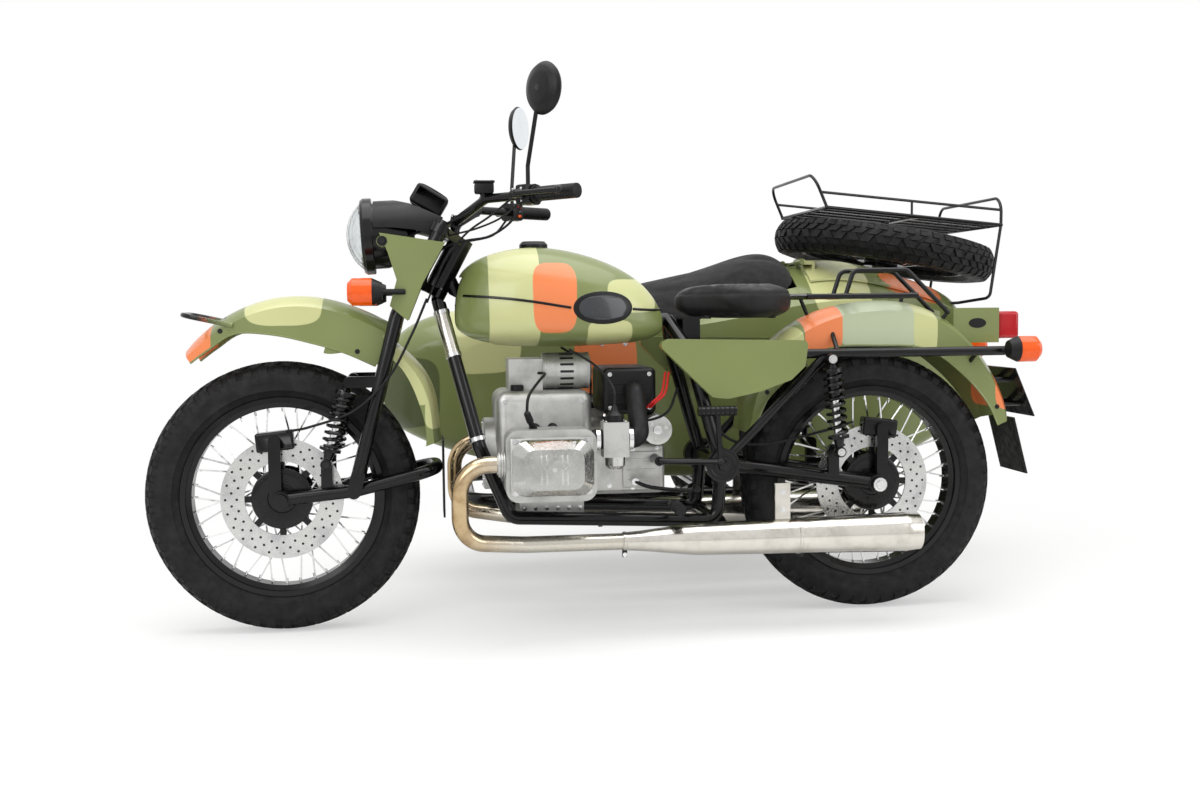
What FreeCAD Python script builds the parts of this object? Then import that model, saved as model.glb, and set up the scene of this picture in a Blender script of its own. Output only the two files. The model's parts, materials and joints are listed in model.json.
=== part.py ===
"""Sidecar motorcycle: a flat-twin outfit with a leading-link fork and a boat-shaped sidecar.

Lengths are millimetres. X points forward, Y to the rider's left and Z up. The model is drawn with
the origin where the rear tyre meets the ground, on the middle plane of the motorcycle, and every
piece is moved at the end so that the origin is the bottom centre of the whole outfit.
"""
import FreeCAD, Part

import math
import os

Vector = FreeCAD.Vector
OUT_FOLDER = "parts"
X_AXIS = Vector(1, 0, 0)
Y_AXIS = Vector(0, 1, 0)
Z_AXIS = Vector(0, 0, 1)
FULL_TURN = 360
SIDES = {"left": 1, "right": -1}

# Driving dimensions of the whole outfit
WHEELBASE = 1515.0
TRACK = 1140.0
SIDECAR_LEAD = 0.0
TYRE_RADIUS = 340.0
TYRE_WIDTH = 106.0
RAKE_DEGREES = 28.0
STEERING_OFFSET = 102.0
RUNNING_CLEARANCE = 5.0
FIT_CLEARANCE = 0.3
OVERRUN = 20.0

# Laced wheels
BEAD_RADIUS = 241.0
RIM_FLANGE_RADIUS = 250.0
RIM_WELL_RADIUS = 224.0
RIM_WIDTH = 78.0
RIM_WALL = 4.0
TYRE_SHOULDER_WIDTH = 92.0
TYRE_SHOULDER_RADIUS = 322.0
TYRE_BULGE_RADIUS = 288.0
HUB_RADIUS = 38.0
HUB_FLANGE_RADIUS = 72.0
HUB_FLANGE_THICKNESS = 7.0
HUB_FLANGE_SPACING = 70.0
HUB_WIDTH = 104.0
HUB_SPIGOT_RADIUS = 52.0
SPOKE_COUNT = 40
SPOKE_THICKNESS = 4.0
SPOKE_LEAN_DEGREES = 34.0
SPOKE_RIM_SPREAD = 14.0
AXLE_RADIUS = 10.0
AXLE_HEAD_RADIUS = 17.0
AXLE_HEAD_LENGTH = 12.0
BOSS_PROUD = 2.0
DISC_RADIUS = 150.0
DISC_INNER_RADIUS = 92.0
DISC_THICKNESS = 5.0
DISC_PLANE = 54.5
DISC_ARMS = 8
DISC_ARM_WIDTH = 16.0
CALIPER_WIDTH = 41.0
CALIPER_LENGTH = 92.0
CALIPER_DEPTH = 48.0
CALIPER_REACH = 30.0

# Steering head and leading-link fork
HEAD_TUBE_RADIUS = 30.0
STEM_RADIUS = 15.0
LOWER_YOKE_HEIGHT = 838.0
HEAD_TUBE_LENGTH = 118.0
YOKE_THICKNESS = 22.0
YOKE_RING = 9.0
LEG_OFFSET = 57.0
LEG_SPACING = 200.0
LEG_RADIUS = 17.0
LEG_TOP_REACH = 12.0
KNEE_HEIGHT = 791.0
LINK_HALF_WIDTH = 84.0
LINK_PIVOT_X = 1337.0
LINK_PIVOT_HEIGHT = 357.0
LINK_REAR_GAP = 24.0
LINK_REAR_HEIGHT = 406.0
LINK_TUBE_RADIUS = 16.0
LINK_CORNER_RADIUS = 56.0
LINK_EYE_RADIUS = 24.0
LEG_END_GAP = 26.0
FORK_END_SHEET = 12.0
FRONT_SHOCK_HALF_WIDTH = 92.0
SHOCK_LUG_SHEET = 8.0
SHOCK_PIN_RADIUS = 6.0
CALIPER_STRAP_RADIUS = 15.0
FRONT_CALIPER_DEGREES = 84.4
REAR_CALIPER_DEGREES = 97.0
FRONT_SHOCK_TOP = (1343.0, 628.0)
FRONT_SHOCK_FOOT = (1404.0, 426.0)
SPRING_RADIUS = 27.0
SPRING_ROOT_RADIUS = 19.0
SPRING_TURNS = 8
DAMPER_RADIUS = 11.0
SHOCK_EYE_RADIUS = 14.0
SHOCK_EYE_WIDTH = 24.0
SHOCK_END_LENGTH = 22.0

# Headlamp, its ears and the instruments
LAMP_CENTRE = (1281.0, 988.0)
LAMP_TILT_DEGREES = 3.0
LAMP_RING_RADIUS = 95.0
LAMP_RING_DEPTH = 26.0
LAMP_SHELL_RADIUS = 82.0
LAMP_BACK_RADIUS = 52.0
LAMP_DEPTH = 104.0
LENS_RADIUS = 86.0
LENS_BULGE = 44.0
EAR_THICKNESS = 4.0
EAR_OUTLINE = ((1262.0, 990.0), (1103.0, 966.0), (1159.0, 868.0), (1197.0, 776.0), (1240.0, 813.0),
               (1222.0, 876.0), (1242.0, 942.0))
EAR_BOSS_DROP = 18.0
COWL_OUTLINE = ((1279.0, 1090.0), (1186.0, 1066.0), (1107.0, 1030.0), (1112.0, 982.0), (1180.0, 1000.0),
                (1229.0, 1005.0), (1279.0, 1005.0))
COWL_RADIUS = 87.0
COWL_SHEET = 4.0
GAUGE_CENTRE = (1140.0, 1076.0)
GAUGE_SIZE = (88.0, 92.0, 52.0)
GAUGE_TILT_DEGREES = 31.0
SIGNAL_RADIUS = 33.0
SIGNAL_DEPTH = 52.0
SIGNAL_LENS_DEPTH = 60.0
FRONT_SIGNAL_PLACE = (1282.0, 847.0)
FRONT_SIGNAL_SPACING = 340.0
SIGNAL_STALK_RADIUS = 7.0

# Handlebar and mirrors
BAR_RADIUS = 11.0
BAR_CLAMP = (1073.0, 1020.0)
BAR_CLAMP_HALF_WIDTH = 45.0
BAR_BEND = (1005.0, 1066.0)
BAR_BEND_HALF_WIDTH = 190.0
GRIP_START = (914.0, 1074.0)
GRIP_START_HALF_WIDTH = 322.0
GRIP_END = (811.0, 1069.0)
GRIP_END_HALF_WIDTH = 384.0
BAR_BEND_RADIUS = 50.0
GRIP_RADIUS = 16.5
SWITCH_RADIUS = 24.0
SWITCH_LENGTH = 44.0
LEVER_RADIUS = 6.0
LEVER_BALL_RADIUS = 10.0
LEVER_REACH = 52.0
MIRROR_RADIUS = 60.0
MIRROR_THICKNESS = 22.0
MIRROR_STEM_RADIUS = 5.0
MIRROR_PLACES = {"left": (884.0, 368.0, 1300.0), "right": (889.0, -360.0, 1306.0)}
MIRROR_TURN_DEGREES = {"left": 34.0, "right": -28.0}

# Front mudguard in polar places about the front axle: degrees, outer radius, skirt depth
GUARD_SHEET = 3.0
GUARD_CROWN = 26.0
FRONT_GUARD_HALF_WIDTH = 75.0
FRONT_GUARD = ((58.5, 432.0, 34.0), (66.0, 452.0, 46.0), (76.0, 474.0, 52.0), (88.0, 495.0, 88.0),
               (101.0, 506.0, 112.0), (114.0, 508.0, 114.0), (126.0, 514.0, 112.0))
REAR_HALF_GUARD = ((107.0, 488.0, 112.0), (118.0, 484.0, 72.0), (127.0, 478.0, 40.0),
                   (138.0, 474.0, 46.0), (150.0, 447.0, 44.0), (161.0, 420.0, 44.0))
GUARD_BOSS_DEGREES = 123.0
GUARD_BOSS_DEPTH_SHARE = 0.35
MUDFLAP_LENGTH = 190.0
MUDFLAP_THICKNESS = 5.0
GUARD_LOOP_RADIUS = 6.0
GUARD_LOOP_TIP = (1742.0, 797.0)
GUARD_LOOP_FOOT = (1620.0, 770.0)

# Main frame
FRAME_TUBE_RADIUS = 17.0
FRAME_HALF_WIDTH = 128.0
BACKBONE_HEIGHT = 770.0
BACKBONE_REAR_X = 532.0
DOWNTUBE_TOP = (1122.0, 826.0)
DOWNTUBE_TOP_HALF_WIDTH = 34.0
DOWNTUBE_MIDDLE = (1028.0, 463.0)
DOWNTUBE_FOOT = (955.0, 285.0)
LOWER_RAIL_REAR = (432.0, 262.0)
FRAME_BEND_RADIUS = 70.0
SEAT_POST_TOP = (500.0, 690.0)
SEAT_RAIL_HEIGHT = 681.0
SEAT_RAIL_REAR_X = -331.0
SEAT_RAIL_HALF_WIDTH = 126.0
SEAT_RAIL_RADIUS = 12.0
CROSS_TUBE_RADIUS = 12.0
GUARD_BOSS_PLACES = ((74.0, 0.55), (130.0, 0.6))

# Swinging arm, rear shocks and final drive
PIVOT_PLACE = (420.0, 404.0)
ARM_HALF_WIDTH = 91.0
ARM_TUBE_RADIUS = 19.0
PIVOT_TUBE_RADIUS = 24.0
PIVOT_CAP_RADIUS = 43.0
PIVOT_CAP_SIDE = 150.0
REAR_SHOCK_TOP = (142.0, 668.0)
REAR_SHOCK_FOOT = (119.0, 432.0)
REAR_SHOCK_HALF_WIDTH = 158.0
FINAL_DRIVE_RADIUS = 72.0
FINAL_DRIVE_DEPTH = 46.0
SHAFT_RADIUS = 15.0

# Engine
CRANK_PLACE = (868.0, 434.0)
CASE_HALF_WIDTH = 108.0
CASE_FRONT_X = 986.0
CASE_REAR_X = 744.0
CASE_BOTTOM = 318.0
CASE_TOP = 598.0
CASE_EDGE = 28.0
TOWER_TOP = 676.0
TOWER_FRONT_X = 950.0
TOWER_REAR_X = 864.0
TOWER_HALF_WIDTH = 62.0
TIMING_COVER_RADIUS = 92.0
TIMING_COVER_DEPTH = 26.0
SUMP_DEPTH = 46.0
SUMP_INSET = 22.0
SUMP_FRONT_INSET = 58.0
ENGINE_LUG_PLACE = (968.0, 334.0)
ENGINE_LUG_RADIUS = 10.0
SUMP_RIBS = 7
BARREL_ROOT = 108.0
BARREL_RADIUS = 52.0
BARREL_FIN_RADIUS = 74.0
BARREL_LENGTH = 118.0
BARREL_FINS = 8
FIN_THICKNESS = 4.0
HEAD_SIZE = (214.0, 170.0)
HEAD_LENGTH = 96.0
HEAD_FINS = 6
HEAD_EDGE = 30.0
ROCKER_SIZE = (190.0, 130.0)
ROCKER_LENGTH = 72.0
ROCKER_EDGE = 34.0
ROCKER_WAIST_SHARE = 0.72
ALTERNATOR_RADIUS = 46.0
ALTERNATOR_LENGTH = 118.0
ALTERNATOR_SIDE = 36.0
GEARBOX_REAR_X = 556.0
GEARBOX_BOTTOM = 330.0
GEARBOX_TOP = 458.0
GEARBOX_HALF_WIDTH = 84.0
BELL_RADIUS = 88.0
BELL_LENGTH = 46.0
STARTER_X = 584.0
STARTER_RADIUS = 38.0
STARTER_START = 24.0
STARTER_END = 134.0
AIRBOX_FRONT = 717.0
AIRBOX_REAR = 582.0
AIRBOX_TOP = 652.0
AIRBOX_HALF_WIDTH = 112.0
AIRBOX_EDGE = 14.0
CARB_PLACE = (706.0, 486.0)
CARB_HALF_WIDTH = 232.0
CARB_SIZE = (62.0, 56.0, 84.0)
HOSE_RADIUS = 24.0

# Exhaust
PORT_HEIGHT = 438.0
PORT_HALF_WIDTH = 292.0
HEADER_RADIUS = 20.0
HEADER_ROUTE = ((1083.0, 292.0, 438.0), (1083.0, 274.0, 252.0), (930.0, 226.0, 234.0))
HEADER_BEND_RADIUS = 70.0
MUFFLER_HALF_WIDTH = 226.0
MUFFLER_HEIGHT = 234.0
MUFFLER_FRONT_X = 690.0
MUFFLER_REAR_X = -62.0
MUFFLER_SLANT = 62.0
MUFFLER_PROFILE_SHARES = ((0.0, 0.44), (0.06, 0.5), (0.24, 0.8), (0.95, 1.0), (1.0, 0.92))
MUFFLER_RADIUS = 49.0
MUFFLER_BORE = 30.0
HANGER_X = 269.0
HANGER_SIZE = (38.0, 8.0)
HANGER_TOP = 366.0

# Fuel tank: station share along its length, half width, bottom and top
TANK_FRONT_X = 1082.0
TANK_REAR_X = 556.0
TANK_STATIONS = ((0.0, 46.0, 756.0, 846.0), (0.09, 104.0, 732.0, 918.0), (0.24, 142.0, 722.0, 946.0),
                 (0.42, 156.0, 719.0, 953.0), (0.62, 150.0, 718.0, 935.0), (0.82, 118.0, 720.0, 893.0),
                 (0.95, 82.0, 728.0, 838.0), (1.0, 58.0, 742.0, 796.0))
TANK_TUNNEL_WIDTH = 60.0
TANK_NECK_SPACE = (985.0, 52.0, 884.0)
TANK_CAP_PLACE = (878.0, 953.0)
TANK_CAP_RADIUS = 36.0
TANK_CAP_HEIGHT = 20.0

# Saddle, its bracket and the side panels
SADDLE_FRONT_X = 520.0
SADDLE_REAR_X = 204.0
SADDLE_BOTTOM = 778.0
SADDLE_THICKNESS = 78.0
SADDLE_NOSE_HALF_WIDTH = 48.0
SADDLE_HALF_WIDTH = 142.0
SADDLE_EDGE = 22.0
BRACKET_WIDTH = 90.0
BRACKET_SHEET = 6.0
PANEL_OUTLINE = ((589.0, 712.0), (560.0, 724.0), (206.0, 716.0), (214.0, 652.0), (250.0, 618.0),
                 (330.0, 590.0), (412.0, 573.0), (452.0, 578.0))
PANEL_HALF_WIDTH = 176.0
PANEL_CORNER = 12.0

# Rear mudguard in polar places about the rear axle
REAR_GUARD_HALF_WIDTH = 82.0
REAR_GUARD = ((22.0, 382.0, 34.0), (34.0, 410.0, 50.0), (50.0, 446.0, 70.0), (70.0, 466.0, 92.0),
              (92.0, 474.0, 116.0), (112.0, 478.0, 104.0), (130.0, 456.0, 88.0), (146.0, 434.0, 66.0),
              (157.0, 416.0, 50.0))
TAIL_LAMP_BOX = (-226.0, -352.0, 700.0, 792.0)
TAIL_LAMP_HALF_WIDTH = 46.0
TAIL_LENS_DEPTH = 62.0
TAIL_LENS_MARGIN = 10.0
REAR_SIGNAL_PLACE = (-349.0, 686.0)
REAR_SIGNAL_SPACING = 332.0
REAR_FLAP_LENGTH = 150.0
REAR_FLAP_LEAN = 38.0
PLATE_FOOT = (-430.0, 505.0)
PLATE_TOP = (-376.0, 632.0)
PLATE_WIDTH = 184.0
PLATE_SHEET = 3.0
PLATE_ARM_REACH = 62.0
PLATE_HOLE_SPACING = 146.0
PLATE_HOLE_RADIUS = 3.5
CARRIER_HEIGHT = 826.0
CARRIER_FRONT_X = 186.0
CARRIER_REAR_X = -108.0
CARRIER_HALF_WIDTH = 96.0
CARRIER_TUBE_RADIUS = 7.0
CARRIER_LOOP_HALF_WIDTH = 54.0
CARRIER_LOOP = ((72.0, 826.0), (50.0, 893.0), (-95.0, 893.0), (-206.0, 782.0))

# Controls and stand
KICK_SHAFT = (438.0, 420.0)
KICK_PEDAL = (446.0, 546.0)
KICK_LEVER_RADIUS = 8.0
KICK_SIDE = 160.0
KICK_PEDAL_SIDE = 202.0
KICK_RUBBER_LENGTH = 96.0
KICK_RUBBER_RADIUS = 12.0
PEG_PLACE = (556.0, 316.0)
PEG_HALF_WIDTH = 296.0
PEG_LENGTH = 92.0
PEG_RADIUS = 13.0
STAND_PIVOT = (404.0, 222.0)
STAND_LENGTH = 216.0
STAND_STOWED_DEGREES = 78.0
STAND_HALF_WIDTH = 100.0
STAND_TUBE_RADIUS = 11.0
STAND_FOOT_LENGTH = 46.0

# Sidecar body: station X, half width, bottom, shoulder and crown
BODY_CENTRE = 612.0
BODY_SHEET = 5.0
BODY_STATIONS = ((-486.0, 120.0, 560.0, 690.0, 742.0), (-448.0, 190.0, 470.0, 752.0, 822.0),
                 (-300.0, 236.0, 376.0, 794.0, 882.0), (-40.0, 254.0, 322.0, 816.0, 932.0),
                 (240.0, 258.0, 308.0, 772.0, 868.0), (520.0, 242.0, 312.0, 735.0, 812.0),
                 (780.0, 198.0, 330.0, 728.0, 812.0), (1000.0, 150.0, 366.0, 724.0, 806.0),
                 (1180.0, 102.0, 424.0, 690.0, 766.0), (1280.0, 50.0, 486.0, 610.0, 660.0))
BODY_CORNER = 46.0
COCKPIT_FRONT_X = 740.0
COCKPIT_REAR_X = 66.0
COCKPIT_HALF_WIDTH = 196.0
COCKPIT_FLOOR_CUT = 690.0
TRUNK_FRONT_X = 8.0
TRUNK_REAR_X = -424.0
TRUNK_HALF_WIDTH = 176.0
TRUNK_FLOOR_CUT = 760.0
LID_THICKNESS = 6.0
LID_OVERLAP = 16.0
HINGE_PLACE = (35.0, 934.0)
HINGE_DROP = 50.0
HINGE_BLOCK = (-40.0, -32.0, -29.0)
DRIVE_TUNNEL_RADIUS = 32.0
HINGE_PIN_RADIUS = 4.0
HINGE_KNUCKLE_RADIUS = 9.0
HINGE_LENGTH = 60.0
HINGE_SPACING = 220.0
TONNEAU_THICKNESS = 8.0
TONNEAU_STATIONS = ((52.0, 200.0, 818.0, 916.0), (110.0, 222.0, 808.0, 960.0), (190.0, 232.0, 790.0, 958.0),
                    (333.0, 236.0, 766.0, 914.0), (504.0, 228.0, 744.0, 876.0), (700.0, 206.0, 738.0, 826.0),
                    (770.0, 180.0, 744.0, 818.0))

# Spare wheel and luggage rack on the lid
SPARE_CENTRE = (-266.0, 969.0)
SPARE_TILT_DEGREES = 9.7
SPARE_POST_RADIUS = 26.0
RACK_FRONT_X = -11.0
RACK_REAR_X = -544.0
RACK_FRONT_HEIGHT = 1088.0
RACK_REAR_HEIGHT = 1035.0
RACK_HALF_WIDTH = 240.0
RACK_ROD_RADIUS = 5.0
RACK_SLAT_RADIUS = 4.0
RACK_LEG_RADIUS = 4.5
RACK_KNOB_RADIUS = 6.0
RACK_RAIL_RISE = 44.0
RACK_FRONT_HOOP = (29.0, 1183.0)
RACK_REAR_HOOP = (-545.0, 1116.0)
RACK_HOOP_BEND = 46.0
RACK_SLATS = 5
RACK_SLAT_BAR = 26.0
RACK_LEG_KNEE = (-511.0, 820.0)
RACK_LEG_HEEL = (-440.0, 176.0, 806.0)
RACK_LEG_FOOT = (-396.0, 146.0, 824.0)
RACK_POST_RADIUS = 7.0

# Sidecar chassis, wheel suspension and mudguard
SIDECAR_RAIL_HEIGHT = 262.0
SIDECAR_RAIL_INNER = 336.0
SIDECAR_RAIL_OUTER = 936.0
SIDECAR_RAIL_FRONT_X = 1040.0
SIDECAR_RAIL_REAR_X = -60.0
SIDECAR_TUBE_RADIUS = 20.0
SIDECAR_BEND_RADIUS = 80.0
SIDECAR_ARM_PIVOT = (330.0, 262.0)
SIDECAR_ARM_SIDE = 1030.0
SIDECAR_SHOCK_TOP = (150.0, 610.0)
SIDECAR_SHOCK_FOOT_X = 132.0
STRUT_RADIUS = 12.0
FRONT_LOWER_LINK_X = 905.0
REAR_LOWER_LINK_X = 444.0
LOWER_LINK_HEIGHT = 312.0
FRONT_STRUT_TOP = (1061.0, 95.0, 590.0)
FRONT_STRUT_FOOT_X = 952.0
REAR_STRUT_TOP = (300.0, 127.0, 523.0)
REAR_STRUT_FOOT_X = 250.0
BODY_MOUNT_RADIUS = 22.0
BODY_MOUNT_SPACING = 300.0
BODY_MOUNT_PLACES = (700.0, 330.0, 40.0)
SIDECAR_STAY_HEIGHT = 690.0
SIDECAR_REAR_STAY = (-150.0, 660.0)
SIDECAR_LAMP_DEGREES = (52.0, 128.0)
SIDECAR_GUARD_HALF_WIDTH = 84.0
SIDECAR_GUARD = ((12.0, 412.0, 60.0), (45.0, 424.0, 96.0), (90.0, 428.0, 104.0), (135.0, 426.0, 92.0),
                 (166.0, 418.0, 56.0))

AIRBOX_BOTTOM = max(CRANK_PLACE[1] + BELL_RADIUS, GEARBOX_TOP + STARTER_RADIUS * 2 + FIT_CLEARANCE) + FIT_CLEARANCE
REAR_AXLE = Vector(0, 0, TYRE_RADIUS)
FRONT_AXLE = Vector(WHEELBASE, 0, TYRE_RADIUS)
SIDECAR_AXLE = Vector(SIDECAR_LEAD, -TRACK, TYRE_RADIUS)
HALF_TYRE = TYRE_WIDTH / 2
LEG_HALF_SPACING = LEG_SPACING / 2
EAR_HALF_WIDTH = LEG_HALF_SPACING + LEG_RADIUS + YOKE_RING + FIT_CLEARANCE
GUARD_SEAT_HALF_WIDTH = FRONT_GUARD_HALF_WIDTH - GUARD_SHEET - FIT_CLEARANCE
RAKE = math.radians(RAKE_DEGREES)
HEAD_DIRECTION = Vector(-math.sin(RAKE), 0, math.cos(RAKE))
HEAD_FORWARD = Vector(math.cos(RAKE), 0, math.sin(RAKE))
AXIS_FOOT = FRONT_AXLE - HEAD_FORWARD * STEERING_OFFSET
HEAD_ORIGIN = AXIS_FOOT + HEAD_DIRECTION * ((LOWER_YOKE_HEIGHT - AXIS_FOOT.z) / math.cos(RAKE))

pieces = {}


def add(name, shape):
    """Keep a finished piece under its node name."""
    pieces[name] = shape


def place(pair, side=0.0):
    """Turn an (X, Z) pair and a side distance into a point."""
    return Vector(pair[0], side, pair[1])


def rod(start, end, radius):
    """A round bar between two points."""
    return Part.makeCylinder(radius, (end - start).Length, start, end - start)


def tube(start, end, radius, bore):
    """A round tube between two points."""
    return rod(start, end, radius).cut(rod(start, end, bore))


def block(low, high):
    """An upright box between two corners."""
    size = high - low
    return Part.makeBox(size.x, size.y, size.z, low)


def union(shapes):
    """One solid made of several that touch."""
    first, rest = shapes[0], shapes[1:]
    return first.multiFuse(rest).removeSplitter() if rest else first


def biggest(shape):
    """The largest solid of a shape, without the scraps that a cut leaves behind."""
    return max(shape.Solids, key=lambda solid: solid.Volume)


def bent_bar(points, radius, bend):
    """A round bar through points, with a tangent arc of the bend radius at each corner."""
    edges = []
    start = points[0]
    for before, corner, after in zip(points, points[1:], points[2:]):
        towards = (before - corner).normalize()
        onwards = (after - corner).normalize()
        half_turn = towards.getAngle(onwards) / 2
        setback = bend / math.tan(half_turn)
        first = corner + towards * setback
        last = corner + onwards * setback
        inward = (towards + onwards).normalize()
        middle = corner + inward * (bend / math.sin(half_turn) - bend)
        edges.append(Part.LineSegment(start, first).toShape())
        edges.append(Part.Arc(first, middle, last).toShape())
        start = last
    edges.append(Part.LineSegment(start, points[-1]).toShape())
    section = Part.Wire(Part.makeCircle(radius, points[0], points[1] - points[0]))
    return Part.Wire(edges).makePipeShell([section], True, True)


def side_plate(outline, low_side, high_side):
    """A plate with an outline in X and Z, between two side distances."""
    points = [place(pair, low_side) for pair in outline]
    face = Part.Face(Part.makePolygon(points + points[:1]))
    return face.extrude(Vector(0, high_side - low_side, 0))


def turned(profile, centre, axis):
    """A solid of revolution from (radius, along) pairs about an axis through a centre."""
    along = Vector(axis).normalize()
    across = along.cross(Z_AXIS if abs(along.z) < abs(along.y) + abs(along.x) else X_AXIS).normalize()
    points = [centre + across * radius + along * distance for radius, distance in profile]
    face = Part.Face(Part.makePolygon(points + points[:1]))
    return face.revolve(centre, along, FULL_TURN)


def rounded_section(centre_x, centre_y, half_width, bottom, shoulder, crown, corner):
    """A closed upright section across X: flat floor, round corners, straight sides and a domed top."""
    def at(side, height):
        return Vector(centre_x, centre_y + side, height)
    inner = half_width - corner
    slant = corner * (1 - math.sqrt(1 / 2))
    rise = bottom + corner
    edges = [
        Part.LineSegment(at(-inner, bottom), at(inner, bottom)).toShape(),
        Part.Arc(at(inner, bottom), at(half_width - slant, bottom + slant), at(half_width, rise)).toShape(),
        Part.LineSegment(at(half_width, rise), at(half_width, shoulder)).toShape(),
        Part.Arc(at(half_width, shoulder), at(0, crown), at(-half_width, shoulder)).toShape(),
        Part.LineSegment(at(-half_width, shoulder), at(-half_width, rise)).toShape(),
        Part.Arc(at(-half_width, rise), at(slant - half_width, bottom + slant), at(-inner, bottom)).toShape(),
    ]
    return Part.Wire(edges)


def guard(axle, table, half_width, filled=False):
    """A mudguard of sheet: thin arched sections at polar places about an axle, joined by a loft.

    With filled set, it is the whole space inside the outer skin instead.
    """
    wires = []
    for degrees, radius, depth in table:
        angle = math.radians(degrees)
        outward = Vector(math.cos(angle), 0, math.sin(angle))

        def at(side, distance):
            return axle + outward * distance + Vector(0, side, 0)
        crown = min(GUARD_CROWN, depth / 2)
        inside = half_width - GUARD_SHEET
        brow = radius - crown
        foot = radius - depth
        outside = [
            Part.LineSegment(at(half_width, foot), at(half_width, brow)).toShape(),
            Part.Arc(at(half_width, brow), at(0, radius), at(-half_width, brow)).toShape(),
            Part.LineSegment(at(-half_width, brow), at(-half_width, foot)).toShape(),
        ]
        if filled:
            wires.append(Part.Wire(outside + [Part.LineSegment(at(-half_width, foot), at(half_width, foot)).toShape()]))
            continue
        wires.append(Part.Wire(outside + [
            Part.LineSegment(at(-half_width, foot), at(-inside, foot)).toShape(),
            Part.LineSegment(at(-inside, foot), at(-inside, brow - GUARD_SHEET)).toShape(),
            Part.Arc(at(-inside, brow - GUARD_SHEET), at(0, radius - GUARD_SHEET),
                     at(inside, brow - GUARD_SHEET)).toShape(),
            Part.LineSegment(at(inside, brow - GUARD_SHEET), at(inside, foot)).toShape(),
            Part.LineSegment(at(inside, foot), at(half_width, foot)).toShape(),
        ]))
    return Part.makeLoft(wires, True)


def tyre():
    """A solid tyre about the Y axis at the origin, held between the rim's flanges."""
    bead = RIM_WIDTH / 2 - RIM_WALL - FIT_CLEARANCE
    shoulder = TYRE_SHOULDER_WIDTH / 2
    seat = BEAD_RADIUS + FIT_CLEARANCE

    def at(radius, side):
        return Vector(radius, side, 0)
    throat = RIM_FLANGE_RADIUS
    edges = [
        Part.LineSegment(at(seat, -bead), at(seat, bead)).toShape(),
        Part.LineSegment(at(seat, bead), at(throat, bead)).toShape(),
        Part.Arc(at(throat, bead), at(TYRE_BULGE_RADIUS, HALF_TYRE), at(TYRE_SHOULDER_RADIUS, shoulder)).toShape(),
        Part.Arc(at(TYRE_SHOULDER_RADIUS, shoulder), at(TYRE_RADIUS, 0),
                 at(TYRE_SHOULDER_RADIUS, -shoulder)).toShape(),
        Part.Arc(at(TYRE_SHOULDER_RADIUS, -shoulder), at(TYRE_BULGE_RADIUS, -HALF_TYRE),
                 at(throat, -bead)).toShape(),
        Part.LineSegment(at(throat, -bead), at(seat, -bead)).toShape(),
    ]
    return Part.Face(Part.Wire(edges)).revolve(Vector(), Y_AXIS, FULL_TURN)


def spoke(start, end):
    """A thin square bar between two points."""
    direction = (end - start).normalize()
    across = direction.cross(Y_AXIS).normalize() * (SPOKE_THICKNESS / 2)
    aside = direction.cross(across).normalize() * (SPOKE_THICKNESS / 2)
    corners = [start + across + aside, start - across + aside, start - across - aside, start + across - aside]
    return Part.Face(Part.makePolygon(corners + corners[:1])).extrude(end - start)


def laced_wheel():
    """Rim, spokes and hub in one piece about the Y axis at the origin."""
    edge = RIM_WIDTH / 2
    well = edge - 2 * RIM_WALL - RIM_WALL
    outer = [(BEAD_RADIUS, -edge + RIM_WALL), (RIM_FLANGE_RADIUS, -edge + RIM_WALL), (RIM_FLANGE_RADIUS, -edge),
             (BEAD_RADIUS - RIM_WALL, -edge), (BEAD_RADIUS - RIM_WALL, -well), (RIM_WELL_RADIUS, -well + RIM_WALL),
             (RIM_WELL_RADIUS, well - RIM_WALL), (BEAD_RADIUS - RIM_WALL, well), (BEAD_RADIUS - RIM_WALL, edge),
             (RIM_FLANGE_RADIUS, edge), (RIM_FLANGE_RADIUS, edge - RIM_WALL), (BEAD_RADIUS, edge - RIM_WALL)]
    rim = turned(outer, Vector(), Y_AXIS)
    flange = HUB_FLANGE_SPACING / 2
    half = HUB_FLANGE_THICKNESS / 2
    end = HUB_WIDTH / 2
    bore = AXLE_RADIUS + FIT_CLEARANCE
    hub = turned([(bore, -end), (HUB_SPIGOT_RADIUS, -end), (HUB_SPIGOT_RADIUS, -flange - half),
                  (HUB_FLANGE_RADIUS, -flange - half), (HUB_FLANGE_RADIUS, -flange + half),
                  (HUB_RADIUS, -flange + half), (HUB_RADIUS, flange - half), (HUB_FLANGE_RADIUS, flange - half),
                  (HUB_FLANGE_RADIUS, flange + half), (HUB_SPIGOT_RADIUS, flange + half),
                  (HUB_SPIGOT_RADIUS, end), (bore, end)], Vector(), Y_AXIS)
    root_radius = HUB_FLANGE_RADIUS - HUB_FLANGE_THICKNESS
    tip_radius = RIM_WELL_RADIUS + RIM_WALL / 2
    bars = []
    pitch = FULL_TURN / SPOKE_COUNT
    for number in range(SPOKE_COUNT):
        side = 1 if number % 2 else -1
        lean = 1 if (number // 2) % 2 else -1
        depth = lean * HUB_FLANGE_THICKNESS / 4
        rim_angle = math.radians(number * pitch)
        hub_angle = rim_angle + lean * math.radians(SPOKE_LEAN_DEGREES)
        root = Vector(root_radius * math.cos(hub_angle), side * flange + depth, root_radius * math.sin(hub_angle))
        tip = Vector(tip_radius * math.cos(rim_angle), side * SPOKE_RIM_SPREAD / 2 + depth,
                     tip_radius * math.sin(rim_angle))
        bars.append(spoke(root, tip))
    return union([rim, hub] + bars)


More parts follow.
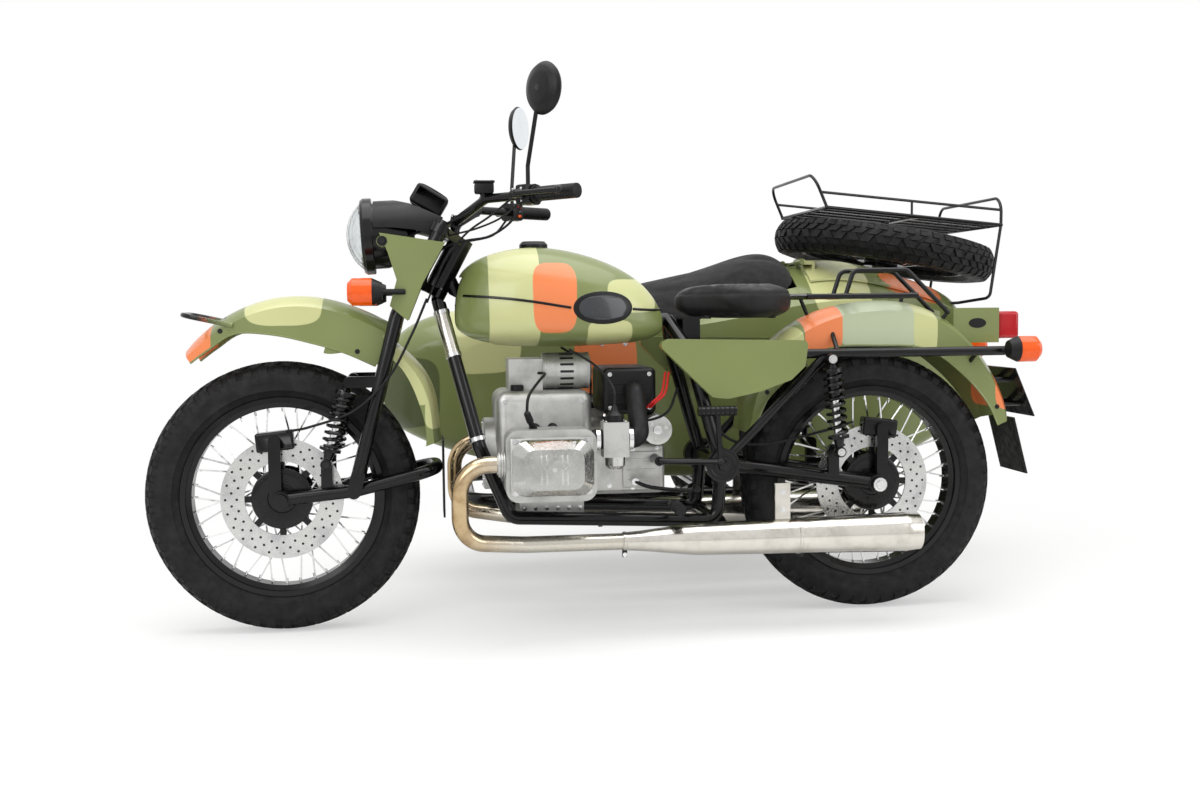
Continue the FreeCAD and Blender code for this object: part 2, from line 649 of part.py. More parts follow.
def brake_disc():
    """A ring with arms to a centre that seats on the hub's end, about the Y axis at the origin."""
    low = DISC_PLANE - DISC_THICKNESS / 2
    high = DISC_PLANE + DISC_THICKNESS / 2
    ring = turned([(DISC_INNER_RADIUS, low), (DISC_RADIUS, low), (DISC_RADIUS, high),
                   (DISC_INNER_RADIUS, high)], Vector(), Y_AXIS)
    bore = AXLE_HEAD_RADIUS + RUNNING_CLEARANCE
    centre = turned([(bore, low), (HUB_SPIGOT_RADIUS, low), (HUB_SPIGOT_RADIUS, high), (bore, high)],
                    Vector(), Y_AXIS)
    arms = []
    for number in range(DISC_ARMS):
        inside = HUB_SPIGOT_RADIUS - DISC_ARM_WIDTH / 2
        arm = Part.makeBox(DISC_INNER_RADIUS + DISC_ARM_WIDTH / 4 - inside, DISC_THICKNESS, DISC_ARM_WIDTH,
                           Vector(inside, low, -DISC_ARM_WIDTH / 2))
        arm.rotate(Vector(), Y_AXIS, number * FULL_TURN / DISC_ARMS)
        arms.append(arm)
    return union([ring, centre] + arms)


def caliper(degrees):
    """A caliper that straddles the disc's edge at an angle about the Y axis, with its bracket arm."""
    radius = DISC_RADIUS - CALIPER_REACH
    body = Part.makeBox(CALIPER_DEPTH, CALIPER_WIDTH, CALIPER_LENGTH,
                        Vector(radius, DISC_PLANE - CALIPER_WIDTH / 2, -CALIPER_LENGTH / 2))
    body = body.makeFillet(CALIPER_DEPTH / 8, body.Edges)
    gap = DISC_THICKNESS / 2 + RUNNING_CLEARANCE
    slot = Part.makeCylinder(DISC_RADIUS + RUNNING_CLEARANCE, 2 * gap, Vector(0, DISC_PLANE - gap, 0), Y_AXIS)
    shape = body.cut(slot)
    shape.rotate(Vector(), Y_AXIS, -degrees)
    return shape


def make_wheels():
    """Three wheels that turn, each a tyre and a laced wheel with its brake disc."""
    tyre_shape = tyre()
    wheel_shape = union([laced_wheel(), brake_disc()])
    for name, centre in {"front": FRONT_AXLE, "rear": REAR_AXLE, "sidecar": SIDECAR_AXLE}.items():
        add(name + "_tyre", tyre_shape.translated(centre))
        add(name + "_wheel", wheel_shape.translated(centre))


def head_frame(shape):
    """Move a shape drawn about the origin, with the steering axis as Z, to the steering head."""
    moved = shape.copy()
    moved.rotate(Vector(), Y_AXIS, -RAKE_DEGREES)
    moved.translate(HEAD_ORIGIN)
    return moved


def head_point(forward, side, height):
    """A point given in the steering head's own directions."""
    return HEAD_ORIGIN + HEAD_FORWARD * forward + Vector(0, side, 0) + HEAD_DIRECTION * height


def yoke(height):
    """A fork yoke: rings for the two legs and the stem, joined by tapered arms."""
    ring = LEG_RADIUS + YOKE_RING
    low = Vector(0, 0, height)
    shapes = [Part.makeCylinder(HEAD_TUBE_RADIUS, YOKE_THICKNESS, low)]
    for side in SIDES.values():
        centre = Vector(LEG_OFFSET, side * LEG_HALF_SPACING, height)
        shapes.append(Part.makeCylinder(ring, YOKE_THICKNESS, centre))
        across = Vector(-LEG_HALF_SPACING * side, LEG_OFFSET, 0).normalize() * (ring * 3 / 4)
        corners = [low + across, centre + across, centre - across, low - across]
        shapes.append(Part.Face(Part.makePolygon(corners + corners[:1])).extrude(Vector(0, 0, YOKE_THICKNESS)))
    return union(shapes)


def strap(start, end, radius, low_side, high_side):
    """A flat bar with round ends between two (X, Z) places, between two side distances."""
    first, last = place(start, low_side), place(end, low_side)
    deep = Vector(0, high_side - low_side, 0)
    across = (last - first).cross(Y_AXIS).normalize() * radius
    corners = [first + across, last + across, last - across, first - across]
    web = Part.Face(Part.makePolygon(corners + corners[:1])).extrude(deep)
    return union([web, rod(first, first + deep, radius), rod(last, last + deep, radius)])


def make_fork():
    """Yokes, stem and bent legs down to the link pivots."""
    top = HEAD_TUBE_LENGTH + YOKE_THICKNESS + 2 * FIT_CLEARANCE
    shapes = [head_frame(yoke(0)), head_frame(yoke(top)),
              head_frame(Part.makeCylinder(STEM_RADIUS, top + YOKE_THICKNESS))]
    knee_height = (KNEE_HEIGHT - HEAD_ORIGIN.z - HEAD_FORWARD.z * LEG_OFFSET) / math.cos(RAKE)
    pivot = (LINK_PIVOT_X, LINK_PIVOT_HEIGHT)
    for side in SIDES.values():
        aside = side * LEG_HALF_SPACING
        start = head_point(LEG_OFFSET, aside, top + YOKE_THICKNESS + LEG_TOP_REACH)
        knee = head_point(LEG_OFFSET, aside, knee_height)
        down = (place(pivot, aside) - knee).normalize()
        end = place(pivot, aside) - down * (LINK_TUBE_RADIUS + LEG_END_GAP)
        shapes.append(bent_bar([start, knee, end], LEG_RADIUS, FRAME_BEND_RADIUS))
        inner = side * (LINK_HALF_WIDTH + LINK_TUBE_RADIUS + FIT_CLEARANCE)
        shapes.append(strap((end.x, end.z), pivot, LEG_RADIUS, inner, inner + side * FORK_END_SHEET))
        lug_share = (knee.z - FRONT_SHOCK_TOP[1]) / (knee.z - LINK_PIVOT_HEIGHT)
        root = knee + (place(pivot, aside) - knee) * lug_share
        inner = side * (FRONT_SHOCK_HALF_WIDTH + SHOCK_EYE_WIDTH / 2 + FIT_CLEARANCE)
        shapes.append(strap((root.x, root.z), FRONT_SHOCK_TOP, SHOCK_EYE_RADIUS, inner, inner + side * SHOCK_LUG_SHEET))
    return union(shapes)


def shock(top, foot):
    """A damper with eyes at both ends and a coil spring drawn as its ridged outer shape."""
    direction = (foot - top).normalize()
    length = (foot - top).Length
    start = SHOCK_EYE_RADIUS + SHOCK_END_LENGTH / 2
    end = length - SHOCK_EYE_RADIUS - SHOCK_END_LENGTH
    pitch = (end - start) / SPRING_TURNS
    profile = [(0, start), (SPRING_RADIUS, start)]
    for turn in range(SPRING_TURNS):
        low = start + turn * pitch
        profile += [(SPRING_RADIUS, low + pitch * 0.4), (SPRING_ROOT_RADIUS, low + pitch * 0.55),
                    (SPRING_ROOT_RADIUS, low + pitch * 0.85), (SPRING_RADIUS, low + pitch)]
    profile.append((0, end))
    half = Vector(0, SHOCK_EYE_WIDTH / 2, 0)
    bodies = [turned(profile, top, direction), rod(top, foot, DAMPER_RADIUS)]
    bodies += [rod(eye - half, eye + half, SHOCK_EYE_RADIUS) for eye in (top, foot)]
    return union(bodies)


def axle_end(axle, side, wide, tube_radius):
    """The boss where a tube carries an axle, and the axle's head outside it."""
    inner = Vector(0, side * (HUB_WIDTH / 2 + RUNNING_CLEARANCE * 2), 0)
    outer = Vector(0, side * (wide + tube_radius + BOSS_PROUD), 0)
    head = outer + Vector(0, side * AXLE_HEAD_LENGTH, 0)
    return [rod(axle + inner, axle + outer, tube_radius + AXLE_HEAD_LENGTH / 2),
            rod(axle + outer, axle + head, AXLE_HEAD_RADIUS)]


def caliper_strap(axle, degrees, wide):
    """The strap that holds a caliper, rising from the tube that carries the axle."""
    angle = math.radians(degrees)
    radius = DISC_RADIUS - CALIPER_REACH + CALIPER_DEPTH / 2
    top = (axle.x + radius * math.cos(angle), axle.z + radius * math.sin(angle))
    inner = DISC_PLANE + CALIPER_WIDTH / 2 + FIT_CLEARANCE
    return strap((top[0], axle.z), top, CALIPER_STRAP_RADIUS, inner, wide)


def make_leading_link():
    """The link: one tube from axle to axle round the back of the tyre, with its eyes and the axle."""
    rear_x = WHEELBASE - TYRE_RADIUS - LINK_REAR_GAP - LINK_TUBE_RADIUS
    wide = LINK_HALF_WIDTH
    pivot = (LINK_PIVOT_X, LINK_PIVOT_HEIGHT)
    points = [FRONT_AXLE + Vector(0, wide, 0), place(pivot, wide),
              place((rear_x, LINK_REAR_HEIGHT), wide), place((rear_x, LINK_REAR_HEIGHT), -wide),
              place(pivot, -wide), FRONT_AXLE - Vector(0, wide, 0)]
    shapes = [bent_bar(points, LINK_TUBE_RADIUS, LINK_CORNER_RADIUS)]
    end = wide + LINK_TUBE_RADIUS + AXLE_HEAD_LENGTH
    shapes.append(rod(FRONT_AXLE - Vector(0, end, 0), FRONT_AXLE + Vector(0, end, 0), AXLE_RADIUS))
    for side in SIDES.values():
        shapes += axle_end(FRONT_AXLE, side, wide, LINK_TUBE_RADIUS)
        share = (FRONT_SHOCK_FOOT[0] - LINK_PIVOT_X) / (WHEELBASE - LINK_PIVOT_X)
        root = (FRONT_SHOCK_FOOT[0], LINK_PIVOT_HEIGHT + (TYRE_RADIUS - LINK_PIVOT_HEIGHT) * share)
        outer = side * (FRONT_SHOCK_HALF_WIDTH - SHOCK_EYE_WIDTH / 2 - FIT_CLEARANCE)
        shapes.append(strap(root, FRONT_SHOCK_FOOT, SHOCK_EYE_RADIUS, outer - side * SHOCK_LUG_SHEET, outer))
    shapes.append(caliper_strap(FRONT_AXLE, FRONT_CALIPER_DEGREES, wide))
    return union(shapes)


def guard_place(axle, table, degrees, share):
    """A point in X and Z on a mudguard's skirt: a share of its depth in from the crown, at an angle."""
    for low, high in zip(table, table[1:]):
        if low[0] <= degrees <= high[0]:
            part = (degrees - low[0]) / (high[0] - low[0])
            radius = low[1] + (high[1] - low[1]) * part
            depth = low[2] + (high[2] - low[2]) * part
            angle = math.radians(degrees)
            return axle + Vector(math.cos(angle), 0, math.sin(angle)) * (radius - depth * share)
    raise ValueError("no such place on the mudguard")


def lamp_frame(shape):
    """Move a shape drawn along X about the origin to the headlamp."""
    moved = shape.copy()
    moved.rotate(Vector(), Y_AXIS, LAMP_TILT_DEGREES)
    moved.translate(place(LAMP_CENTRE))
    return moved


def make_headlamp():
    """Bucket with its ring, and the lens in front."""
    inside = LAMP_RING_RADIUS - LENS_RADIUS
    bucket = turned([(0, -LAMP_DEPTH), (LAMP_BACK_RADIUS, -LAMP_DEPTH), (LAMP_BACK_RADIUS * 5 / 4, -LAMP_DEPTH * 5 / 6),
                     (LAMP_SHELL_RADIUS, -LAMP_DEPTH / 3), (LAMP_SHELL_RADIUS, 0), (LAMP_RING_RADIUS, 0),
                     (LAMP_RING_RADIUS, LAMP_RING_DEPTH * 3 / 4), (LENS_RADIUS, LAMP_RING_DEPTH),
                     (LENS_RADIUS, inside), (0, inside)], Vector(), X_AXIS)
    add("headlamp_bucket", lamp_frame(bucket))
    seat = inside + FIT_CLEARANCE
    edge = LENS_RADIUS - FIT_CLEARANCE
    rim = LAMP_RING_DEPTH
    ball = (edge ** 2 + LENS_BULGE ** 2) / (2 * LENS_BULGE)
    dome = Part.makeSphere(ball, Vector(rim + LENS_BULGE - ball, 0, 0))
    lens = rod(Vector(seat, 0, 0), Vector(rim + LENS_BULGE + OVERRUN, 0, 0), edge).common(dome)
    add("headlamp_lens", lamp_frame(lens))


def make_lamp_ears():
    """Two side plates that carry the headlamp on the fork legs, with their bosses."""
    shapes = []
    for side in SIDES.values():
        inner = side * EAR_HALF_WIDTH
        plate = side_plate(EAR_OUTLINE, inner, inner + side * EAR_THICKNESS)
        boss = place(LAMP_CENTRE, side * (LAMP_SHELL_RADIUS + FIT_CLEARANCE)) - Vector(LAMP_RING_DEPTH, 0, EAR_BOSS_DROP)
        shapes.append(union([plate, rod(boss, Vector(boss.x, inner, boss.z), SIGNAL_STALK_RADIUS * 2)]))
    add("headlamp_ears", Part.makeCompound(shapes))


def make_instruments():
    """The black cowl, hollow over the headlamp's back, and the square instrument box behind it."""
    cowl = side_plate(COWL_OUTLINE, -COWL_RADIUS - OVERRUN, COWL_RADIUS + OVERRUN)
    cowl = cowl.common(lamp_frame(rod(Vector(-LAMP_DEPTH * 2, 0, 0), Vector(-FIT_CLEARANCE, 0, 0), COWL_RADIUS)))
    behind = LAMP_DEPTH + RUNNING_CLEARANCE
    cowl = cowl.cut(lamp_frame(rod(Vector(-behind, 0, 0), Vector(OVERRUN, 0, 0), COWL_RADIUS - COWL_SHEET)))
    deep, wide, tall = GAUGE_SIZE
    gauge = Part.makeBox(deep, wide, tall, Vector(-deep / 2, -wide / 2, -tall / 2))
    gauge = gauge.makeFillet(tall / 6, gauge.Edges)
    gauge.rotate(Vector(), Y_AXIS, -GAUGE_TILT_DEGREES)
    whole = union([cowl, gauge.translated(place(GAUGE_CENTRE))]).cut(pieces["fork"])
    add("instrument_cowl", biggest(whole))


def signal_lamp(centre, direction):
    """A round turn signal: a black cup and an amber lens in one revolved shape."""
    back = -SIGNAL_DEPTH / 2
    rim = SIGNAL_DEPTH / 2 - SIGNAL_LENS_DEPTH / 2
    front = SIGNAL_DEPTH / 2 + SIGNAL_LENS_DEPTH / 2
    return turned([(0, back), (SIGNAL_RADIUS * 2 / 3, back), (SIGNAL_RADIUS, rim / 2),
                   (SIGNAL_RADIUS, front - SIGNAL_RADIUS / 3), (SIGNAL_RADIUS * 2 / 3, front), (0, front)],
                  centre, direction)


def make_front_signals():
    """Two front turn signals on stalks from the lamp ears."""
    shapes = []
    ears = pieces["headlamp_ears"]
    for side in SIDES.values():
        centre = place(FRONT_SIGNAL_PLACE, side * FRONT_SIGNAL_SPACING / 2)
        root = Vector(centre.x - SIGNAL_DEPTH * 3 / 2, side * (EAR_HALF_WIDTH + EAR_THICKNESS + FIT_CLEARANCE), centre.z)
        lamp = union([signal_lamp(centre, X_AXIS), rod(root, centre, SIGNAL_STALK_RADIUS)])
        shapes.append(biggest(lamp.cut(ears)))
    add("front_signals", Part.makeCompound(shapes))


def make_handlebar():
    """Bent bar with risers, switch boxes, grips and levers, in one piece."""
    points = [place(GRIP_END, GRIP_END_HALF_WIDTH), place(BAR_BEND, BAR_BEND_HALF_WIDTH),
              place(BAR_CLAMP, BAR_CLAMP_HALF_WIDTH * 2), place(BAR_CLAMP, -BAR_CLAMP_HALF_WIDTH * 2),
              place(BAR_BEND, -BAR_BEND_HALF_WIDTH), place(GRIP_END, -GRIP_END_HALF_WIDTH)]
    shapes = [bent_bar(points, BAR_RADIUS, BAR_BEND_RADIUS)]
    top = HEAD_TUBE_LENGTH + 2 * YOKE_THICKNESS + 2 * FIT_CLEARANCE
    yoke_shape = pieces["fork"]
    for side in SIDES.values():
        clamp = place(BAR_CLAMP, side * BAR_CLAMP_HALF_WIDTH)
        riser = rod(head_point(LEG_OFFSET / 4, clamp.y, top - YOKE_THICKNESS), clamp, BAR_RADIUS)
        shapes.append(biggest(riser.cut(yoke_shape)))
        half = Vector(0, BAR_RADIUS * 3 / 2, 0)
        shapes.append(rod(clamp - half, clamp + half, BAR_RADIUS * 3 / 2))
        end = place(GRIP_END, side * GRIP_END_HALF_WIDTH)
        bend = place(BAR_BEND, side * BAR_BEND_HALF_WIDTH)
        back = (bend - end).normalize()
        start = end + back * (place(GRIP_START, GRIP_START_HALF_WIDTH) - place(GRIP_END, GRIP_END_HALF_WIDTH)).Length
        shapes.append(rod(end, start, GRIP_RADIUS))
        shapes.append(rod(start, start + back * SWITCH_LENGTH, SWITCH_RADIUS))
        ahead = back.cross(Z_AXIS).normalize() * side * -LEVER_REACH
        perch = start + back * (SWITCH_LENGTH / 2)
        knuckle = perch + ahead
        if knuckle.x < perch.x:
            knuckle = perch - ahead
        tip = knuckle + (end - start) * 1.1
        shapes.append(rod(perch, knuckle, LEVER_RADIUS * 3 / 2))
        shapes.append(union([rod(knuckle, tip, LEVER_RADIUS), Part.makeSphere(LEVER_BALL_RADIUS, tip),
                             Part.makeSphere(LEVER_BALL_RADIUS, knuckle)]))
    add("handlebar", union(shapes))


def make_mirrors():
    """Round mirrors on bent stems from the switch boxes."""
    mirrors = []
    for name, side in SIDES.items():
        x_place, y_place, z_place = MIRROR_PLACES[name]
        head = Vector(x_place, y_place, z_place)
        facing = math.radians(MIRROR_TURN_DEGREES[name])
        normal = Vector(math.cos(facing), math.sin(facing), 0)
        half = MIRROR_THICKNESS / 2
        cup = turned([(0, -half), (MIRROR_RADIUS * 0.95, -half), (MIRROR_RADIUS, -half / 2),
                      (MIRROR_RADIUS * 0.9, half / 4), (MIRROR_RADIUS * 0.6, half), (0, half * 1.3)], head, normal)
        end = place(GRIP_END, side * GRIP_END_HALF_WIDTH)
        bend = place(BAR_BEND, side * BAR_BEND_HALF_WIDTH)
        back = (bend - end).normalize()
        reach = (place(GRIP_START, GRIP_START_HALF_WIDTH) - place(GRIP_END, GRIP_END_HALF_WIDTH)).Length
        perch = end + back * (reach + SWITCH_LENGTH / 2) + Vector(0, 0, SWITCH_RADIUS * 0.8)
        elbow = perch + Vector(0, 0, SWITCH_RADIUS * 2)
        stem = bent_bar([perch, elbow, head + normal * half / 2], MIRROR_STEM_RADIUS, SWITCH_RADIUS * 0.6)
        mirrors.append(biggest(union([cup, stem]).cut(pieces["handlebar"])))
    add("mirrors", Part.makeCompound(mirrors))


def make_front_guards():
    """The front mudguard, the half behind the fork with its flap, and the tube loop at the front."""
    front = guard(FRONT_AXLE, FRONT_GUARD, FRONT_GUARD_HALF_WIDTH)
    knee = head_point(LEG_OFFSET, 0, (KNEE_HEIGHT - HEAD_ORIGIN.z - HEAD_FORWARD.z * LEG_OFFSET) / math.cos(RAKE))
    spot = guard_place(FRONT_AXLE, FRONT_GUARD, GUARD_BOSS_DEGREES, GUARD_BOSS_DEPTH_SHARE)
    leg = (place((LINK_PIVOT_X, LINK_PIVOT_HEIGHT)) - knee).normalize()
    reach = knee + leg * (spot - knee).dot(leg)
    bosses = []
    for side in SIDES.values():
        inner = Vector(0, side * (FRONT_GUARD_HALF_WIDTH - GUARD_SHEET), 0)
        outer = Vector(0, side * (LEG_HALF_SPACING - LEG_RADIUS - FIT_CLEARANCE), 0)
        bosses.append(rod(spot + inner, reach + outer, SIGNAL_STALK_RADIUS))
    wide = FRONT_GUARD_HALF_WIDTH + GUARD_LOOP_RADIUS / 2
    loop = bent_bar([place(GUARD_LOOP_FOOT, wide), place(GUARD_LOOP_TIP, wide), place(GUARD_LOOP_TIP, -wide),
                     place(GUARD_LOOP_FOOT, -wide)], GUARD_LOOP_RADIUS, wide / 2)
    add("front_mudguard", biggest(union([front, loop] + bosses).cut(pieces["fork"])))
    rear = guard(FRONT_AXLE, REAR_HALF_GUARD, GUARD_SEAT_HALF_WIDTH)
    degrees, radius, depth = REAR_HALF_GUARD[-1]
    angle = math.radians(degrees)
    edge = FRONT_AXLE + Vector(math.cos(angle), 0, math.sin(angle)) * (radius - GUARD_SHEET / 2)
    wide = GUARD_SEAT_HALF_WIDTH - GUARD_SHEET * 2
    flap = block(Vector(edge.x - MUDFLAP_THICKNESS, -wide, edge.z - MUDFLAP_LENGTH),
                 Vector(edge.x, wide, edge.z + MUDFLAP_THICKNESS))
    flap = flap.translated(Vector(-FIT_CLEARANCE, 0, -MUDFLAP_THICKNESS - FIT_CLEARANCE))
    add("front_mudguard_rear_half", Part.makeCompound([rear, flap]))


def make_steering():
    """Everything that turns with the handlebar, apart from the wheel."""
    add("fork", make_fork())
    add("leading_link", make_leading_link())
    shocks = [shock(place(FRONT_SHOCK_TOP, side * FRONT_SHOCK_HALF_WIDTH),
                    place(FRONT_SHOCK_FOOT, side * FRONT_SHOCK_HALF_WIDTH)) for side in SIDES.values()]
    add("front_shocks", Part.makeCompound(shocks))
    add("front_caliper", caliper(FRONT_CALIPER_DEGREES).translated(FRONT_AXLE))
    make_headlamp()
    make_lamp_ears()
    make_instruments()
    make_front_signals()
    make_handlebar()
    make_mirrors()
    make_front_guards()


def make_frame():
    """The main frame: head tube, backbone, cradle, seat rails and cross tubes in one welded piece."""
    head_low = Vector(0, 0, YOKE_THICKNESS + FIT_CLEARANCE)
    head = Part.makeCylinder(HEAD_TUBE_RADIUS, HEAD_TUBE_LENGTH, head_low)
    shapes = [head_frame(head)]
    neck = head_point(0, 0, YOKE_THICKNESS + HEAD_TUBE_LENGTH * 0.4)
    neck_rear = Vector(neck.x - HEAD_TUBE_RADIUS * 2, 0, BACKBONE_HEIGHT)
    backbone_end = Vector(BACKBONE_REAR_X, 0, BACKBONE_HEIGHT)
    shapes.append(bent_bar([neck, neck_rear, backbone_end], FRAME_TUBE_RADIUS, HEAD_TUBE_RADIUS * 3 / 2))
    filled = guard(REAR_AXLE, REAR_GUARD, REAR_GUARD_HALF_WIDTH + FIT_CLEARANCE, filled=True)
    for side in SIDES.values():
        wide = side * FRAME_HALF_WIDTH
        rail_wide = side * SEAT_RAIL_HALF_WIDTH
        top = place(DOWNTUBE_TOP, side * DOWNTUBE_TOP_HALF_WIDTH)
        cradle = [top, place(DOWNTUBE_MIDDLE, wide), place(DOWNTUBE_FOOT, wide), place(LOWER_RAIL_REAR, wide),
                  place(PIVOT_PLACE, wide), place(SEAT_POST_TOP, wide)]
        shapes.append(bent_bar(cradle, FRAME_TUBE_RADIUS, FRAME_BEND_RADIUS / 2))
        shapes.append(rod(head_point(0, 0, YOKE_THICKNESS * 3 / 2), top, FRAME_TUBE_RADIUS))
        seat_front = place(SEAT_POST_TOP, wide)
        shapes.append(rod(backbone_end, seat_front, FRAME_TUBE_RADIUS))
        spread = Vector(SEAT_POST_TOP[0] - FRAME_HALF_WIDTH * 2, rail_wide, SEAT_RAIL_HEIGHT)
        rail_end = Vector(SEAT_RAIL_REAR_X, rail_wide, SEAT_RAIL_HEIGHT)
        shapes.append(bent_bar([seat_front, spread, rail_end], SEAT_RAIL_RADIUS, FRAME_BEND_RADIUS))
        mount = place(REAR_SHOCK_TOP, rail_wide)
        mount_end = side * (REAR_SHOCK_HALF_WIDTH - SHOCK_EYE_WIDTH / 2 - FIT_CLEARANCE)
        shapes.append(rod(mount, place(REAR_SHOCK_TOP, mount_end), SHOCK_EYE_RADIUS))
        shapes.append(rod(mount, Vector(mount.x, rail_wide, SEAT_RAIL_HEIGHT), SEAT_RAIL_RADIUS * 4 / 5))
        for degrees, share in GUARD_BOSS_PLACES:
            boss = guard_place(REAR_AXLE, REAR_GUARD, degrees, share)
            inside = boss + Vector(0, side * (REAR_GUARD_HALF_WIDTH - SEAT_RAIL_RADIUS), 0)
            boss = rod(Vector(boss.x, rail_wide, SEAT_RAIL_HEIGHT), inside, SEAT_RAIL_RADIUS / 2)
            shapes.append(biggest(boss.cut(filled)))
        shapes.append(rod(place(PIVOT_PLACE, wide), place(PIVOT_PLACE, side * PIVOT_CAP_SIDE), PIVOT_CAP_RADIUS))
        shapes.append(rod(place(PIVOT_PLACE, wide), Vector(REAR_SHOCK_TOP[0], rail_wide, SEAT_RAIL_HEIGHT),
                          SEAT_RAIL_RADIUS))
    wide = Vector(0, FRAME_HALF_WIDTH, 0)
    for spot in (PIVOT_PLACE, LOWER_RAIL_REAR, SEAT_POST_TOP, DOWNTUBE_FOOT):
        shapes.append(rod(place(spot) - wide, place(spot) + wide, CROSS_TUBE_RADIUS))
    shapes += stand_mount()
    shapes.append(saddle_bracket())
    frame = union(shapes)
    bore = Part.makeCylinder(STEM_RADIUS + FIT_CLEARANCE, HEAD_TUBE_LENGTH * 2, Vector(0, 0, -YOKE_THICKNESS))
    yoke_space = Part.makeCylinder(HEAD_TUBE_RADIUS * 2, YOKE_THICKNESS + FIT_CLEARANCE)
    add("main_frame", frame.cut(head_frame(bore)).cut(head_frame(yoke_space)))


def saddle_bracket():
    """The bent sheet that carries the saddle on the frame's cross tube."""
    half = BRACKET_WIDTH / 2
    foot = SEAT_POST_TOP[1]
    top = SADDLE_BOTTOM - FIT_CLEARANCE
    bracket = block(Vector(SEAT_POST_TOP[0] - half, -half, foot), Vector(SEAT_POST_TOP[0], half, top))
    hollow = block(Vector(SEAT_POST_TOP[0] - half - OVERRUN, BRACKET_SHEET - half, foot - OVERRUN),
                   Vector(SEAT_POST_TOP[0] + OVERRUN, half - BRACKET_SHEET, top - BRACKET_SHEET))
    return bracket.cut(hollow)


def make_swingarm():
    """Rear swinging arm with its pivot tube and the wheel axle."""
    wide = ARM_HALF_WIDTH
    pivot = place(PIVOT_PLACE)
    half = Vector(0, FRAME_HALF_WIDTH - FRAME_TUBE_RADIUS - FIT_CLEARANCE, 0)
    shapes = [rod(pivot - half, pivot + half, PIVOT_TUBE_RADIUS)]
    end = wide + ARM_TUBE_RADIUS + AXLE_HEAD_LENGTH
    shapes.append(rod(REAR_AXLE - Vector(0, end, 0), REAR_AXLE + Vector(0, end, 0), AXLE_RADIUS))
    for side in SIDES.values():
        shapes.append(rod(place(PIVOT_PLACE, side * wide), REAR_AXLE + Vector(0, side * wide, 0), ARM_TUBE_RADIUS))
        shapes += axle_end(REAR_AXLE, side, wide, ARM_TUBE_RADIUS)
        share = (PIVOT_PLACE[0] - REAR_SHOCK_FOOT[0]) / PIVOT_PLACE[0]
        root = (REAR_SHOCK_FOOT[0], PIVOT_PLACE[1] + (TYRE_RADIUS - PIVOT_PLACE[1]) * share)
        shapes.append(strap(root, REAR_SHOCK_FOOT, SHOCK_EYE_RADIUS, side * wide,
                            side * (wide + ARM_TUBE_RADIUS - BOSS_PROUD)))
        pin_end = side * (REAR_SHOCK_HALF_WIDTH - SHOCK_EYE_WIDTH / 2 - FIT_CLEARANCE)
        shapes.append(rod(place(REAR_SHOCK_FOOT, side * wide), place(REAR_SHOCK_FOOT, pin_end), SHOCK_EYE_RADIUS / 2))
    shapes.append(caliper_strap(REAR_AXLE, REAR_CALIPER_DEGREES, wide))
    pivot_bore = rod(pivot - half * 2, pivot + half * 2, CROSS_TUBE_RADIUS + FIT_CLEARANCE)
    arm = union(shapes).cut(pivot_bore)
    add("rear_swingarm", arm)


def make_final_drive():
    """Bevel case on the right of the rear wheel, its shaft and the cross shaft to the sidecar wheel."""
    inner = ARM_HALF_WIDTH + ARM_TUBE_RADIUS + BOSS_PROUD + AXLE_HEAD_LENGTH + FIT_CLEARANCE
    centre = REAR_AXLE - Vector(0, inner, 0)
    case = turned([(0, 0), (FINAL_DRIVE_RADIUS, 0), (FINAL_DRIVE_RADIUS, FINAL_DRIVE_DEPTH / 2),
                   (FINAL_DRIVE_RADIUS * 2 / 3, FINAL_DRIVE_DEPTH), (0, FINAL_DRIVE_DEPTH)], centre, -Y_AXIS)
    end = centre - Vector(0, FINAL_DRIVE_DEPTH / 2, 0)
    reach = SIDECAR_AXLE + Vector(0, TRACK - SIDECAR_ARM_SIDE + ARM_TUBE_RADIUS + BOSS_PROUD + FIT_CLEARANCE, 0)
    add("final_drive", union([case, rod(end, reach, SHAFT_RADIUS)]))


def make_rear():
    """Swinging arm, shocks, drive, mudguard, lamps, plate bracket and carrier at the rear."""
    make_swingarm()
    make_final_drive()
    shocks = [shock(place(REAR_SHOCK_TOP, side * REAR_SHOCK_HALF_WIDTH),
                    place(REAR_SHOCK_FOOT, side * REAR_SHOCK_HALF_WIDTH)) for side in SIDES.values()]
    add("rear_shocks", Part.makeCompound(shocks))
    add("rear_caliper", caliper(REAR_CALIPER_DEGREES).translated(REAR_AXLE))
    fender = guard(REAR_AXLE, REAR_GUARD, REAR_GUARD_HALF_WIDTH)
    add("rear_mudguard", Part.makeCompound([fender, rear_flap()]))
    front, back, low, high = TAIL_LAMP_BOX
    wide = TAIL_LAMP_HALF_WIDTH
    housing = block(Vector(back, -wide, low), Vector(front, wide, high))
    add("tail_lamp_housing", housing.cut(guard(REAR_AXLE, REAR_GUARD, REAR_GUARD_HALF_WIDTH, filled=True)))
    margin = TAIL_LENS_MARGIN
    lens = block(Vector(back - TAIL_LENS_DEPTH, margin - wide, low + margin),
                 Vector(back - FIT_CLEARANCE, wide - margin, high - margin))
    add("tail_lamp_lens", lens.makeFillet(margin, lens.Edges))
    shapes = []
    for side in SIDES.values():
        centre = place(REAR_SIGNAL_PLACE, side * REAR_SIGNAL_SPACING / 2)
        inner = Vector(SEAT_RAIL_REAR_X + SEAT_RAIL_RADIUS, side * SEAT_RAIL_HALF_WIDTH, SEAT_RAIL_HEIGHT)
        lamp = union([signal_lamp(centre, -X_AXIS), rod(inner, centre, SIGNAL_STALK_RADIUS)])
        shapes.append(biggest(lamp.cut(pieces["main_frame"])))
    add("rear_signals", Part.makeCompound(shapes))
    make_plate_bracket()
    make_carrier()


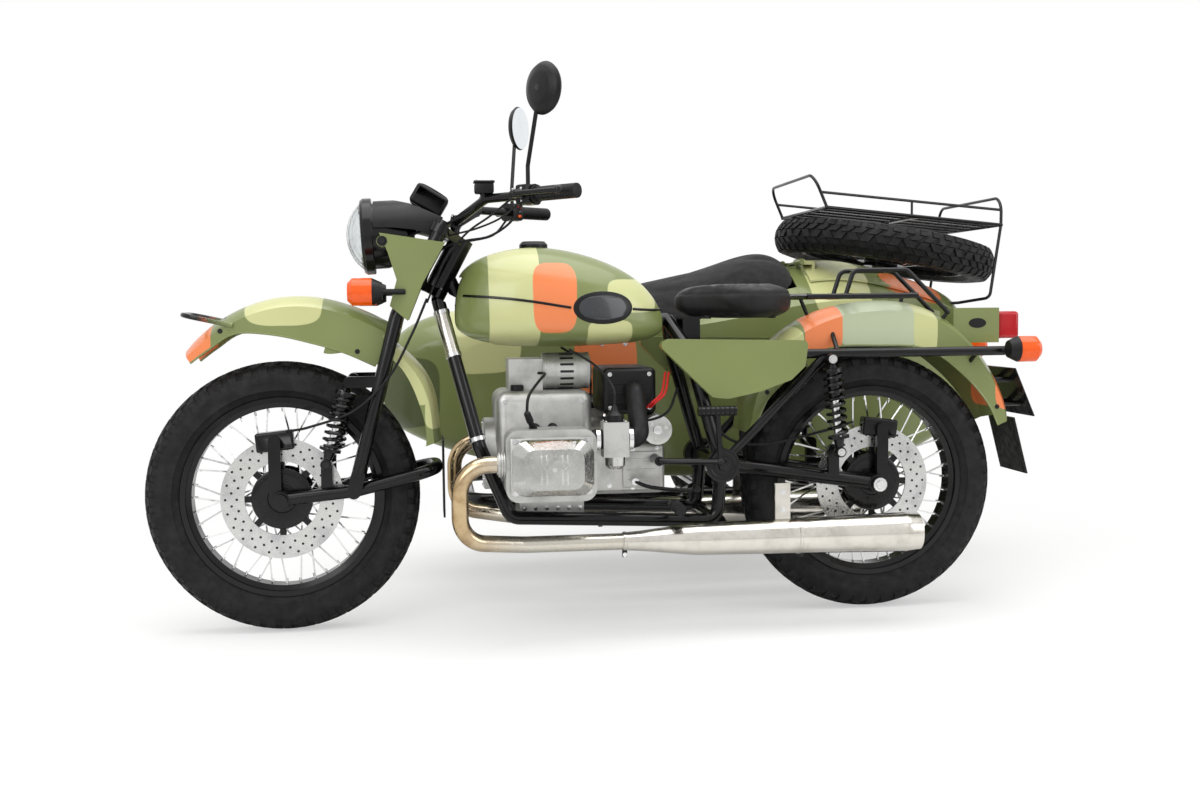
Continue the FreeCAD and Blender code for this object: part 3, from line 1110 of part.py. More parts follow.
def rear_flap():
    """The rubber flap below the rear mudguard, leaning back towards its foot."""
    degrees, radius, depth = REAR_GUARD[-1]
    angle = math.radians(degrees)
    edge = REAR_AXLE + Vector(math.cos(angle), 0, math.sin(angle)) * radius
    top = edge - Vector(FIT_CLEARANCE, 0, FIT_CLEARANCE)
    outline = [(top.x, top.z), (top.x - REAR_FLAP_LEAN, top.z - REAR_FLAP_LENGTH),
               (top.x - REAR_FLAP_LEAN + MUDFLAP_THICKNESS, top.z - REAR_FLAP_LENGTH),
               (top.x + MUDFLAP_THICKNESS, top.z)]
    wide = REAR_GUARD_HALF_WIDTH - GUARD_SHEET
    return side_plate(outline, -wide, wide).cut(guard(REAR_AXLE, REAR_GUARD, REAR_GUARD_HALF_WIDTH, filled=True))


def make_plate_bracket():
    """A blank number plate carrier with two bolt holes."""
    wide = PLATE_WIDTH / 2
    lean = (place(PLATE_TOP) - place(PLATE_FOOT))
    corner = place(PLATE_FOOT, -wide)
    face = Part.Face(Part.makePolygon([corner, corner + Vector(0, PLATE_WIDTH, 0), corner + Vector(0, PLATE_WIDTH, 0) + lean,
                                       corner + lean, corner]))
    normal = lean.normalize().cross(Y_AXIS)
    plate = face.extrude(normal * PLATE_SHEET)
    middle = place(PLATE_FOOT) + (place(PLATE_TOP) - place(PLATE_FOOT)) * 0.5
    for side in SIDES.values():
        spot = middle + Vector(0, side * PLATE_HOLE_SPACING / 2, 0) - normal * OVERRUN
        plate = plate.cut(Part.makeCylinder(PLATE_HOLE_RADIUS, 2 * OVERRUN, spot, normal))
    shapes = [plate]
    for side in SIDES.values():
        for share in (1 / 4, 3 / 4):
            root = place(PLATE_FOOT) + (place(PLATE_TOP) - place(PLATE_FOOT)) * share
            root = root + Vector(0, side * PLATE_HOLE_SPACING / 4, 0)
            shapes.append(rod(root, root + Vector(PLATE_ARM_REACH, 0, 0), SIGNAL_STALK_RADIUS))
    add("plate_bracket", union(shapes).cut(guard(REAR_AXLE, REAR_GUARD, REAR_GUARD_HALF_WIDTH, filled=True)))


def make_carrier():
    """A low tube carrier that stands on the rear mudguard, with a raised loop that slopes down behind."""
    radius = CARRIER_TUBE_RADIUS
    wide = Vector(0, CARRIER_HALF_WIDTH, 0)
    shapes = []
    for side in SIDES.values():
        shapes.append(rod(Vector(CARRIER_FRONT_X, side * wide.y, CARRIER_HEIGHT),
                          Vector(CARRIER_REAR_X, side * wide.y, CARRIER_HEIGHT), radius))
        loop = [place(spot, side * CARRIER_LOOP_HALF_WIDTH) for spot in CARRIER_LOOP]
        shapes.append(bent_bar(loop, radius * 6 / 7, radius * 3))
    bars = (CARRIER_FRONT_X - radius, CARRIER_LOOP[0][0], CARRIER_REAR_X + radius)
    for x_place in bars:
        middle = Vector(x_place, 0, CARRIER_HEIGHT)
        shapes.append(rod(middle - wide, middle + wide, radius * 8 / 7))
    for spot in CARRIER_LOOP[1:3]:
        inward = (CARRIER_LOOP[1][0] + CARRIER_LOOP[2][0]) / 2
        middle = place((spot[0] + (inward - spot[0]) / 3, spot[1]))
        half = Vector(0, CARRIER_LOOP_HALF_WIDTH, 0)
        shapes.append(rod(middle - half, middle + half, radius * 5 / 7))
    tops = [Vector(x_place, 0, CARRIER_HEIGHT) for x_place in (bars[0], bars[-1])]
    tops += [place(CARRIER_LOOP[-1], side * CARRIER_LOOP_HALF_WIDTH) for side in SIDES.values()]
    for top in tops:
        skin = Part.Vertex(top).distToShape(pieces["rear_mudguard"])[1][0][1]
        shapes.append(rod(top, skin + (top - skin).normalize() * FIT_CLEARANCE, radius * 5 / 7))
        shapes.append(Part.makeSphere(radius * 0.95, top))
    add("rear_carrier", shapes[0].multiFuse(shapes[1:]))


def make_engine():
    """Crankcase, cylinders, heads, covers, gearbox, alternator, starter, airbox and carburettors."""
    case = block(Vector(CASE_REAR_X, -CASE_HALF_WIDTH, CASE_BOTTOM), Vector(CASE_FRONT_X, CASE_HALF_WIDTH, CASE_TOP))
    case = case.makeFillet(CASE_EDGE, case.Edges)
    tower = block(Vector(TOWER_REAR_X, -TOWER_HALF_WIDTH, CASE_TOP - CASE_EDGE),
                  Vector(TOWER_FRONT_X, TOWER_HALF_WIDTH, TOWER_TOP))
    crank = place(CRANK_PLACE)
    cover = rod(Vector(CASE_FRONT_X - CASE_EDGE, 0, crank.z), Vector(CASE_FRONT_X + TIMING_COVER_DEPTH, 0, crank.z),
                TIMING_COVER_RADIUS)
    sump = block(Vector(CASE_REAR_X + SUMP_INSET, SUMP_INSET - CASE_HALF_WIDTH, CASE_BOTTOM - SUMP_DEPTH),
                 Vector(CASE_FRONT_X - SUMP_FRONT_INSET, CASE_HALF_WIDTH - SUMP_INSET, CASE_BOTTOM + CASE_EDGE))
    lug = Vector(0, FRAME_HALF_WIDTH - FRAME_TUBE_RADIUS - FIT_CLEARANCE, 0)
    lug_centre = place(ENGINE_LUG_PLACE)
    lugs = rod(lug_centre - lug, lug_centre + lug, ENGINE_LUG_RADIUS)
    add("engine_case", union([case, tower, cover, sump, lugs]))
    pairs = [make_cylinder(side) for side in SIDES.values()]
    for name, shapes in zip(("cylinders", "rocker_covers", "carburettors"), zip(*pairs)):
        add(name, Part.makeCompound(list(shapes)))
    gearbox = block(Vector(GEARBOX_REAR_X, -GEARBOX_HALF_WIDTH, GEARBOX_BOTTOM),
                    Vector(CASE_REAR_X - FIT_CLEARANCE, GEARBOX_HALF_WIDTH, GEARBOX_TOP))
    bell = turned([(0, 0), (BELL_RADIUS, 0), (BELL_RADIUS, BELL_LENGTH), (GEARBOX_HALF_WIDTH, BELL_LENGTH * 2),
                   (0, BELL_LENGTH * 2)], Vector(CASE_REAR_X - FIT_CLEARANCE, 0, crank.z), -X_AXIS)
    add("gearbox", union([gearbox.makeFillet(CASE_EDGE / 2, gearbox.Edges), bell]))
    centre = Vector(TOWER_REAR_X - FIT_CLEARANCE, ALTERNATOR_SIDE, CASE_TOP + ALTERNATOR_RADIUS + FIT_CLEARANCE)
    alternator = rod(centre, centre - Vector(ALTERNATOR_LENGTH, 0, 0), ALTERNATOR_RADIUS)
    starter_height = GEARBOX_TOP + STARTER_RADIUS + FIT_CLEARANCE
    starter = rod(Vector(STARTER_X, STARTER_START, starter_height),
                  Vector(STARTER_X, STARTER_END, starter_height), STARTER_RADIUS)
    add("alternator_and_starter", Part.makeCompound([alternator, starter]))
    airbox = block(Vector(AIRBOX_REAR, -AIRBOX_HALF_WIDTH, AIRBOX_BOTTOM), Vector(AIRBOX_FRONT, AIRBOX_HALF_WIDTH, AIRBOX_TOP))
    add("airbox", airbox.makeFillet(AIRBOX_EDGE, airbox.Edges))


def make_cylinder(side):
    """One finned barrel with its head, the rocker cover, the carburettor and its hose."""
    def out(distance):
        return Vector(CRANK_PLACE[0], side * distance, CRANK_PLACE[1])
    barrel = [rod(out(BARREL_ROOT), out(BARREL_ROOT + BARREL_LENGTH), BARREL_RADIUS)]
    pitch = BARREL_LENGTH / BARREL_FINS
    for number in range(BARREL_FINS):
        start = BARREL_ROOT + pitch * (number + 1 / 2)
        barrel.append(rod(out(start), out(start + FIN_THICKNESS), BARREL_FIN_RADIUS))
    long, tall = HEAD_SIZE
    root = BARREL_ROOT + BARREL_LENGTH

    def slab(low, high, length, height, edge):
        centre = out(low)
        box = Part.makeBox(length, abs(high - low), height,
                           Vector(centre.x - length / 2, min(side * low, side * high), centre.z - height / 2))
        upright = [line for line in box.Edges if abs(line.Vertexes[0].Y - line.Vertexes[1].Y) > FIN_THICKNESS]
        return box.makeFillet(edge, upright)
    head = [slab(root, root + HEAD_LENGTH, long * 0.8, tall * 0.8, HEAD_EDGE)]
    pitch = HEAD_LENGTH / HEAD_FINS
    for number in range(HEAD_FINS):
        start = root + pitch * number
        head.append(slab(start, start + FIN_THICKNESS * 2, long, tall, HEAD_EDGE))
    root += HEAD_LENGTH + FIT_CLEARANCE
    long, tall = ROCKER_SIZE
    sections = []
    for distance, share in ((0, 1), (ROCKER_LENGTH / 2, 1), (ROCKER_LENGTH, ROCKER_WAIST_SHARE)):
        sections.append(rounded_rectangle(out(root + distance), long * share, tall * share, ROCKER_EDGE * share))
    cover = Part.makeLoft(sections, True, True)
    deep, wide, high = CARB_SIZE
    centre = place(CARB_PLACE, side * CARB_HALF_WIDTH)
    carb = block(centre - Vector(deep / 2, wide / 2, high / 2), centre + Vector(deep / 2, wide / 2, high / 2))
    bend = Vector(centre.x - deep, centre.y, centre.z)
    up = Vector(bend.x, side * AIRBOX_HALF_WIDTH * 1.4, (AIRBOX_BOTTOM + AIRBOX_TOP) / 2)
    inlet = Vector(up.x, side * (AIRBOX_HALF_WIDTH + FIT_CLEARANCE), up.z)
    hose = bent_bar([centre, bend, up, inlet], HOSE_RADIUS, HOSE_RADIUS)
    port = Vector(CRANK_PLACE[0] - HEAD_SIZE[0] / 2 - FIT_CLEARANCE, centre.y, centre.z)
    return union(barrel + head), cover, union([carb, hose, rod(centre, port, HOSE_RADIUS)])


def rounded_rectangle(centre, length, height, edge):
    """A rounded rectangle across Y as a closed wire."""
    half_long = length / 2
    half_tall = height / 2
    slant = edge * (1 - math.sqrt(1 / 2))
    edges = []
    for along, upward in ((1, 1), (-1, 1), (-1, -1), (1, -1)):
        vertical_first = along == upward
        near = Vector(along * half_long, 0, upward * (half_tall - edge))
        far = Vector(along * (half_long - edge), 0, upward * half_tall)
        middle = Vector(along * (half_long - slant), 0, upward * (half_tall - slant))
        start, end = (near, far) if vertical_first else (far, near)
        edges.append((centre + start, centre + middle, centre + end))
    wire = []
    for number, (start, middle, end) in enumerate(edges):
        wire.append(Part.Arc(start, middle, end).toShape())
        wire.append(Part.LineSegment(end, edges[(number + 1) % len(edges)][0]).toShape())
    return Part.Wire(wire)


def make_exhaust():
    """A header pipe and a muffler on each side."""
    headers, mufflers = [], []
    for side in SIDES.values():
        route = [Vector(x_place, side * y_place, z_place) for x_place, y_place, z_place in HEADER_ROUTE]
        start = Vector(CRANK_PLACE[0] + HEAD_SIZE[0] / 2 + FIT_CLEARANCE, side * PORT_HALF_WIDTH, PORT_HEIGHT)
        end = Vector(MUFFLER_FRONT_X + FIT_CLEARANCE, side * MUFFLER_HALF_WIDTH, MUFFLER_HEIGHT)
        headers.append(bent_bar([start] + route + [end], HEADER_RADIUS, HEADER_BEND_RADIUS))
        length = MUFFLER_FRONT_X - MUFFLER_REAR_X
        front = Vector(MUFFLER_FRONT_X, side * MUFFLER_HALF_WIDTH, MUFFLER_HEIGHT)
        profile = [(0, 0)] + [(MUFFLER_RADIUS * wide, length * along) for along, wide in MUFFLER_PROFILE_SHARES]
        profile += [(0, length)]
        body = turned(profile, front, -X_AXIS)
        bore = rod(front - Vector(length + OVERRUN, 0, 0), front - Vector(length - MUFFLER_SLANT * 2, 0, 0), MUFFLER_BORE)
        hanger_wide, hanger_thick = HANGER_SIZE
        tab = block(Vector(HANGER_X, side * MUFFLER_HALF_WIDTH - hanger_thick / 2, MUFFLER_HEIGHT),
                    Vector(HANGER_X + hanger_wide, side * MUFFLER_HALF_WIDTH + hanger_thick / 2, HANGER_TOP))
        mufflers.append(union([body.cut(bore), tab]))
    add("exhaust_headers", Part.makeCompound(headers))
    add("mufflers", Part.makeCompound(mufflers))


def make_tank():
    """The fuel tank as a loft of rounded sections, with its tunnel and filler cap."""
    wires = []
    for share, half_width, bottom, top in TANK_STATIONS:
        x_place = TANK_FRONT_X + (TANK_REAR_X - TANK_FRONT_X) * share
        middle = bottom + (top - bottom) * 0.36
        points = [(0, top), (half_width * 0.56, top - (top - bottom) * 0.06),
                  (half_width * 0.9, top - (top - bottom) * 0.3), (half_width, middle),
                  (half_width * 0.92, bottom + (top - bottom) * 0.1), (half_width * 0.62, bottom)]
        ring = [Vector(x_place, side, height) for side, height in points]
        ring += [Vector(x_place, -side, height) for side, height in reversed(points[1:])]
        curve = Part.BSplineCurve()
        curve.interpolate(ring, PeriodicFlag=True)
        wires.append(Part.Wire(curve.toShape()))
    body = Part.makeLoft(wires, True)
    half = TANK_TUNNEL_WIDTH / 2
    tunnel = block(Vector(TANK_REAR_X - OVERRUN, -half, TANK_STATIONS[1][2] - OVERRUN * 2),
                   Vector(TANK_FRONT_X + OVERRUN, half, BACKBONE_HEIGHT + FRAME_TUBE_RADIUS + FIT_CLEARANCE))
    neck_x, neck_half, neck_top = TANK_NECK_SPACE
    tunnel = tunnel.fuse(block(Vector(neck_x, -neck_half, TANK_STATIONS[1][2] - OVERRUN * 2),
                               Vector(TANK_FRONT_X + OVERRUN, neck_half, neck_top)))
    clearance = Part.makeCylinder(HEAD_TUBE_RADIUS + RUNNING_CLEARANCE * 2, HEAD_TUBE_LENGTH * 3,
                                  Vector(0, 0, -HEAD_TUBE_LENGTH))
    body = body.cut(tunnel).cut(head_frame(clearance))
    for side in SIDES.values():
        start = place(DOWNTUBE_TOP, side * DOWNTUBE_TOP_HALF_WIDTH)
        body = body.cut(rod(start, place(DOWNTUBE_MIDDLE, side * FRAME_HALF_WIDTH), FRAME_TUBE_RADIUS + RUNNING_CLEARANCE))
    base = place(TANK_CAP_PLACE)
    cap = turned([(0, -TANK_CAP_HEIGHT), (TANK_CAP_RADIUS, -TANK_CAP_HEIGHT), (TANK_CAP_RADIUS, TANK_CAP_HEIGHT * 0.6),
                  (TANK_CAP_RADIUS * 0.8, TANK_CAP_HEIGHT), (0, TANK_CAP_HEIGHT)], base, Z_AXIS)
    add("fuel_tank", body)
    add("fuel_cap", cap.cut(body))


def make_saddle():
    """The rider's saddle and the side panels."""
    rear_centre = SADDLE_REAR_X + SADDLE_HALF_WIDTH
    outline = []
    nose = SADDLE_NOSE_HALF_WIDTH
    low = SADDLE_BOTTOM
    front = SADDLE_FRONT_X
    start = Vector(front - nose, nose, low)
    edges = [Part.Arc(Vector(front - nose, -nose, low), Vector(front, 0, low), start).toShape()]
    flare = Vector(rear_centre, SADDLE_HALF_WIDTH, low)
    edges.append(Part.LineSegment(start, flare).toShape())
    edges.append(Part.Arc(flare, Vector(SADDLE_REAR_X, 0, low), Vector(rear_centre, -SADDLE_HALF_WIDTH, low)).toShape())
    edges.append(Part.LineSegment(Vector(rear_centre, -SADDLE_HALF_WIDTH, low), Vector(front - nose, -nose, low)).toShape())
    pad = Part.Face(Part.Wire(edges)).extrude(Vector(0, 0, SADDLE_THICKNESS))
    add("saddle", pad.makeFillet(SADDLE_EDGE, pad.Edges))
    inner = FRAME_HALF_WIDTH + FRAME_TUBE_RADIUS + FIT_CLEARANCE
    panels = []
    for side in SIDES.values():
        panel = side_plate(PANEL_OUTLINE, side * inner, side * PANEL_HALF_WIDTH)
        across = [line for line in panel.Edges if abs(line.Vertexes[0].Y - line.Vertexes[1].Y) > PANEL_CORNER]
        panels.append(panel.makeFillet(PANEL_CORNER, across))
    add("side_panels", Part.makeCompound(panels))


def make_controls():
    """Kick starter and footpegs."""
    pedal = place(KICK_PEDAL, KICK_PEDAL_SIDE)
    gearbox_end = Vector(GEARBOX_REAR_X + CASE_EDGE, GEARBOX_HALF_WIDTH + FIT_CLEARANCE, KICK_SHAFT[1])
    knuckle = Vector(gearbox_end.x, KICK_SIDE, gearbox_end.z)
    heel = place(KICK_SHAFT, KICK_PEDAL_SIDE)
    lever = union([rod(gearbox_end, knuckle, KICK_LEVER_RADIUS * 3 / 2), rod(knuckle, heel, KICK_LEVER_RADIUS),
                   Part.makeSphere(KICK_LEVER_RADIUS * 5 / 4, heel), rod(heel, pedal, KICK_LEVER_RADIUS * 7 / 8),
                   rod(pedal - Vector(KICK_RUBBER_LENGTH / 2, 0, 0), pedal + Vector(KICK_RUBBER_LENGTH / 2, 0, 0),
                       KICK_RUBBER_RADIUS)])
    pegs = [lever]
    for side in SIDES.values():
        outer = place(PEG_PLACE, side * PEG_HALF_WIDTH)
        inner = place(PEG_PLACE, side * (FRAME_HALF_WIDTH + FRAME_TUBE_RADIUS + FIT_CLEARANCE))
        pegs.append(union([rod(outer, outer - Vector(0, side * PEG_LENGTH, 0), PEG_RADIUS),
                           rod(inner, outer, PEG_RADIUS / 2)]))
    add("foot_controls", Part.makeCompound(pegs))


def make_stand():
    """The centre stand, stowed: two legs from a pivot tube, each ending in a rocker foot."""
    pivot = place(STAND_PIVOT)
    angle = math.radians(STAND_STOWED_DEGREES)
    down = Vector(-math.sin(angle), 0, -math.cos(angle))
    half = Vector(0, STAND_HALF_WIDTH, 0)
    shapes = [tube(pivot - half, pivot + half, STAND_TUBE_RADIUS * 3 / 2, HINGE_PIN_RADIUS * 2 + FIT_CLEARANCE)]
    for side in SIDES.values():
        root = pivot + half * side
        foot = root + down * (STAND_LENGTH - STAND_TUBE_RADIUS)
        start = root + down * (STAND_TUBE_RADIUS * 5 / 4)
        across = down.cross(Y_AXIS).normalize() * (STAND_FOOT_LENGTH / 2)
        shapes.append(rod(start, foot, STAND_TUBE_RADIUS))
        shapes.append(rod(foot - across, foot + across, STAND_TUBE_RADIUS))
    add("centre_stand", union(shapes))


def stand_mount():
    """The stand's pin and the lugs that hold it under the lower frame rails."""
    pivot = place(STAND_PIVOT)
    lug = Vector(0, STAND_HALF_WIDTH + FIT_CLEARANCE, 0)
    wide = Vector(0, FRAME_HALF_WIDTH, 0)
    shapes = [rod(pivot - wide, pivot + wide, HINGE_PIN_RADIUS * 2)]
    for side in SIDES.values():
        shapes.append(strap(STAND_PIVOT, (STAND_PIVOT[0] + OVERRUN, LOWER_RAIL_REAR[1]), STAND_TUBE_RADIUS * 5 / 4,
                            side * lug.y, side * (FRAME_HALF_WIDTH + HINGE_PIN_RADIUS)))
    return shapes


def make_bike():
    """The motorcycle's fixed pieces."""
    make_frame()
    make_rear()
    make_engine()
    make_exhaust()
    make_tank()
    make_saddle()
    make_controls()
    make_stand()


def body_solid(shrink):
    """The sidecar body's loft, with every section drawn in by a wall thickness."""
    wires = []
    last = len(BODY_STATIONS) - 1
    for number, (x_place, half_width, bottom, shoulder, crown) in enumerate(BODY_STATIONS):
        shift = shrink if number == 0 else -shrink if number == last else 0
        wires.append(rounded_section(x_place + shift * 2, -BODY_CENTRE, half_width - shrink, bottom + shrink,
                                     shoulder - shrink / 2, crown - shrink, BODY_CORNER - shrink))
    return Part.makeLoft(wires, True)


def make_sidecar_body():
    """Hollow body with a cockpit and a trunk opening, its lid, and the fabric cover."""
    outer = body_solid(0)
    tunnel_reach = Vector(0, BODY_STATIONS[4][1] * 2, 0)
    centre = Vector(SIDECAR_AXLE.x, -BODY_CENTRE, TYRE_RADIUS)
    slot_low = Vector(centre.x - DRIVE_TUNNEL_RADIUS, centre.y - tunnel_reach.y, 0)
    slot_high = Vector(centre.x + DRIVE_TUNNEL_RADIUS, centre.y + tunnel_reach.y, TYRE_RADIUS)
    wall = Vector(BODY_SHEET, 0, 0)
    tunnel = rod(centre - tunnel_reach, centre + tunnel_reach, DRIVE_TUNNEL_RADIUS).fuse(block(slot_low, slot_high))
    cover = rod(centre - tunnel_reach, centre + tunnel_reach, DRIVE_TUNNEL_RADIUS + BODY_SHEET)
    cover = cover.fuse(block(slot_low - wall, slot_high + wall))
    shell = outer.cut(tunnel).cut(body_solid(BODY_SHEET).cut(cover))
    cockpit = block(Vector(COCKPIT_REAR_X, -BODY_CENTRE - COCKPIT_HALF_WIDTH, COCKPIT_FLOOR_CUT),
                    Vector(COCKPIT_FRONT_X, COCKPIT_HALF_WIDTH - BODY_CENTRE, COCKPIT_FLOOR_CUT * 2))
    trunk = block(Vector(TRUNK_REAR_X, -BODY_CENTRE - TRUNK_HALF_WIDTH, TRUNK_FLOOR_CUT),
                  Vector(TRUNK_FRONT_X, TRUNK_HALF_WIDTH - BODY_CENTRE, TRUNK_FLOOR_CUT * 2))
    shell = shell.cut(cockpit).cut(trunk)
    lid_space = block(Vector(TRUNK_REAR_X - LID_OVERLAP, -BODY_CENTRE - TRUNK_HALF_WIDTH - LID_OVERLAP, TRUNK_FLOOR_CUT),
                      Vector(TRUNK_FRONT_X + LID_OVERLAP, TRUNK_HALF_WIDTH + LID_OVERLAP - BODY_CENTRE,
                             TRUNK_FLOOR_CUT * 2))
    upper = outer.translated(Vector(0, 0, RUNNING_CLEARANCE + LID_THICKNESS)).common(lid_space)
    lid = upper.cut(outer.translated(Vector(0, 0, RUNNING_CLEARANCE)))
    pin_centre = place(HINGE_PLACE, -BODY_CENTRE)
    shell_extras, lid_extras = [], []
    for side in SIDES.values():
        centre = pin_centre + Vector(0, side * HINGE_SPACING / 2, 0)
        half = Vector(0, HINGE_LENGTH / 2, 0)
        shell_extras.append(rod(centre - half, centre + half, HINGE_PIN_RADIUS))
        for end in SIDES.values():
            ear = centre + half * end
            ear_out = ear + Vector(0, end * HINGE_PIN_RADIUS * 3 / 2, 0)
            shell_extras.append(rod(ear, ear_out, HINGE_KNUCKLE_RADIUS))
            root = Vector(ear.x, (ear.y + ear_out.y) / 2, ear.z)
            shell_extras.append(rod(root, root - Vector(0, 0, HINGE_DROP), HINGE_PIN_RADIUS * 3 / 5))
        inner = Vector(0, HINGE_LENGTH / 2 - FIT_CLEARANCE, 0)
        knuckle = rod(centre - inner, centre + inner, HINGE_KNUCKLE_RADIUS)
        arm = block(centre - inner - Vector(HINGE_KNUCKLE_RADIUS * 4, 0, HINGE_KNUCKLE_RADIUS),
                    centre + inner + Vector(0, 0, HINGE_KNUCKLE_RADIUS / 3))
        rear, front, low = HINGE_BLOCK
        arm = arm.fuse(block(centre - inner + Vector(rear, 0, low), centre + inner + Vector(front, 0, 0)))
        lid_extras.append(knuckle.fuse(arm).cut(rod(centre - half, centre + half, HINGE_PIN_RADIUS + FIT_CLEARANCE)))
    add("sidecar_body", union([shell] + shell_extras))
    add("trunk_lid", union([lid] + lid_extras))
    make_tonneau()


def make_tonneau():
    """The fabric cover: a domed sheet stretched from rim to rim over the cockpit."""
    def dome(x_place, half_width, foot, crown):
        def at(side, height):
            return Vector(x_place, side - BODY_CENTRE, height)
        thin = TONNEAU_THICKNESS
        inside = half_width - thin
        return Part.Wire([
            Part.Arc(at(half_width, foot), at(0, crown), at(-half_width, foot)).toShape(),
            Part.LineSegment(at(-half_width, foot), at(-inside, foot)).toShape(),
            Part.Arc(at(-inside, foot), at(0, crown - thin), at(inside, foot)).toShape(),
            Part.LineSegment(at(inside, foot), at(half_width, foot)).toShape()])
    cover = Part.makeLoft([dome(*station) for station in TONNEAU_STATIONS], True)
    add("tonneau_cover", cover.cut(body_solid(0)))


def make_spare_and_rack():
    """Spare wheel on its post, and the luggage rack over it, all carried by the lid."""
    centre = place(SPARE_CENTRE, -BODY_CENTRE)
    for name, shape in (("spare_tyre", tyre()), ("spare_wheel_rim", laced_wheel())):
        moved = shape.copy()
        moved.rotate(Vector(), X_AXIS, FULL_TURN / 4)
        moved.rotate(Vector(), Y_AXIS, -SPARE_TILT_DEGREES)
        add(name, moved.translated(centre))
    tilt = math.radians(SPARE_TILT_DEGREES)
    down = Vector(math.sin(tilt), 0, -math.cos(tilt))
    seat = HUB_WIDTH / 2 + FIT_CLEARANCE
    post = rod(centre + down * seat, centre + down * (seat + OVERRUN * 3 / 2), SPARE_POST_RADIUS)
    stud = rod(centre + down * (seat + OVERRUN / 2), centre - down * (HUB_WIDTH / 2 + OVERRUN), AXLE_RADIUS)
    nut = rod(centre - down * seat, centre - down * (HUB_WIDTH / 2 + AXLE_HEAD_LENGTH), AXLE_HEAD_RADIUS)
    pieces["trunk_lid"] = union([pieces["trunk_lid"], post, nut, stud])
    make_rack()


def make_rack():
    """A rod rack: floor frame with slats, side rails, a hoop at each end and legs to the lid."""
    def at(x_place, side, rise):
        share = (RACK_FRONT_X - x_place) / (RACK_FRONT_X - RACK_REAR_X)
        height = RACK_FRONT_HEIGHT + (RACK_REAR_HEIGHT - RACK_FRONT_HEIGHT) * share
        return Vector(x_place, side - BODY_CENTRE, height + rise)
    wide = RACK_HALF_WIDTH
    corners = [at(RACK_FRONT_X, wide, 0), at(RACK_REAR_X, wide, 0), at(RACK_REAR_X, -wide, 0),
               at(RACK_FRONT_X, -wide, 0)]
    shapes = [rod(start, end, RACK_ROD_RADIUS) for start, end in zip(corners, corners[1:] + corners[:1])]
    shapes += [Part.makeSphere(RACK_KNOB_RADIUS, corner) for corner in corners]
    for x_place, (hoop_x, hoop_height) in ((RACK_FRONT_X, RACK_FRONT_HOOP), (RACK_REAR_X, RACK_REAR_HOOP)):
        hoop = [at(x_place, wide, 0), Vector(hoop_x, wide - BODY_CENTRE, hoop_height),
                Vector(hoop_x, -wide - BODY_CENTRE, hoop_height), at(x_place, -wide, 0)]
        shapes.append(bent_bar(hoop, RACK_LEG_RADIUS, RACK_HOOP_BEND))
    for number in range(1, RACK_SLATS + 1):
        side = -wide + 2 * wide * number / (RACK_SLATS + 1)
        shapes.append(rod(at(RACK_FRONT_X, side, 0), at(RACK_REAR_X, side, 0), RACK_SLAT_RADIUS))
    rail = {}
    for x_place, (hoop_x, hoop_height) in ((RACK_FRONT_X, RACK_FRONT_HOOP), (RACK_REAR_X, RACK_REAR_HOOP)):
        base = at(x_place, wide, 0)
        share = RACK_RAIL_RISE / (hoop_height - base.z)
        rail[x_place] = Vector(base.x + (hoop_x - base.x) * share, wide, base.z + RACK_RAIL_RISE)
    for side in SIDES.values():
        front, rear = [Vector(spot.x, side * spot.y - BODY_CENTRE, spot.z) for spot in rail.values()]
        shapes.append(rod(front, rear, RACK_SLAT_RADIUS))
        middle = (front + rear) * (1 / 2)
        shapes.append(rod(at(middle.x, side * wide, 0), middle, RACK_SLAT_RADIUS * 7 / 8))
    heel_x, heel_side, heel_height = RACK_LEG_HEEL
    foot_x, foot_side, foot_height = RACK_LEG_FOOT
    for side in SIDES.values():
        top = at(RACK_REAR_X, side * wide, 0)
        knee = Vector(RACK_LEG_KNEE[0], top.y, RACK_LEG_KNEE[1])
        heel = Vector(heel_x, side * heel_side - BODY_CENTRE, heel_height)
        foot = Vector(foot_x, side * foot_side - BODY_CENTRE, foot_height)
        inside = foot - Vector(0, 0, OVERRUN)
        shapes.append(bent_bar([top, knee, heel, inside], RACK_LEG_RADIUS, OVERRUN))
    tilt = math.radians(SPARE_TILT_DEGREES)
    upward = Vector(-math.sin(tilt), 0, math.cos(tilt))
    base = place(SPARE_CENTRE, -BODY_CENTRE) + upward * (HUB_WIDTH / 2 + OVERRUN + FIT_CLEARANCE)
    head = at(base.x, 0, 0)
    shapes.append(rod(base, head, RACK_POST_RADIUS))
    plate = at(base.x, 0, -RACK_SLAT_RADIUS / 2)
    bar = Vector(RACK_SLAT_BAR / 2, wide, RACK_ROD_RADIUS)
    shapes.append(block(plate - bar, plate + Vector(RACK_SLAT_BAR / 2, wide, 0)))
    add("luggage_rack", biggest(union(shapes).cut(pieces["trunk_lid"])))


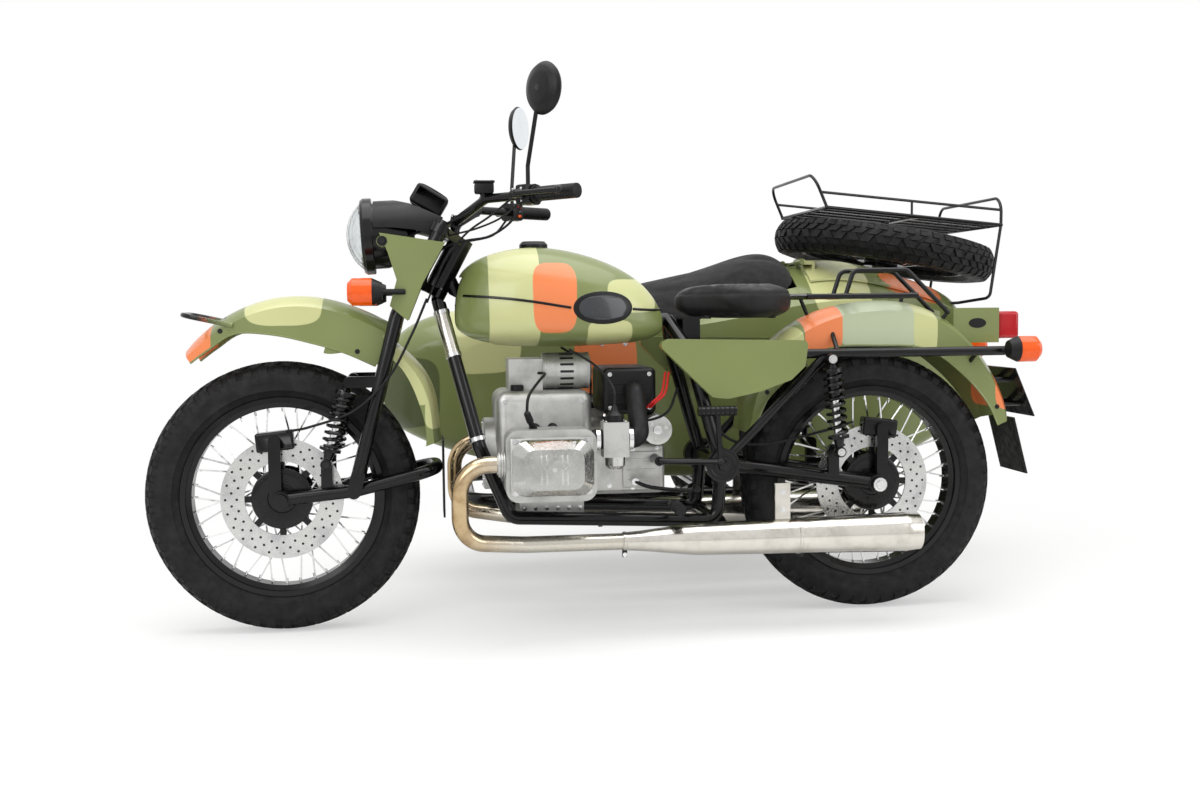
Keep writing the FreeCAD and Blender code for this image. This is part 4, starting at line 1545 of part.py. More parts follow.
def make_sidecar_chassis():
    """Tube chassis, links to the motorcycle, wheel arm, shock and mudguard."""
    inner, outer = -SIDECAR_RAIL_INNER, -SIDECAR_RAIL_OUTER
    front, rear, low = SIDECAR_RAIL_FRONT_X, SIDECAR_RAIL_REAR_X, SIDECAR_RAIL_HEIGHT
    radius = SIDECAR_TUBE_RADIUS
    corners = [Vector(0, inner, low), Vector(front, inner, low), Vector(front, outer, low), Vector(rear, outer, low),
               Vector(rear, inner, low), Vector(0, inner, low)]
    shapes = [bent_bar(corners, radius, SIDECAR_BEND_RADIUS)]
    pivot = place(SIDECAR_ARM_PIVOT, outer)
    shapes.append(rod(Vector(pivot.x, inner, low), pivot, radius))
    for x_place in (FRONT_LOWER_LINK_X, REAR_LOWER_LINK_X):
        start = Vector(x_place, -FRAME_HALF_WIDTH, LOWER_LINK_HEIGHT)
        shapes.append(rod(start, Vector(x_place, inner, low), STRUT_RADIUS))
        shapes.append(rod(start, Vector(x_place, -FRAME_HALF_WIDTH, low + STRUT_RADIUS), STRUT_RADIUS))
    for foot_x, (top_x, wide, top_z) in ((FRONT_STRUT_FOOT_X, FRONT_STRUT_TOP), (REAR_STRUT_FOOT_X, REAR_STRUT_TOP)):
        shapes.append(rod(Vector(foot_x, inner, low), Vector(top_x, -wide, top_z), STRUT_RADIUS))
    for x_place in BODY_MOUNT_PLACES:
        shapes.append(rod(Vector(x_place, inner, low), Vector(x_place, outer, low), radius * 0.9))
    post = Vector(SIDECAR_SHOCK_TOP[0], outer, SIDECAR_STAY_HEIGHT)
    shapes.append(rod(post, Vector(post.x, outer, low), STRUT_RADIUS))
    guard_side = -TRACK + SIDECAR_GUARD_HALF_WIDTH + FIT_CLEARANCE
    shapes.append(rod(post, Vector(post.x, guard_side, post.z), STRUT_RADIUS))
    shapes.append(Part.makeSphere(STRUT_RADIUS, post))
    stay = place(SIDECAR_REAR_STAY, guard_side)
    inset = SIDECAR_BEND_RADIUS * (1 - math.sqrt(1 / 2))
    shapes.append(rod(Vector(rear + inset, outer + inset, low), stay + Vector(0, STRUT_RADIUS * 2, 0), STRUT_RADIUS))
    shapes.append(rod(stay, stay + Vector(0, STRUT_RADIUS * 2, 0), STRUT_RADIUS))
    shock_side = -SIDECAR_ARM_SIDE + SHOCK_EYE_WIDTH + ARM_TUBE_RADIUS
    shock_top = place(SIDECAR_SHOCK_TOP, shock_side)
    shapes.append(rod(Vector(shock_top.x, outer, shock_top.z),
                      shock_top + Vector(0, SHOCK_EYE_WIDTH / 2 + FIT_CLEARANCE, 0), SHOCK_EYE_RADIUS * 3 / 4))
    add("sidecar_frame", biggest(union(shapes).cut(pieces["main_frame"])))
    mounts = []
    for x_place in BODY_MOUNT_PLACES:
        for side in SIDES.values():
            foot = Vector(x_place, side * BODY_MOUNT_SPACING / 2 - BODY_CENTRE, low)
            mounts.append(rod(foot, foot + Vector(0, 0, BODY_MOUNT_SPACING / 2), BODY_MOUNT_RADIUS))
    lowered = body_solid(0).translated(Vector(0, 0, -FIT_CLEARANCE))
    mounts = [mount.cut(pieces["sidecar_frame"]).cut(lowered) for mount in mounts]
    add("body_mounts", Part.makeCompound([max(mount.Solids, key=lambda solid: -solid.CenterOfMass.z) for mount in mounts]))
    arm_root = Vector(pivot.x, outer - radius - FIT_CLEARANCE, pivot.z)
    arm_knee = Vector(pivot.x, -SIDECAR_ARM_SIDE, pivot.z)
    axle_inner = SIDECAR_AXLE + Vector(0, TRACK - SIDECAR_ARM_SIDE, 0)
    stub_end = SIDECAR_AXLE - Vector(0, HUB_WIDTH / 2 + AXLE_HEAD_LENGTH, 0)
    foot_share = (SIDECAR_ARM_PIVOT[0] - SIDECAR_SHOCK_FOOT_X) / SIDECAR_ARM_PIVOT[0]
    on_arm = arm_knee + (axle_inner - arm_knee) * foot_share
    shock_foot = Vector(on_arm.x, shock_side, on_arm.z)
    boss = Vector(0, ARM_TUBE_RADIUS + AXLE_HEAD_LENGTH / 2, 0)
    proud = Vector(0, ARM_TUBE_RADIUS + BOSS_PROUD, 0)
    arm = union([rod(arm_root, arm_knee, ARM_TUBE_RADIUS), rod(arm_knee, axle_inner, ARM_TUBE_RADIUS),
                 Part.makeSphere(ARM_TUBE_RADIUS * 1.1, arm_knee), rod(axle_inner, stub_end, AXLE_RADIUS),
                 rod(axle_inner + proud, axle_inner - boss, ARM_TUBE_RADIUS * 4 / 3),
                 rod(on_arm, shock_foot - Vector(0, SHOCK_EYE_WIDTH / 2 + FIT_CLEARANCE, 0), SHOCK_EYE_RADIUS * 3 / 4)])
    add("sidecar_swingarm", arm)
    pieces["rear_shocks"] = Part.makeCompound(pieces["rear_shocks"].Solids + [shock(shock_top, shock_foot)])
    add("sidecar_mudguard", guard(SIDECAR_AXLE, SIDECAR_GUARD, SIDECAR_GUARD_HALF_WIDTH))
    filled = guard(SIDECAR_AXLE, SIDECAR_GUARD, SIDECAR_GUARD_HALF_WIDTH, filled=True)
    lamps = []
    for degrees, direction in zip(SIDECAR_LAMP_DEGREES, (X_AXIS, -X_AXIS)):
        angle = math.radians(degrees)
        outward = Vector(math.cos(angle), 0, math.sin(angle))
        root = SIDECAR_AXLE + outward * SIDECAR_GUARD[2][1]
        centre = root + Vector(0, 0, SIGNAL_RADIUS * 3 / 2)
        stalk = rod(SIDECAR_AXLE + outward * (SIDECAR_GUARD[2][1] - OVERRUN), centre, SIGNAL_STALK_RADIUS)
        lamp = union([signal_lamp(centre, direction), stalk]).cut(filled)
        lamps.append(biggest(lamp))
    add("sidecar_lamps", Part.makeCompound(lamps))


def make_sidecar():
    """The sidecar with everything that it carries."""
    make_sidecar_chassis()
    make_sidecar_body()
    make_spare_and_rack()


def export_all():
    """Move every piece so that the origin is the bottom centre, and write one file for each."""
    box = Part.makeCompound(list(pieces.values())).optimalBoundingBox(False)
    shift = Vector(-(box.XMin + box.XMax) / 2, -(box.YMin + box.YMax) / 2, -box.ZMin)
    os.makedirs(OUT_FOLDER, exist_ok=True)
    for name, shape in pieces.items():
        shape.translated(shift).exportStep(os.path.join(OUT_FOLDER, name + ".step"))
    print("shift", shift.x, shift.y, shift.z)
    print("size", box.XLength, box.YLength, box.ZLength)


def main():
    """Build the outfit."""
    make_wheels()
    make_steering()
    make_bike()
    make_sidecar()
    for name, shape in pieces.items():
        bounds = shape.BoundBox
        print(name, shape.isValid(), len(shape.Solids), round(shape.Volume))
    export_all()


main()
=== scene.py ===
"""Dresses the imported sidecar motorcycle: paint, tyres, spokes, springs, soft goods, cables and the studio."""

import json
import logging
import math
from collections.abc import Callable, Iterable, Sequence
from dataclasses import dataclass
from enum import Enum

import bmesh
import bpy
from mathutils import Matrix, Vector, noise
from mathutils.bvhtree import BVHTree

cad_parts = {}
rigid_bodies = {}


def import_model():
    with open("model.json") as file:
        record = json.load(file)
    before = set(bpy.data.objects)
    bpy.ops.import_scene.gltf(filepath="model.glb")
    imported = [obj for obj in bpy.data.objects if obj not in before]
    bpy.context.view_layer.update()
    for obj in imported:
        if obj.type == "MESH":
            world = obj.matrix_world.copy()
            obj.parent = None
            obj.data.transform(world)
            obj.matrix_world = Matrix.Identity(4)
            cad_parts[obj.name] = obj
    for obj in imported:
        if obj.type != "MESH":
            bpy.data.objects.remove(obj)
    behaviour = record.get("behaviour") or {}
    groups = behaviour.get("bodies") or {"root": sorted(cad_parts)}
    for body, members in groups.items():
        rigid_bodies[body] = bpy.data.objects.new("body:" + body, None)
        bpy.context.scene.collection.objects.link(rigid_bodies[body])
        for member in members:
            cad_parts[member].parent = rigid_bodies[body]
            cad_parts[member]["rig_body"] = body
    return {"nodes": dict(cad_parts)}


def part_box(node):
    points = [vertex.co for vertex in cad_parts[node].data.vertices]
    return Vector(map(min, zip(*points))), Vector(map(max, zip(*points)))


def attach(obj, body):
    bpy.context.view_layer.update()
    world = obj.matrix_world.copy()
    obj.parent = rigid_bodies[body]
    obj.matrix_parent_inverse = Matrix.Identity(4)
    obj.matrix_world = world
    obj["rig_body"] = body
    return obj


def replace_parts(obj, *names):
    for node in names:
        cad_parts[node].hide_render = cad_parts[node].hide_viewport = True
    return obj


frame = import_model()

LOG = logging.getLogger("sidecar_motorcycle")
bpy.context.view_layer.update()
X_AXIS = Vector((1.0, 0.0, 0.0))
Y_AXIS = Vector((0.0, 1.0, 0.0))
Z_AXIS = Vector((0.0, 0.0, 1.0))
SHARP_DEGREES = 34.0
WELD_DISTANCE = 1e-5
SEAM_DISTANCE = 1e-6
Point = Sequence[float]
FaceRule = Callable[[Vector, Vector], bool]


def _rear_contact() -> Vector:
    """The rear tyre's ground contact, which every size below is measured from."""
    low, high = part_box("rear_tyre")
    return Vector(((low.x + high.x) / 2, (low.y + high.y) / 2, 0.0))


ORIGIN = _rear_contact()


def at(forward: float, side: float, height: float) -> Vector:
    """A point given in millimetres from the rear tyre's contact, as a row frame point in metres."""
    return ORIGIN + Vector((forward, side, height)) / 1000.0


def mm(point: Vector) -> Vector:
    """A row frame point in metres as millimetres from the rear tyre's contact."""
    return (point - ORIGIN) * 1000.0


def hue(code: str) -> tuple[float, float, float, float]:
    """A written colour such as '6b7044' as linear red, green, blue and alpha."""
    parts = [int(code[k:k + 2], 16) / 255.0 for k in (0, 2, 4)]
    linear = [p / 12.92 if p <= 0.04045 else ((p + 0.055) / 1.055) ** 2.4 for p in parts]
    return (*linear, 1.0)


def dimmed(code: str, share: float) -> tuple[float, float, float, float]:
    """A written colour with its red, green and blue scaled down."""
    return (*(part * share for part in hue(code)[:3]), 1.0)


class Side(Enum):
    """Which side of the motorcycle's centre plane a piece is on."""

    LEFT = 1
    RIGHT = -1

    @property
    def out(self) -> Point:
        """The direction away from the centre plane."""
        return (0.0, self.value, 0.0)


class Shader:
    """A material under construction: one Principled shader and the nodes that feed it."""

    def __init__(self, name: str) -> None:
        """Start an empty node tree.

        Args:
            name: The material's name.
        """
        self.material = bpy.data.materials.new(name)
        self.material.use_nodes = True
        self.tree = self.material.node_tree
        self.tree.nodes.clear()
        self.output = self.tree.nodes.new("ShaderNodeOutputMaterial")
        self.surface = self.tree.nodes.new("ShaderNodeBsdfPrincipled")
        self.tree.links.new(self.surface.outputs["BSDF"], self.output.inputs["Surface"])
        self.place = self.tree.nodes.new("ShaderNodeTexCoord").outputs["Object"]

    def node(self, kind: str, inputs: dict | None = None, **settings: object) -> bpy.types.Node:
        """Add a node, set its properties and fill its inputs with sockets or constants.

        Args:
            kind: The node's type without its ShaderNode prefix.
            inputs: Input name or index to a socket or a constant.
            settings: Properties of the node.

        Returns:
            The new node.
        """
        made = self.tree.nodes.new("ShaderNode" + kind)
        for name, value in settings.items():
            setattr(made, name, value)
        for name, value in (inputs or {}).items():
            if isinstance(value, bpy.types.NodeSocket):
                self.tree.links.new(value, made.inputs[name])
            else:
                made.inputs[name].default_value = value
        return made

    def value_math(self, operation: str, *values: object) -> bpy.types.NodeSocket:
        """The result of a Math node on sockets or constants."""
        return self.node("Math", dict(enumerate(values)), operation=operation).outputs[0]

    def vector_math(self, operation: str, *values: object) -> bpy.types.NodeSocket:
        """The vector that a Vector Math node makes from sockets or constants."""
        return self.node("VectorMath", dict(enumerate(values)), operation=operation).outputs["Vector"]

    def length(self, value: bpy.types.NodeSocket) -> bpy.types.NodeSocket:
        """The length of a vector."""
        return self.node("VectorMath", {0: value}, operation="LENGTH").outputs["Value"]

    def waves(self, scale: float, distortion: float, direction: str) -> bpy.types.NodeSocket:
        """Straight bands from 0 to 1 across a direction."""
        made = self.node("TexWave", {"Vector": self.place, "Scale": scale, "Distortion": distortion},
                         bands_direction=direction)
        return made.outputs["Fac"]

    def set(self, **values: object) -> None:
        """Set or link the Principled shader's inputs, whose names have spaces written as underscores."""
        for name, value in values.items():
            socket = self.surface.inputs[name.replace("_", " ")]
            if isinstance(value, bpy.types.NodeSocket):
                self.tree.links.new(value, socket)
            else:
                socket.default_value = value

    def noise(self, scale: float, detail: float = 3.0, rough: float = 0.5,
              vector: bpy.types.NodeSocket | None = None) -> bpy.types.NodeSocket:
        """A noise value from 0 to 1 over the object's own coordinates."""
        made = self.node("TexNoise", {"Vector": vector or self.place, "Scale": scale, "Detail": detail,
                                      "Roughness": rough})
        return made.outputs["Fac"]

    def ramp(self, value: bpy.types.NodeSocket, low: float, high: float, start: float = 0.0,
             end: float = 1.0) -> bpy.types.NodeSocket:
        """The value mapped smoothly from low..high to start..end."""
        made = self.node("MapRange", {"Value": value, "From Min": low, "From Max": high, "To Min": start,
                                      "To Max": end}, interpolation_type="SMOOTHSTEP")
        return made.outputs["Result"]

    def mix(self, share: bpy.types.NodeSocket, first: object, second: object,
            blend: str = "MIX") -> bpy.types.NodeSocket:
        """Two colours mixed by a share.

        Args:
            share: From 0 for the first colour to 1 for the second.
            first: Colour or socket.
            second: Colour or socket.
            blend: The Mix node's blend type.

        Returns:
            The colour socket.
        """
        made = self.node("Mix", data_type="RGBA", blend_type=blend)
        for index, value in ((0, share), (6, first), (7, second)):
            if isinstance(value, bpy.types.NodeSocket):
                self.tree.links.new(value, made.inputs[index])
            else:
                made.inputs[index].default_value = value
        return made.outputs[2]

    def bump(self, height: bpy.types.NodeSocket, distance: float, strength: float = 1.0) -> None:
        """Raise the surface by a height map, on top of any bump added before."""
        inputs = {"Height": height, "Distance": distance, "Strength": strength}
        before = self.surface.inputs["Normal"].links
        if before:
            inputs["Normal"] = before[0].from_socket
        self.set(Normal=self.node("Bump", inputs).outputs["Normal"])


@dataclass(frozen=True)
class Patch:
    """One soft-edged blotch of colour: a rounded box in millimetres from the rear contact; most are camouflage,
    one on the sidecar's nose is painted shade.
    """

    colour: str
    centre: tuple[float, float, float]
    reach: tuple[float, float, float]
    edge: float = 0.035
    waver: float = 0.2


@dataclass(frozen=True)
class CamoPaint:
    """Satin camouflage paint: a base coat, blotches at their places (camouflage, and on the sidecar's nose one
    of painted shade) and a thin clear coat.
    """

    name: str
    base: str
    patches: tuple[Patch, ...] = ()
    roughness: float = 0.34

    def build(self) -> bpy.types.Material:
        """Wire the paint's nodes."""
        shader = Shader(self.name)
        tone = shader.noise(3.2, 2.0)
        colour = shader.mix(shader.ramp(tone, 0.3, 0.7), hue(self.base), dimmed(self.base, 0.9))
        warp = shader.noise(6.5, 2.0)
        for patch in self.patches:
            away = shader.vector_math("SUBTRACT", shader.place, at(*patch.centre))
            scaled = shader.vector_math("DIVIDE", away, Vector(patch.reach) / 1000.0)
            rounded = shader.length(shader.vector_math("MULTIPLY", scaled, scaled))
            moved = shader.value_math("MULTIPLY_ADD", warp, patch.waver, rounded)
            inside = 1.0 + patch.waver / 2
            share = shader.ramp(moved, inside - patch.edge, inside + patch.edge, 1.0, 0.0)
            colour = shader.mix(share, colour, hue(patch.colour))
        dust = shader.noise(240.0, 4.0)
        shader.set(Base_Color=shader.mix(shader.ramp(dust, 0.62, 0.9, 0.0, 0.25), colour, hue("b9b695")),
                   Roughness=shader.ramp(shader.noise(14.0, 4.0), 0.3, 0.75, self.roughness - 0.06,
                                         self.roughness + 0.08),
                   Coat_Weight=0.3, Coat_Roughness=0.1, Specular_IOR_Level=0.4)
        shader.bump(shader.noise(420.0, 2.0), 0.00012, 0.3)
        return shader.material


@dataclass(frozen=True)
class Paint:
    """Plain paint or moulded plastic with a fine orange peel, light dust and worn edges."""

    name: str
    colour: str
    roughness: float = 0.3
    coat: float = 0.0
    grain: float = 500.0
    depth: float = 0.0001
    worn: str = "262625"
    shine: float = 0.25

    def build(self) -> bpy.types.Material:
        """Wire the paint's nodes."""
        shader = Shader(self.name)
        wear = shader.ramp(shader.noise(36.0, 5.0, 0.6), 0.56, 0.86, 0.0, 0.3)
        shader.set(Base_Color=shader.mix(wear, hue(self.colour), hue(self.worn)),
                   Roughness=shader.ramp(shader.noise(20.0, 4.0), 0.25, 0.8, max(self.roughness - 0.08, 0.04),
                                         self.roughness + 0.12),
                   Coat_Weight=self.coat, Coat_Roughness=0.08, Specular_IOR_Level=self.shine)
        shader.bump(shader.noise(self.grain, 2.0), self.depth, 0.5)
        return shader.material


@dataclass(frozen=True)
class Metal:
    """Bare metal: cast, brushed or polished, with stains that follow a coarse noise."""

    name: str
    colour: str
    stain: str
    roughness: float = 0.3
    grain: float = 300.0
    depth: float = 0.0002
    stretch: tuple[float, float, float] = (1.0, 1.0, 1.0)
    metallic: float = 1.0

    def build(self) -> bpy.types.Material:
        """Wire the metal's nodes."""
        shader = Shader(self.name)
        pulled = shader.node("Mapping", {"Vector": shader.place, "Scale": self.stretch}).outputs["Vector"]
        cloud = shader.noise(18.0, 5.0, 0.6)
        fine = shader.noise(self.grain, 4.0, 0.6, pulled)
        colour = shader.mix(shader.ramp(cloud, 0.4, 0.75, 0.0, 0.6), hue(self.colour), hue(self.stain))
        shader.set(Base_Color=colour, Metallic=self.metallic,
                   Roughness=shader.ramp(fine, 0.3, 0.7, max(self.roughness - 0.07, 0.04),
                                         self.roughness + 0.1))
        shader.bump(fine, self.depth, 0.6)
        return shader.material


@dataclass(frozen=True)
class HeatedPipe:
    """Stainless pipe whose heat tint runs from straw near the head to bright steel further back."""

    name: str

    def build(self) -> bpy.types.Material:
        """Wire the pipe's nodes: the tint follows the distance along the bike."""
        shader = Shader(self.name)
        parts = shader.node("SeparateXYZ", {"Vector": shader.place})
        warm = shader.ramp(parts.outputs["X"], at(905, 0, 0).x, at(1120, 0, 0).x)
        straw = shader.mix(shader.ramp(shader.noise(22.0, 3.0), 0.35, 0.7), hue("b9a17a"), hue("8d6f45"))
        colour = shader.mix(warm, hue("c4bfb4"), straw)
        shader.set(Base_Color=colour, Metallic=1.0,
                   Roughness=shader.ramp(shader.noise(150.0, 4.0), 0.3, 0.7, 0.14, 0.28))
        shader.bump(shader.noise(260.0, 3.0), 0.00008, 0.4)
        return shader.material


@dataclass(frozen=True)
class Rubber:
    """Tyre or hose rubber, grey-black and matt, with a little dust in it."""

    name: str
    colour: str = "0e0e0f"
    dust: str = "242424"
    roughness: float = 0.62

    def build(self) -> bpy.types.Material:
        """Wire the rubber's nodes."""
        shader = Shader(self.name)
        cloud = shader.noise(26.0, 5.0, 0.65)
        dusty = shader.mix(shader.ramp(cloud, 0.35, 0.8, 0.0, 0.7), hue(self.colour), hue(self.dust))
        shader.set(Base_Color=dusty,
                   Roughness=shader.ramp(shader.noise(60.0, 4.0), 0.3, 0.75, self.roughness - 0.1,
                                         self.roughness + 0.14), Specular_IOR_Level=0.22)
        shader.bump(shader.noise(380.0, 4.0, 0.7), 0.00025, 0.6)
        return shader.material


@dataclass(frozen=True)
class Lens:
    """Moulded lamp lens with fine flutes: coloured through, or clear."""

    name: str
    colour: str
    clear: float = 0.0
    flutes: float = 900.0

    def build(self) -> bpy.types.Material:
        """Wire the lens's nodes."""
        shader = Shader(self.name)
        shade = shader.mix(shader.ramp(shader.noise(40.0, 3.0), 0.4, 0.7, 0.0, 0.35), hue(self.colour),
                           dimmed(self.colour, 0.75))
        shader.set(Base_Color=shade, Roughness=shader.ramp(shader.noise(90.0, 3.0), 0.3, 0.7, 0.05, 0.12),
                   Transmission_Weight=self.clear, IOR=1.45)
        shader.bump(shader.waves(self.flutes / 40.0, 0.0, "Y"), 0.0006, 0.35)
        return shader.material


@dataclass(frozen=True)
class Cloth:
    """Woven cloth or grained leather: a fine crossing weave or a leather cell grain with soft sheen."""

    name: str
    colour: str
    light: str
    roughness: float = 0.8
    weave: float = 900.0
    cells: float = 0.0
    sheen: float = 0.25

    def build(self) -> bpy.types.Material:
        """Wire the cloth's nodes."""
        shader = Shader(self.name)
        cloud = shader.noise(9.0, 4.0, 0.6)
        colour = shader.mix(shader.ramp(cloud, 0.35, 0.75, 0.0, 0.6), hue(self.colour), hue(self.light))
        shader.set(Base_Color=colour, Roughness=shader.ramp(shader.noise(50.0, 3.0), 0.3, 0.7,
                                                            self.roughness - 0.08, self.roughness + 0.1),
                   Sheen_Weight=self.sheen, Sheen_Roughness=0.5, Specular_IOR_Level=0.22)
        if self.cells:
            grain = shader.node("TexVoronoi", {"Vector": shader.place, "Scale": self.cells},
                                feature="DISTANCE_TO_EDGE").outputs["Distance"]
            shader.bump(shader.ramp(grain, 0.0, 0.25), 0.0004, 0.6)
        else:
            for direction in ("X", "Y"):
                shader.bump(shader.waves(self.weave / 6.3, 0.3, direction), 0.0003, 0.45)
            shader.bump(shader.noise(60.0, 4.0), 0.0008, 0.4)
        return shader.material


CAMO_GREEN = "737d49"
CAMO_KHAKI = "b9bb84"
CAMO_SALMON = "d97a47"
CAMO_SAGE = "a9b294"
# Darker green used only for painted shade on the sidecar's nose, not a camouflage colour.
NOSE_PAINTED_SHADE = "4b5430"


class Finish(Enum):
    """Every finish of the outfit, each with the recipe that wires its material."""

    TANK_CAMO = CamoPaint("tank_camo", CAMO_GREEN, (
        Patch(CAMO_KHAKI, (937, 0, 860), (62, 400, 300)),
        Patch(CAMO_SALMON, (838, 0, 828), (54, 400, 86)),
        Patch(CAMO_KHAKI, (640, 0, 832), (66, 400, 42)),
        Patch(CAMO_KHAKI, (700, 0, 738), (58, 400, 34))))
    FRONT_CAMO = CamoPaint("front_guard_camo", CAMO_GREEN, (
        Patch(CAMO_KHAKI, (1500, 60, 830), (95, 200, 62)),
        Patch(CAMO_SALMON, (1762, 40, 730), (88, 200, 80)),
        Patch(CAMO_KHAKI, (1185, 60, 640), (58, 200, 74)),
        Patch(CAMO_KHAKI, (1120, 60, 545), (40, 200, 40))))
    REAR_CAMO = CamoPaint("rear_guard_camo", CAMO_GREEN, (
        Patch(CAMO_SAGE, (-10, 60, 800), (120, 200, 110)),
        Patch(CAMO_SALMON, (138, 90, 760), (50, 200, 90)),
        Patch(CAMO_KHAKI, (-136, 60, 780), (32, 200, 120)),
        Patch(CAMO_SALMON, (-378, 40, 590), (50, 200, 66)),
        Patch(CAMO_KHAKI, (232, 100, 690), (42, 200, 60))))
    SIDECAR_CAMO_AND_SHADE = CamoPaint("sidecar_camo_and_painted_shade", CAMO_GREEN, (
        Patch(CAMO_KHAKI, (-60, -380, 900), (90, 210, 130)),
        Patch(CAMO_SALMON, (-290, -560, 800), (110, 150, 110)),
        Patch(CAMO_KHAKI, (980, -560, 740), (110, 160, 130)),
        Patch(CAMO_SALMON, (640, -480, 640), (90, 160, 130)),
        Patch(CAMO_KHAKI, (330, -700, 620), (120, 190, 140)),
        # Painted shade: a darker green blotch on the sidecar's nose, where shade falls.
        Patch(NOSE_PAINTED_SHADE, (1190, -620, 560), (90, 150, 110)),
        Patch(CAMO_SALMON, (120, -1000, 760), (120, 200, 110)),
        Patch(CAMO_KHAKI, (520, -1050, 700), (110, 200, 130))))
    GREEN_PAINT = CamoPaint("green_paint", CAMO_GREEN)
    BLACK_PAINT = Paint("black_paint", "060607", 0.2, 0.12)
    BLACK_PLASTIC = Paint("black_plastic", "0b0b0c", 0.4, 0.0, 900.0, 0.00025)
    WHEEL_BLACK = Paint("wheel_black", "060606", 0.22, 0.1)
    CAST_METAL = Metal("cast_aluminium", "bcbcb9", "8a8a87", 0.42, 420.0, 0.0004, (1.0, 1.0, 1.0), 0.85)
    POLISHED_METAL = Metal("polished_aluminium", "bebebb", "9a9995", 0.2, 160.0, 0.00008)
    STEEL = Metal("polished_steel", "d2cec6", "aba69c", 0.17, 90.0, 0.00006, (1.0, 12.0, 12.0))
    DISC_STEEL = Metal("disc_steel", "c3c3c1", "94949a", 0.26, 260.0, 0.00008)
    SPOKE_STEEL = Metal("spoke_steel", "dadada", "b5b5b5", 0.16, 200.0, 0.00004)
    DARK_STEEL = Metal("dark_steel", "333334", "1c1c1d", 0.4, 200.0, 0.0001)
    TINTED_PIPE = HeatedPipe("tinted_header")
    TYRE_RUBBER = Rubber("tyre_rubber")
    SOFT_RUBBER = Rubber("soft_rubber", "0a0a0b", "191919", 0.5)
    CLEAR_LENS = Lens("clear_lens", "f4f7f8", 0.92, 700.0)
    RED_LENS = Lens("red_lens", "b00d16", 0.15, 1200.0)
    AMBER_LENS = Lens("amber_lens", "ee5a0c", 0.15, 1200.0)
    LEATHER = Cloth("saddle_leather", "09090a", "161617", 0.42, cells=420.0, sheen=0.04)
    CANVAS = Cloth("cover_fabric", "0b0a0c", "171618", 0.8, weave=1600.0, sheen=0.12)
    MIRROR_GLASS = Metal("mirror_glass", "e9edef", "dfe4e7", 0.03, 60.0, 0.00001)
    BADGE_GREY = Paint("badge_grey", "2f3235", 0.3, 0.4)
    RED_WIRE = Paint("red_wire", "b71f1b", 0.4)

    def material(self) -> bpy.types.Material:
        """The finish's material, wired on first use."""
        if self not in WIRED:
            WIRED[self] = self.value.build()
        return WIRED[self]


WIRED: dict[Finish, bpy.types.Material] = {}


def linked(name: str, data: bpy.types.ID) -> bpy.types.Object:
    """A new object in the scene that holds some data, at the origin."""
    made = bpy.data.objects.new(name, data)
    bpy.context.scene.collection.objects.link(made)
    return made


def placed(mesh: bmesh.types.BMesh, name: str) -> bpy.types.Object:
    """A new object that holds a bmesh, which is freed."""
    data = bpy.data.meshes.new(name)
    mesh.to_mesh(data)
    mesh.free()
    return linked(name, data)


def publish(mesh: bmesh.types.BMesh, name: str, body: str, *finishes: Finish, smooth: bool = True,
            sharp: float = SHARP_DEGREES) -> bpy.types.Object:
    """Turn a finished bmesh into an object at the origin that rides on a body.

    Args:
        mesh: The mesh, in the row frame; it is freed.
        name: The piece's name.
        body: The CAD body that it rides on.
        finishes: Finishes in the order of the faces' material indices.
        smooth: Whether faces are shaded smooth between sharp edges.
        sharp: The angle in degrees from which an edge stays sharp.

    Returns:
        The new object.
    """
    for face in mesh.faces:
        face.smooth = smooth
    limit = math.radians(sharp)
    for edge in mesh.edges:
        edge.smooth = len(edge.link_faces) == 2 and edge.calc_face_angle(0.0) < limit
    made = placed(mesh, name)
    for finish in finishes:
        made.data.materials.append(finish.material())
    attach(made, body)
    LOG.info("%s rides on %s, %d faces", name, body, len(made.data.polygons))
    return made


def welded(node: str) -> bmesh.types.BMesh:
    """A merged copy of a CAD node's loose triangles."""
    mesh = bmesh.new()
    mesh.from_mesh(frame["nodes"][node].data)
    bmesh.ops.remove_doubles(mesh, verts=mesh.verts, dist=WELD_DISTANCE)
    return mesh


def skin_of(node: str) -> BVHTree:
    """The surface of a CAD node, for finding places on it."""
    mesh = welded(node)
    made = BVHTree.FromBMesh(mesh)
    mesh.free()
    return made


def eased(mesh: bmesh.types.BMesh, verts: Sequence[bmesh.types.BMVert], times: int = 1) -> None:
    """Smooth vertices half way towards their neighbours' middle, a number of times."""
    for _ in range(times):
        bmesh.ops.smooth_vert(mesh, verts=verts, factor=0.5,
                              use_axis_x=True, use_axis_y=True, use_axis_z=True)


def body_of(node: str) -> str:
    """The CAD body that carries a node."""
    return frame["nodes"][node]["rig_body"]


@dataclass
class Shell:
    """A smooth copy of one CAD node, finished face by face.

    The first rule that accepts a face's middle (in millimetres) and its normal gives its finish;
    a face that no rule accepts takes the base finish.
    """

    node: str
    base: Finish
    rules: tuple[tuple[Finish, FaceRule], ...] = ()

    def build(self) -> bpy.types.Object:
        """Copy, weld, finish and publish the node's shell, which then stands for the node."""
        mesh = welded(self.node)
        for face in mesh.faces:
            middle = mm(face.calc_center_median())
            for index, (_, rule) in enumerate(self.rules):
                if rule(middle, face.normal):
                    face.material_index = index + 1
                    break
        made = publish(mesh, self.node + "_shell", body_of(self.node), self.base,
                       *(finish for finish, _ in self.rules))
        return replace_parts(made, self.node)


@dataclass(frozen=True)
class Lamp:
    """One soft light of the studio."""

    name: str
    place: tuple[float, float, float]
    aim: tuple[float, float, float]
    size: tuple[float, float]
    power: float

    def build(self) -> None:
        """Create the area light and turn it towards its aim."""
        data = bpy.data.lights.new(self.name, "AREA")
        data.shape = "RECTANGLE"
        data.size, data.size_y = self.size
        data.energy = self.power
        made = linked(self.name, data)
        made.location = self.place
        made.rotation_euler = (Vector(self.aim) - Vector(self.place)).to_track_quat("-Z", "Y").to_euler()


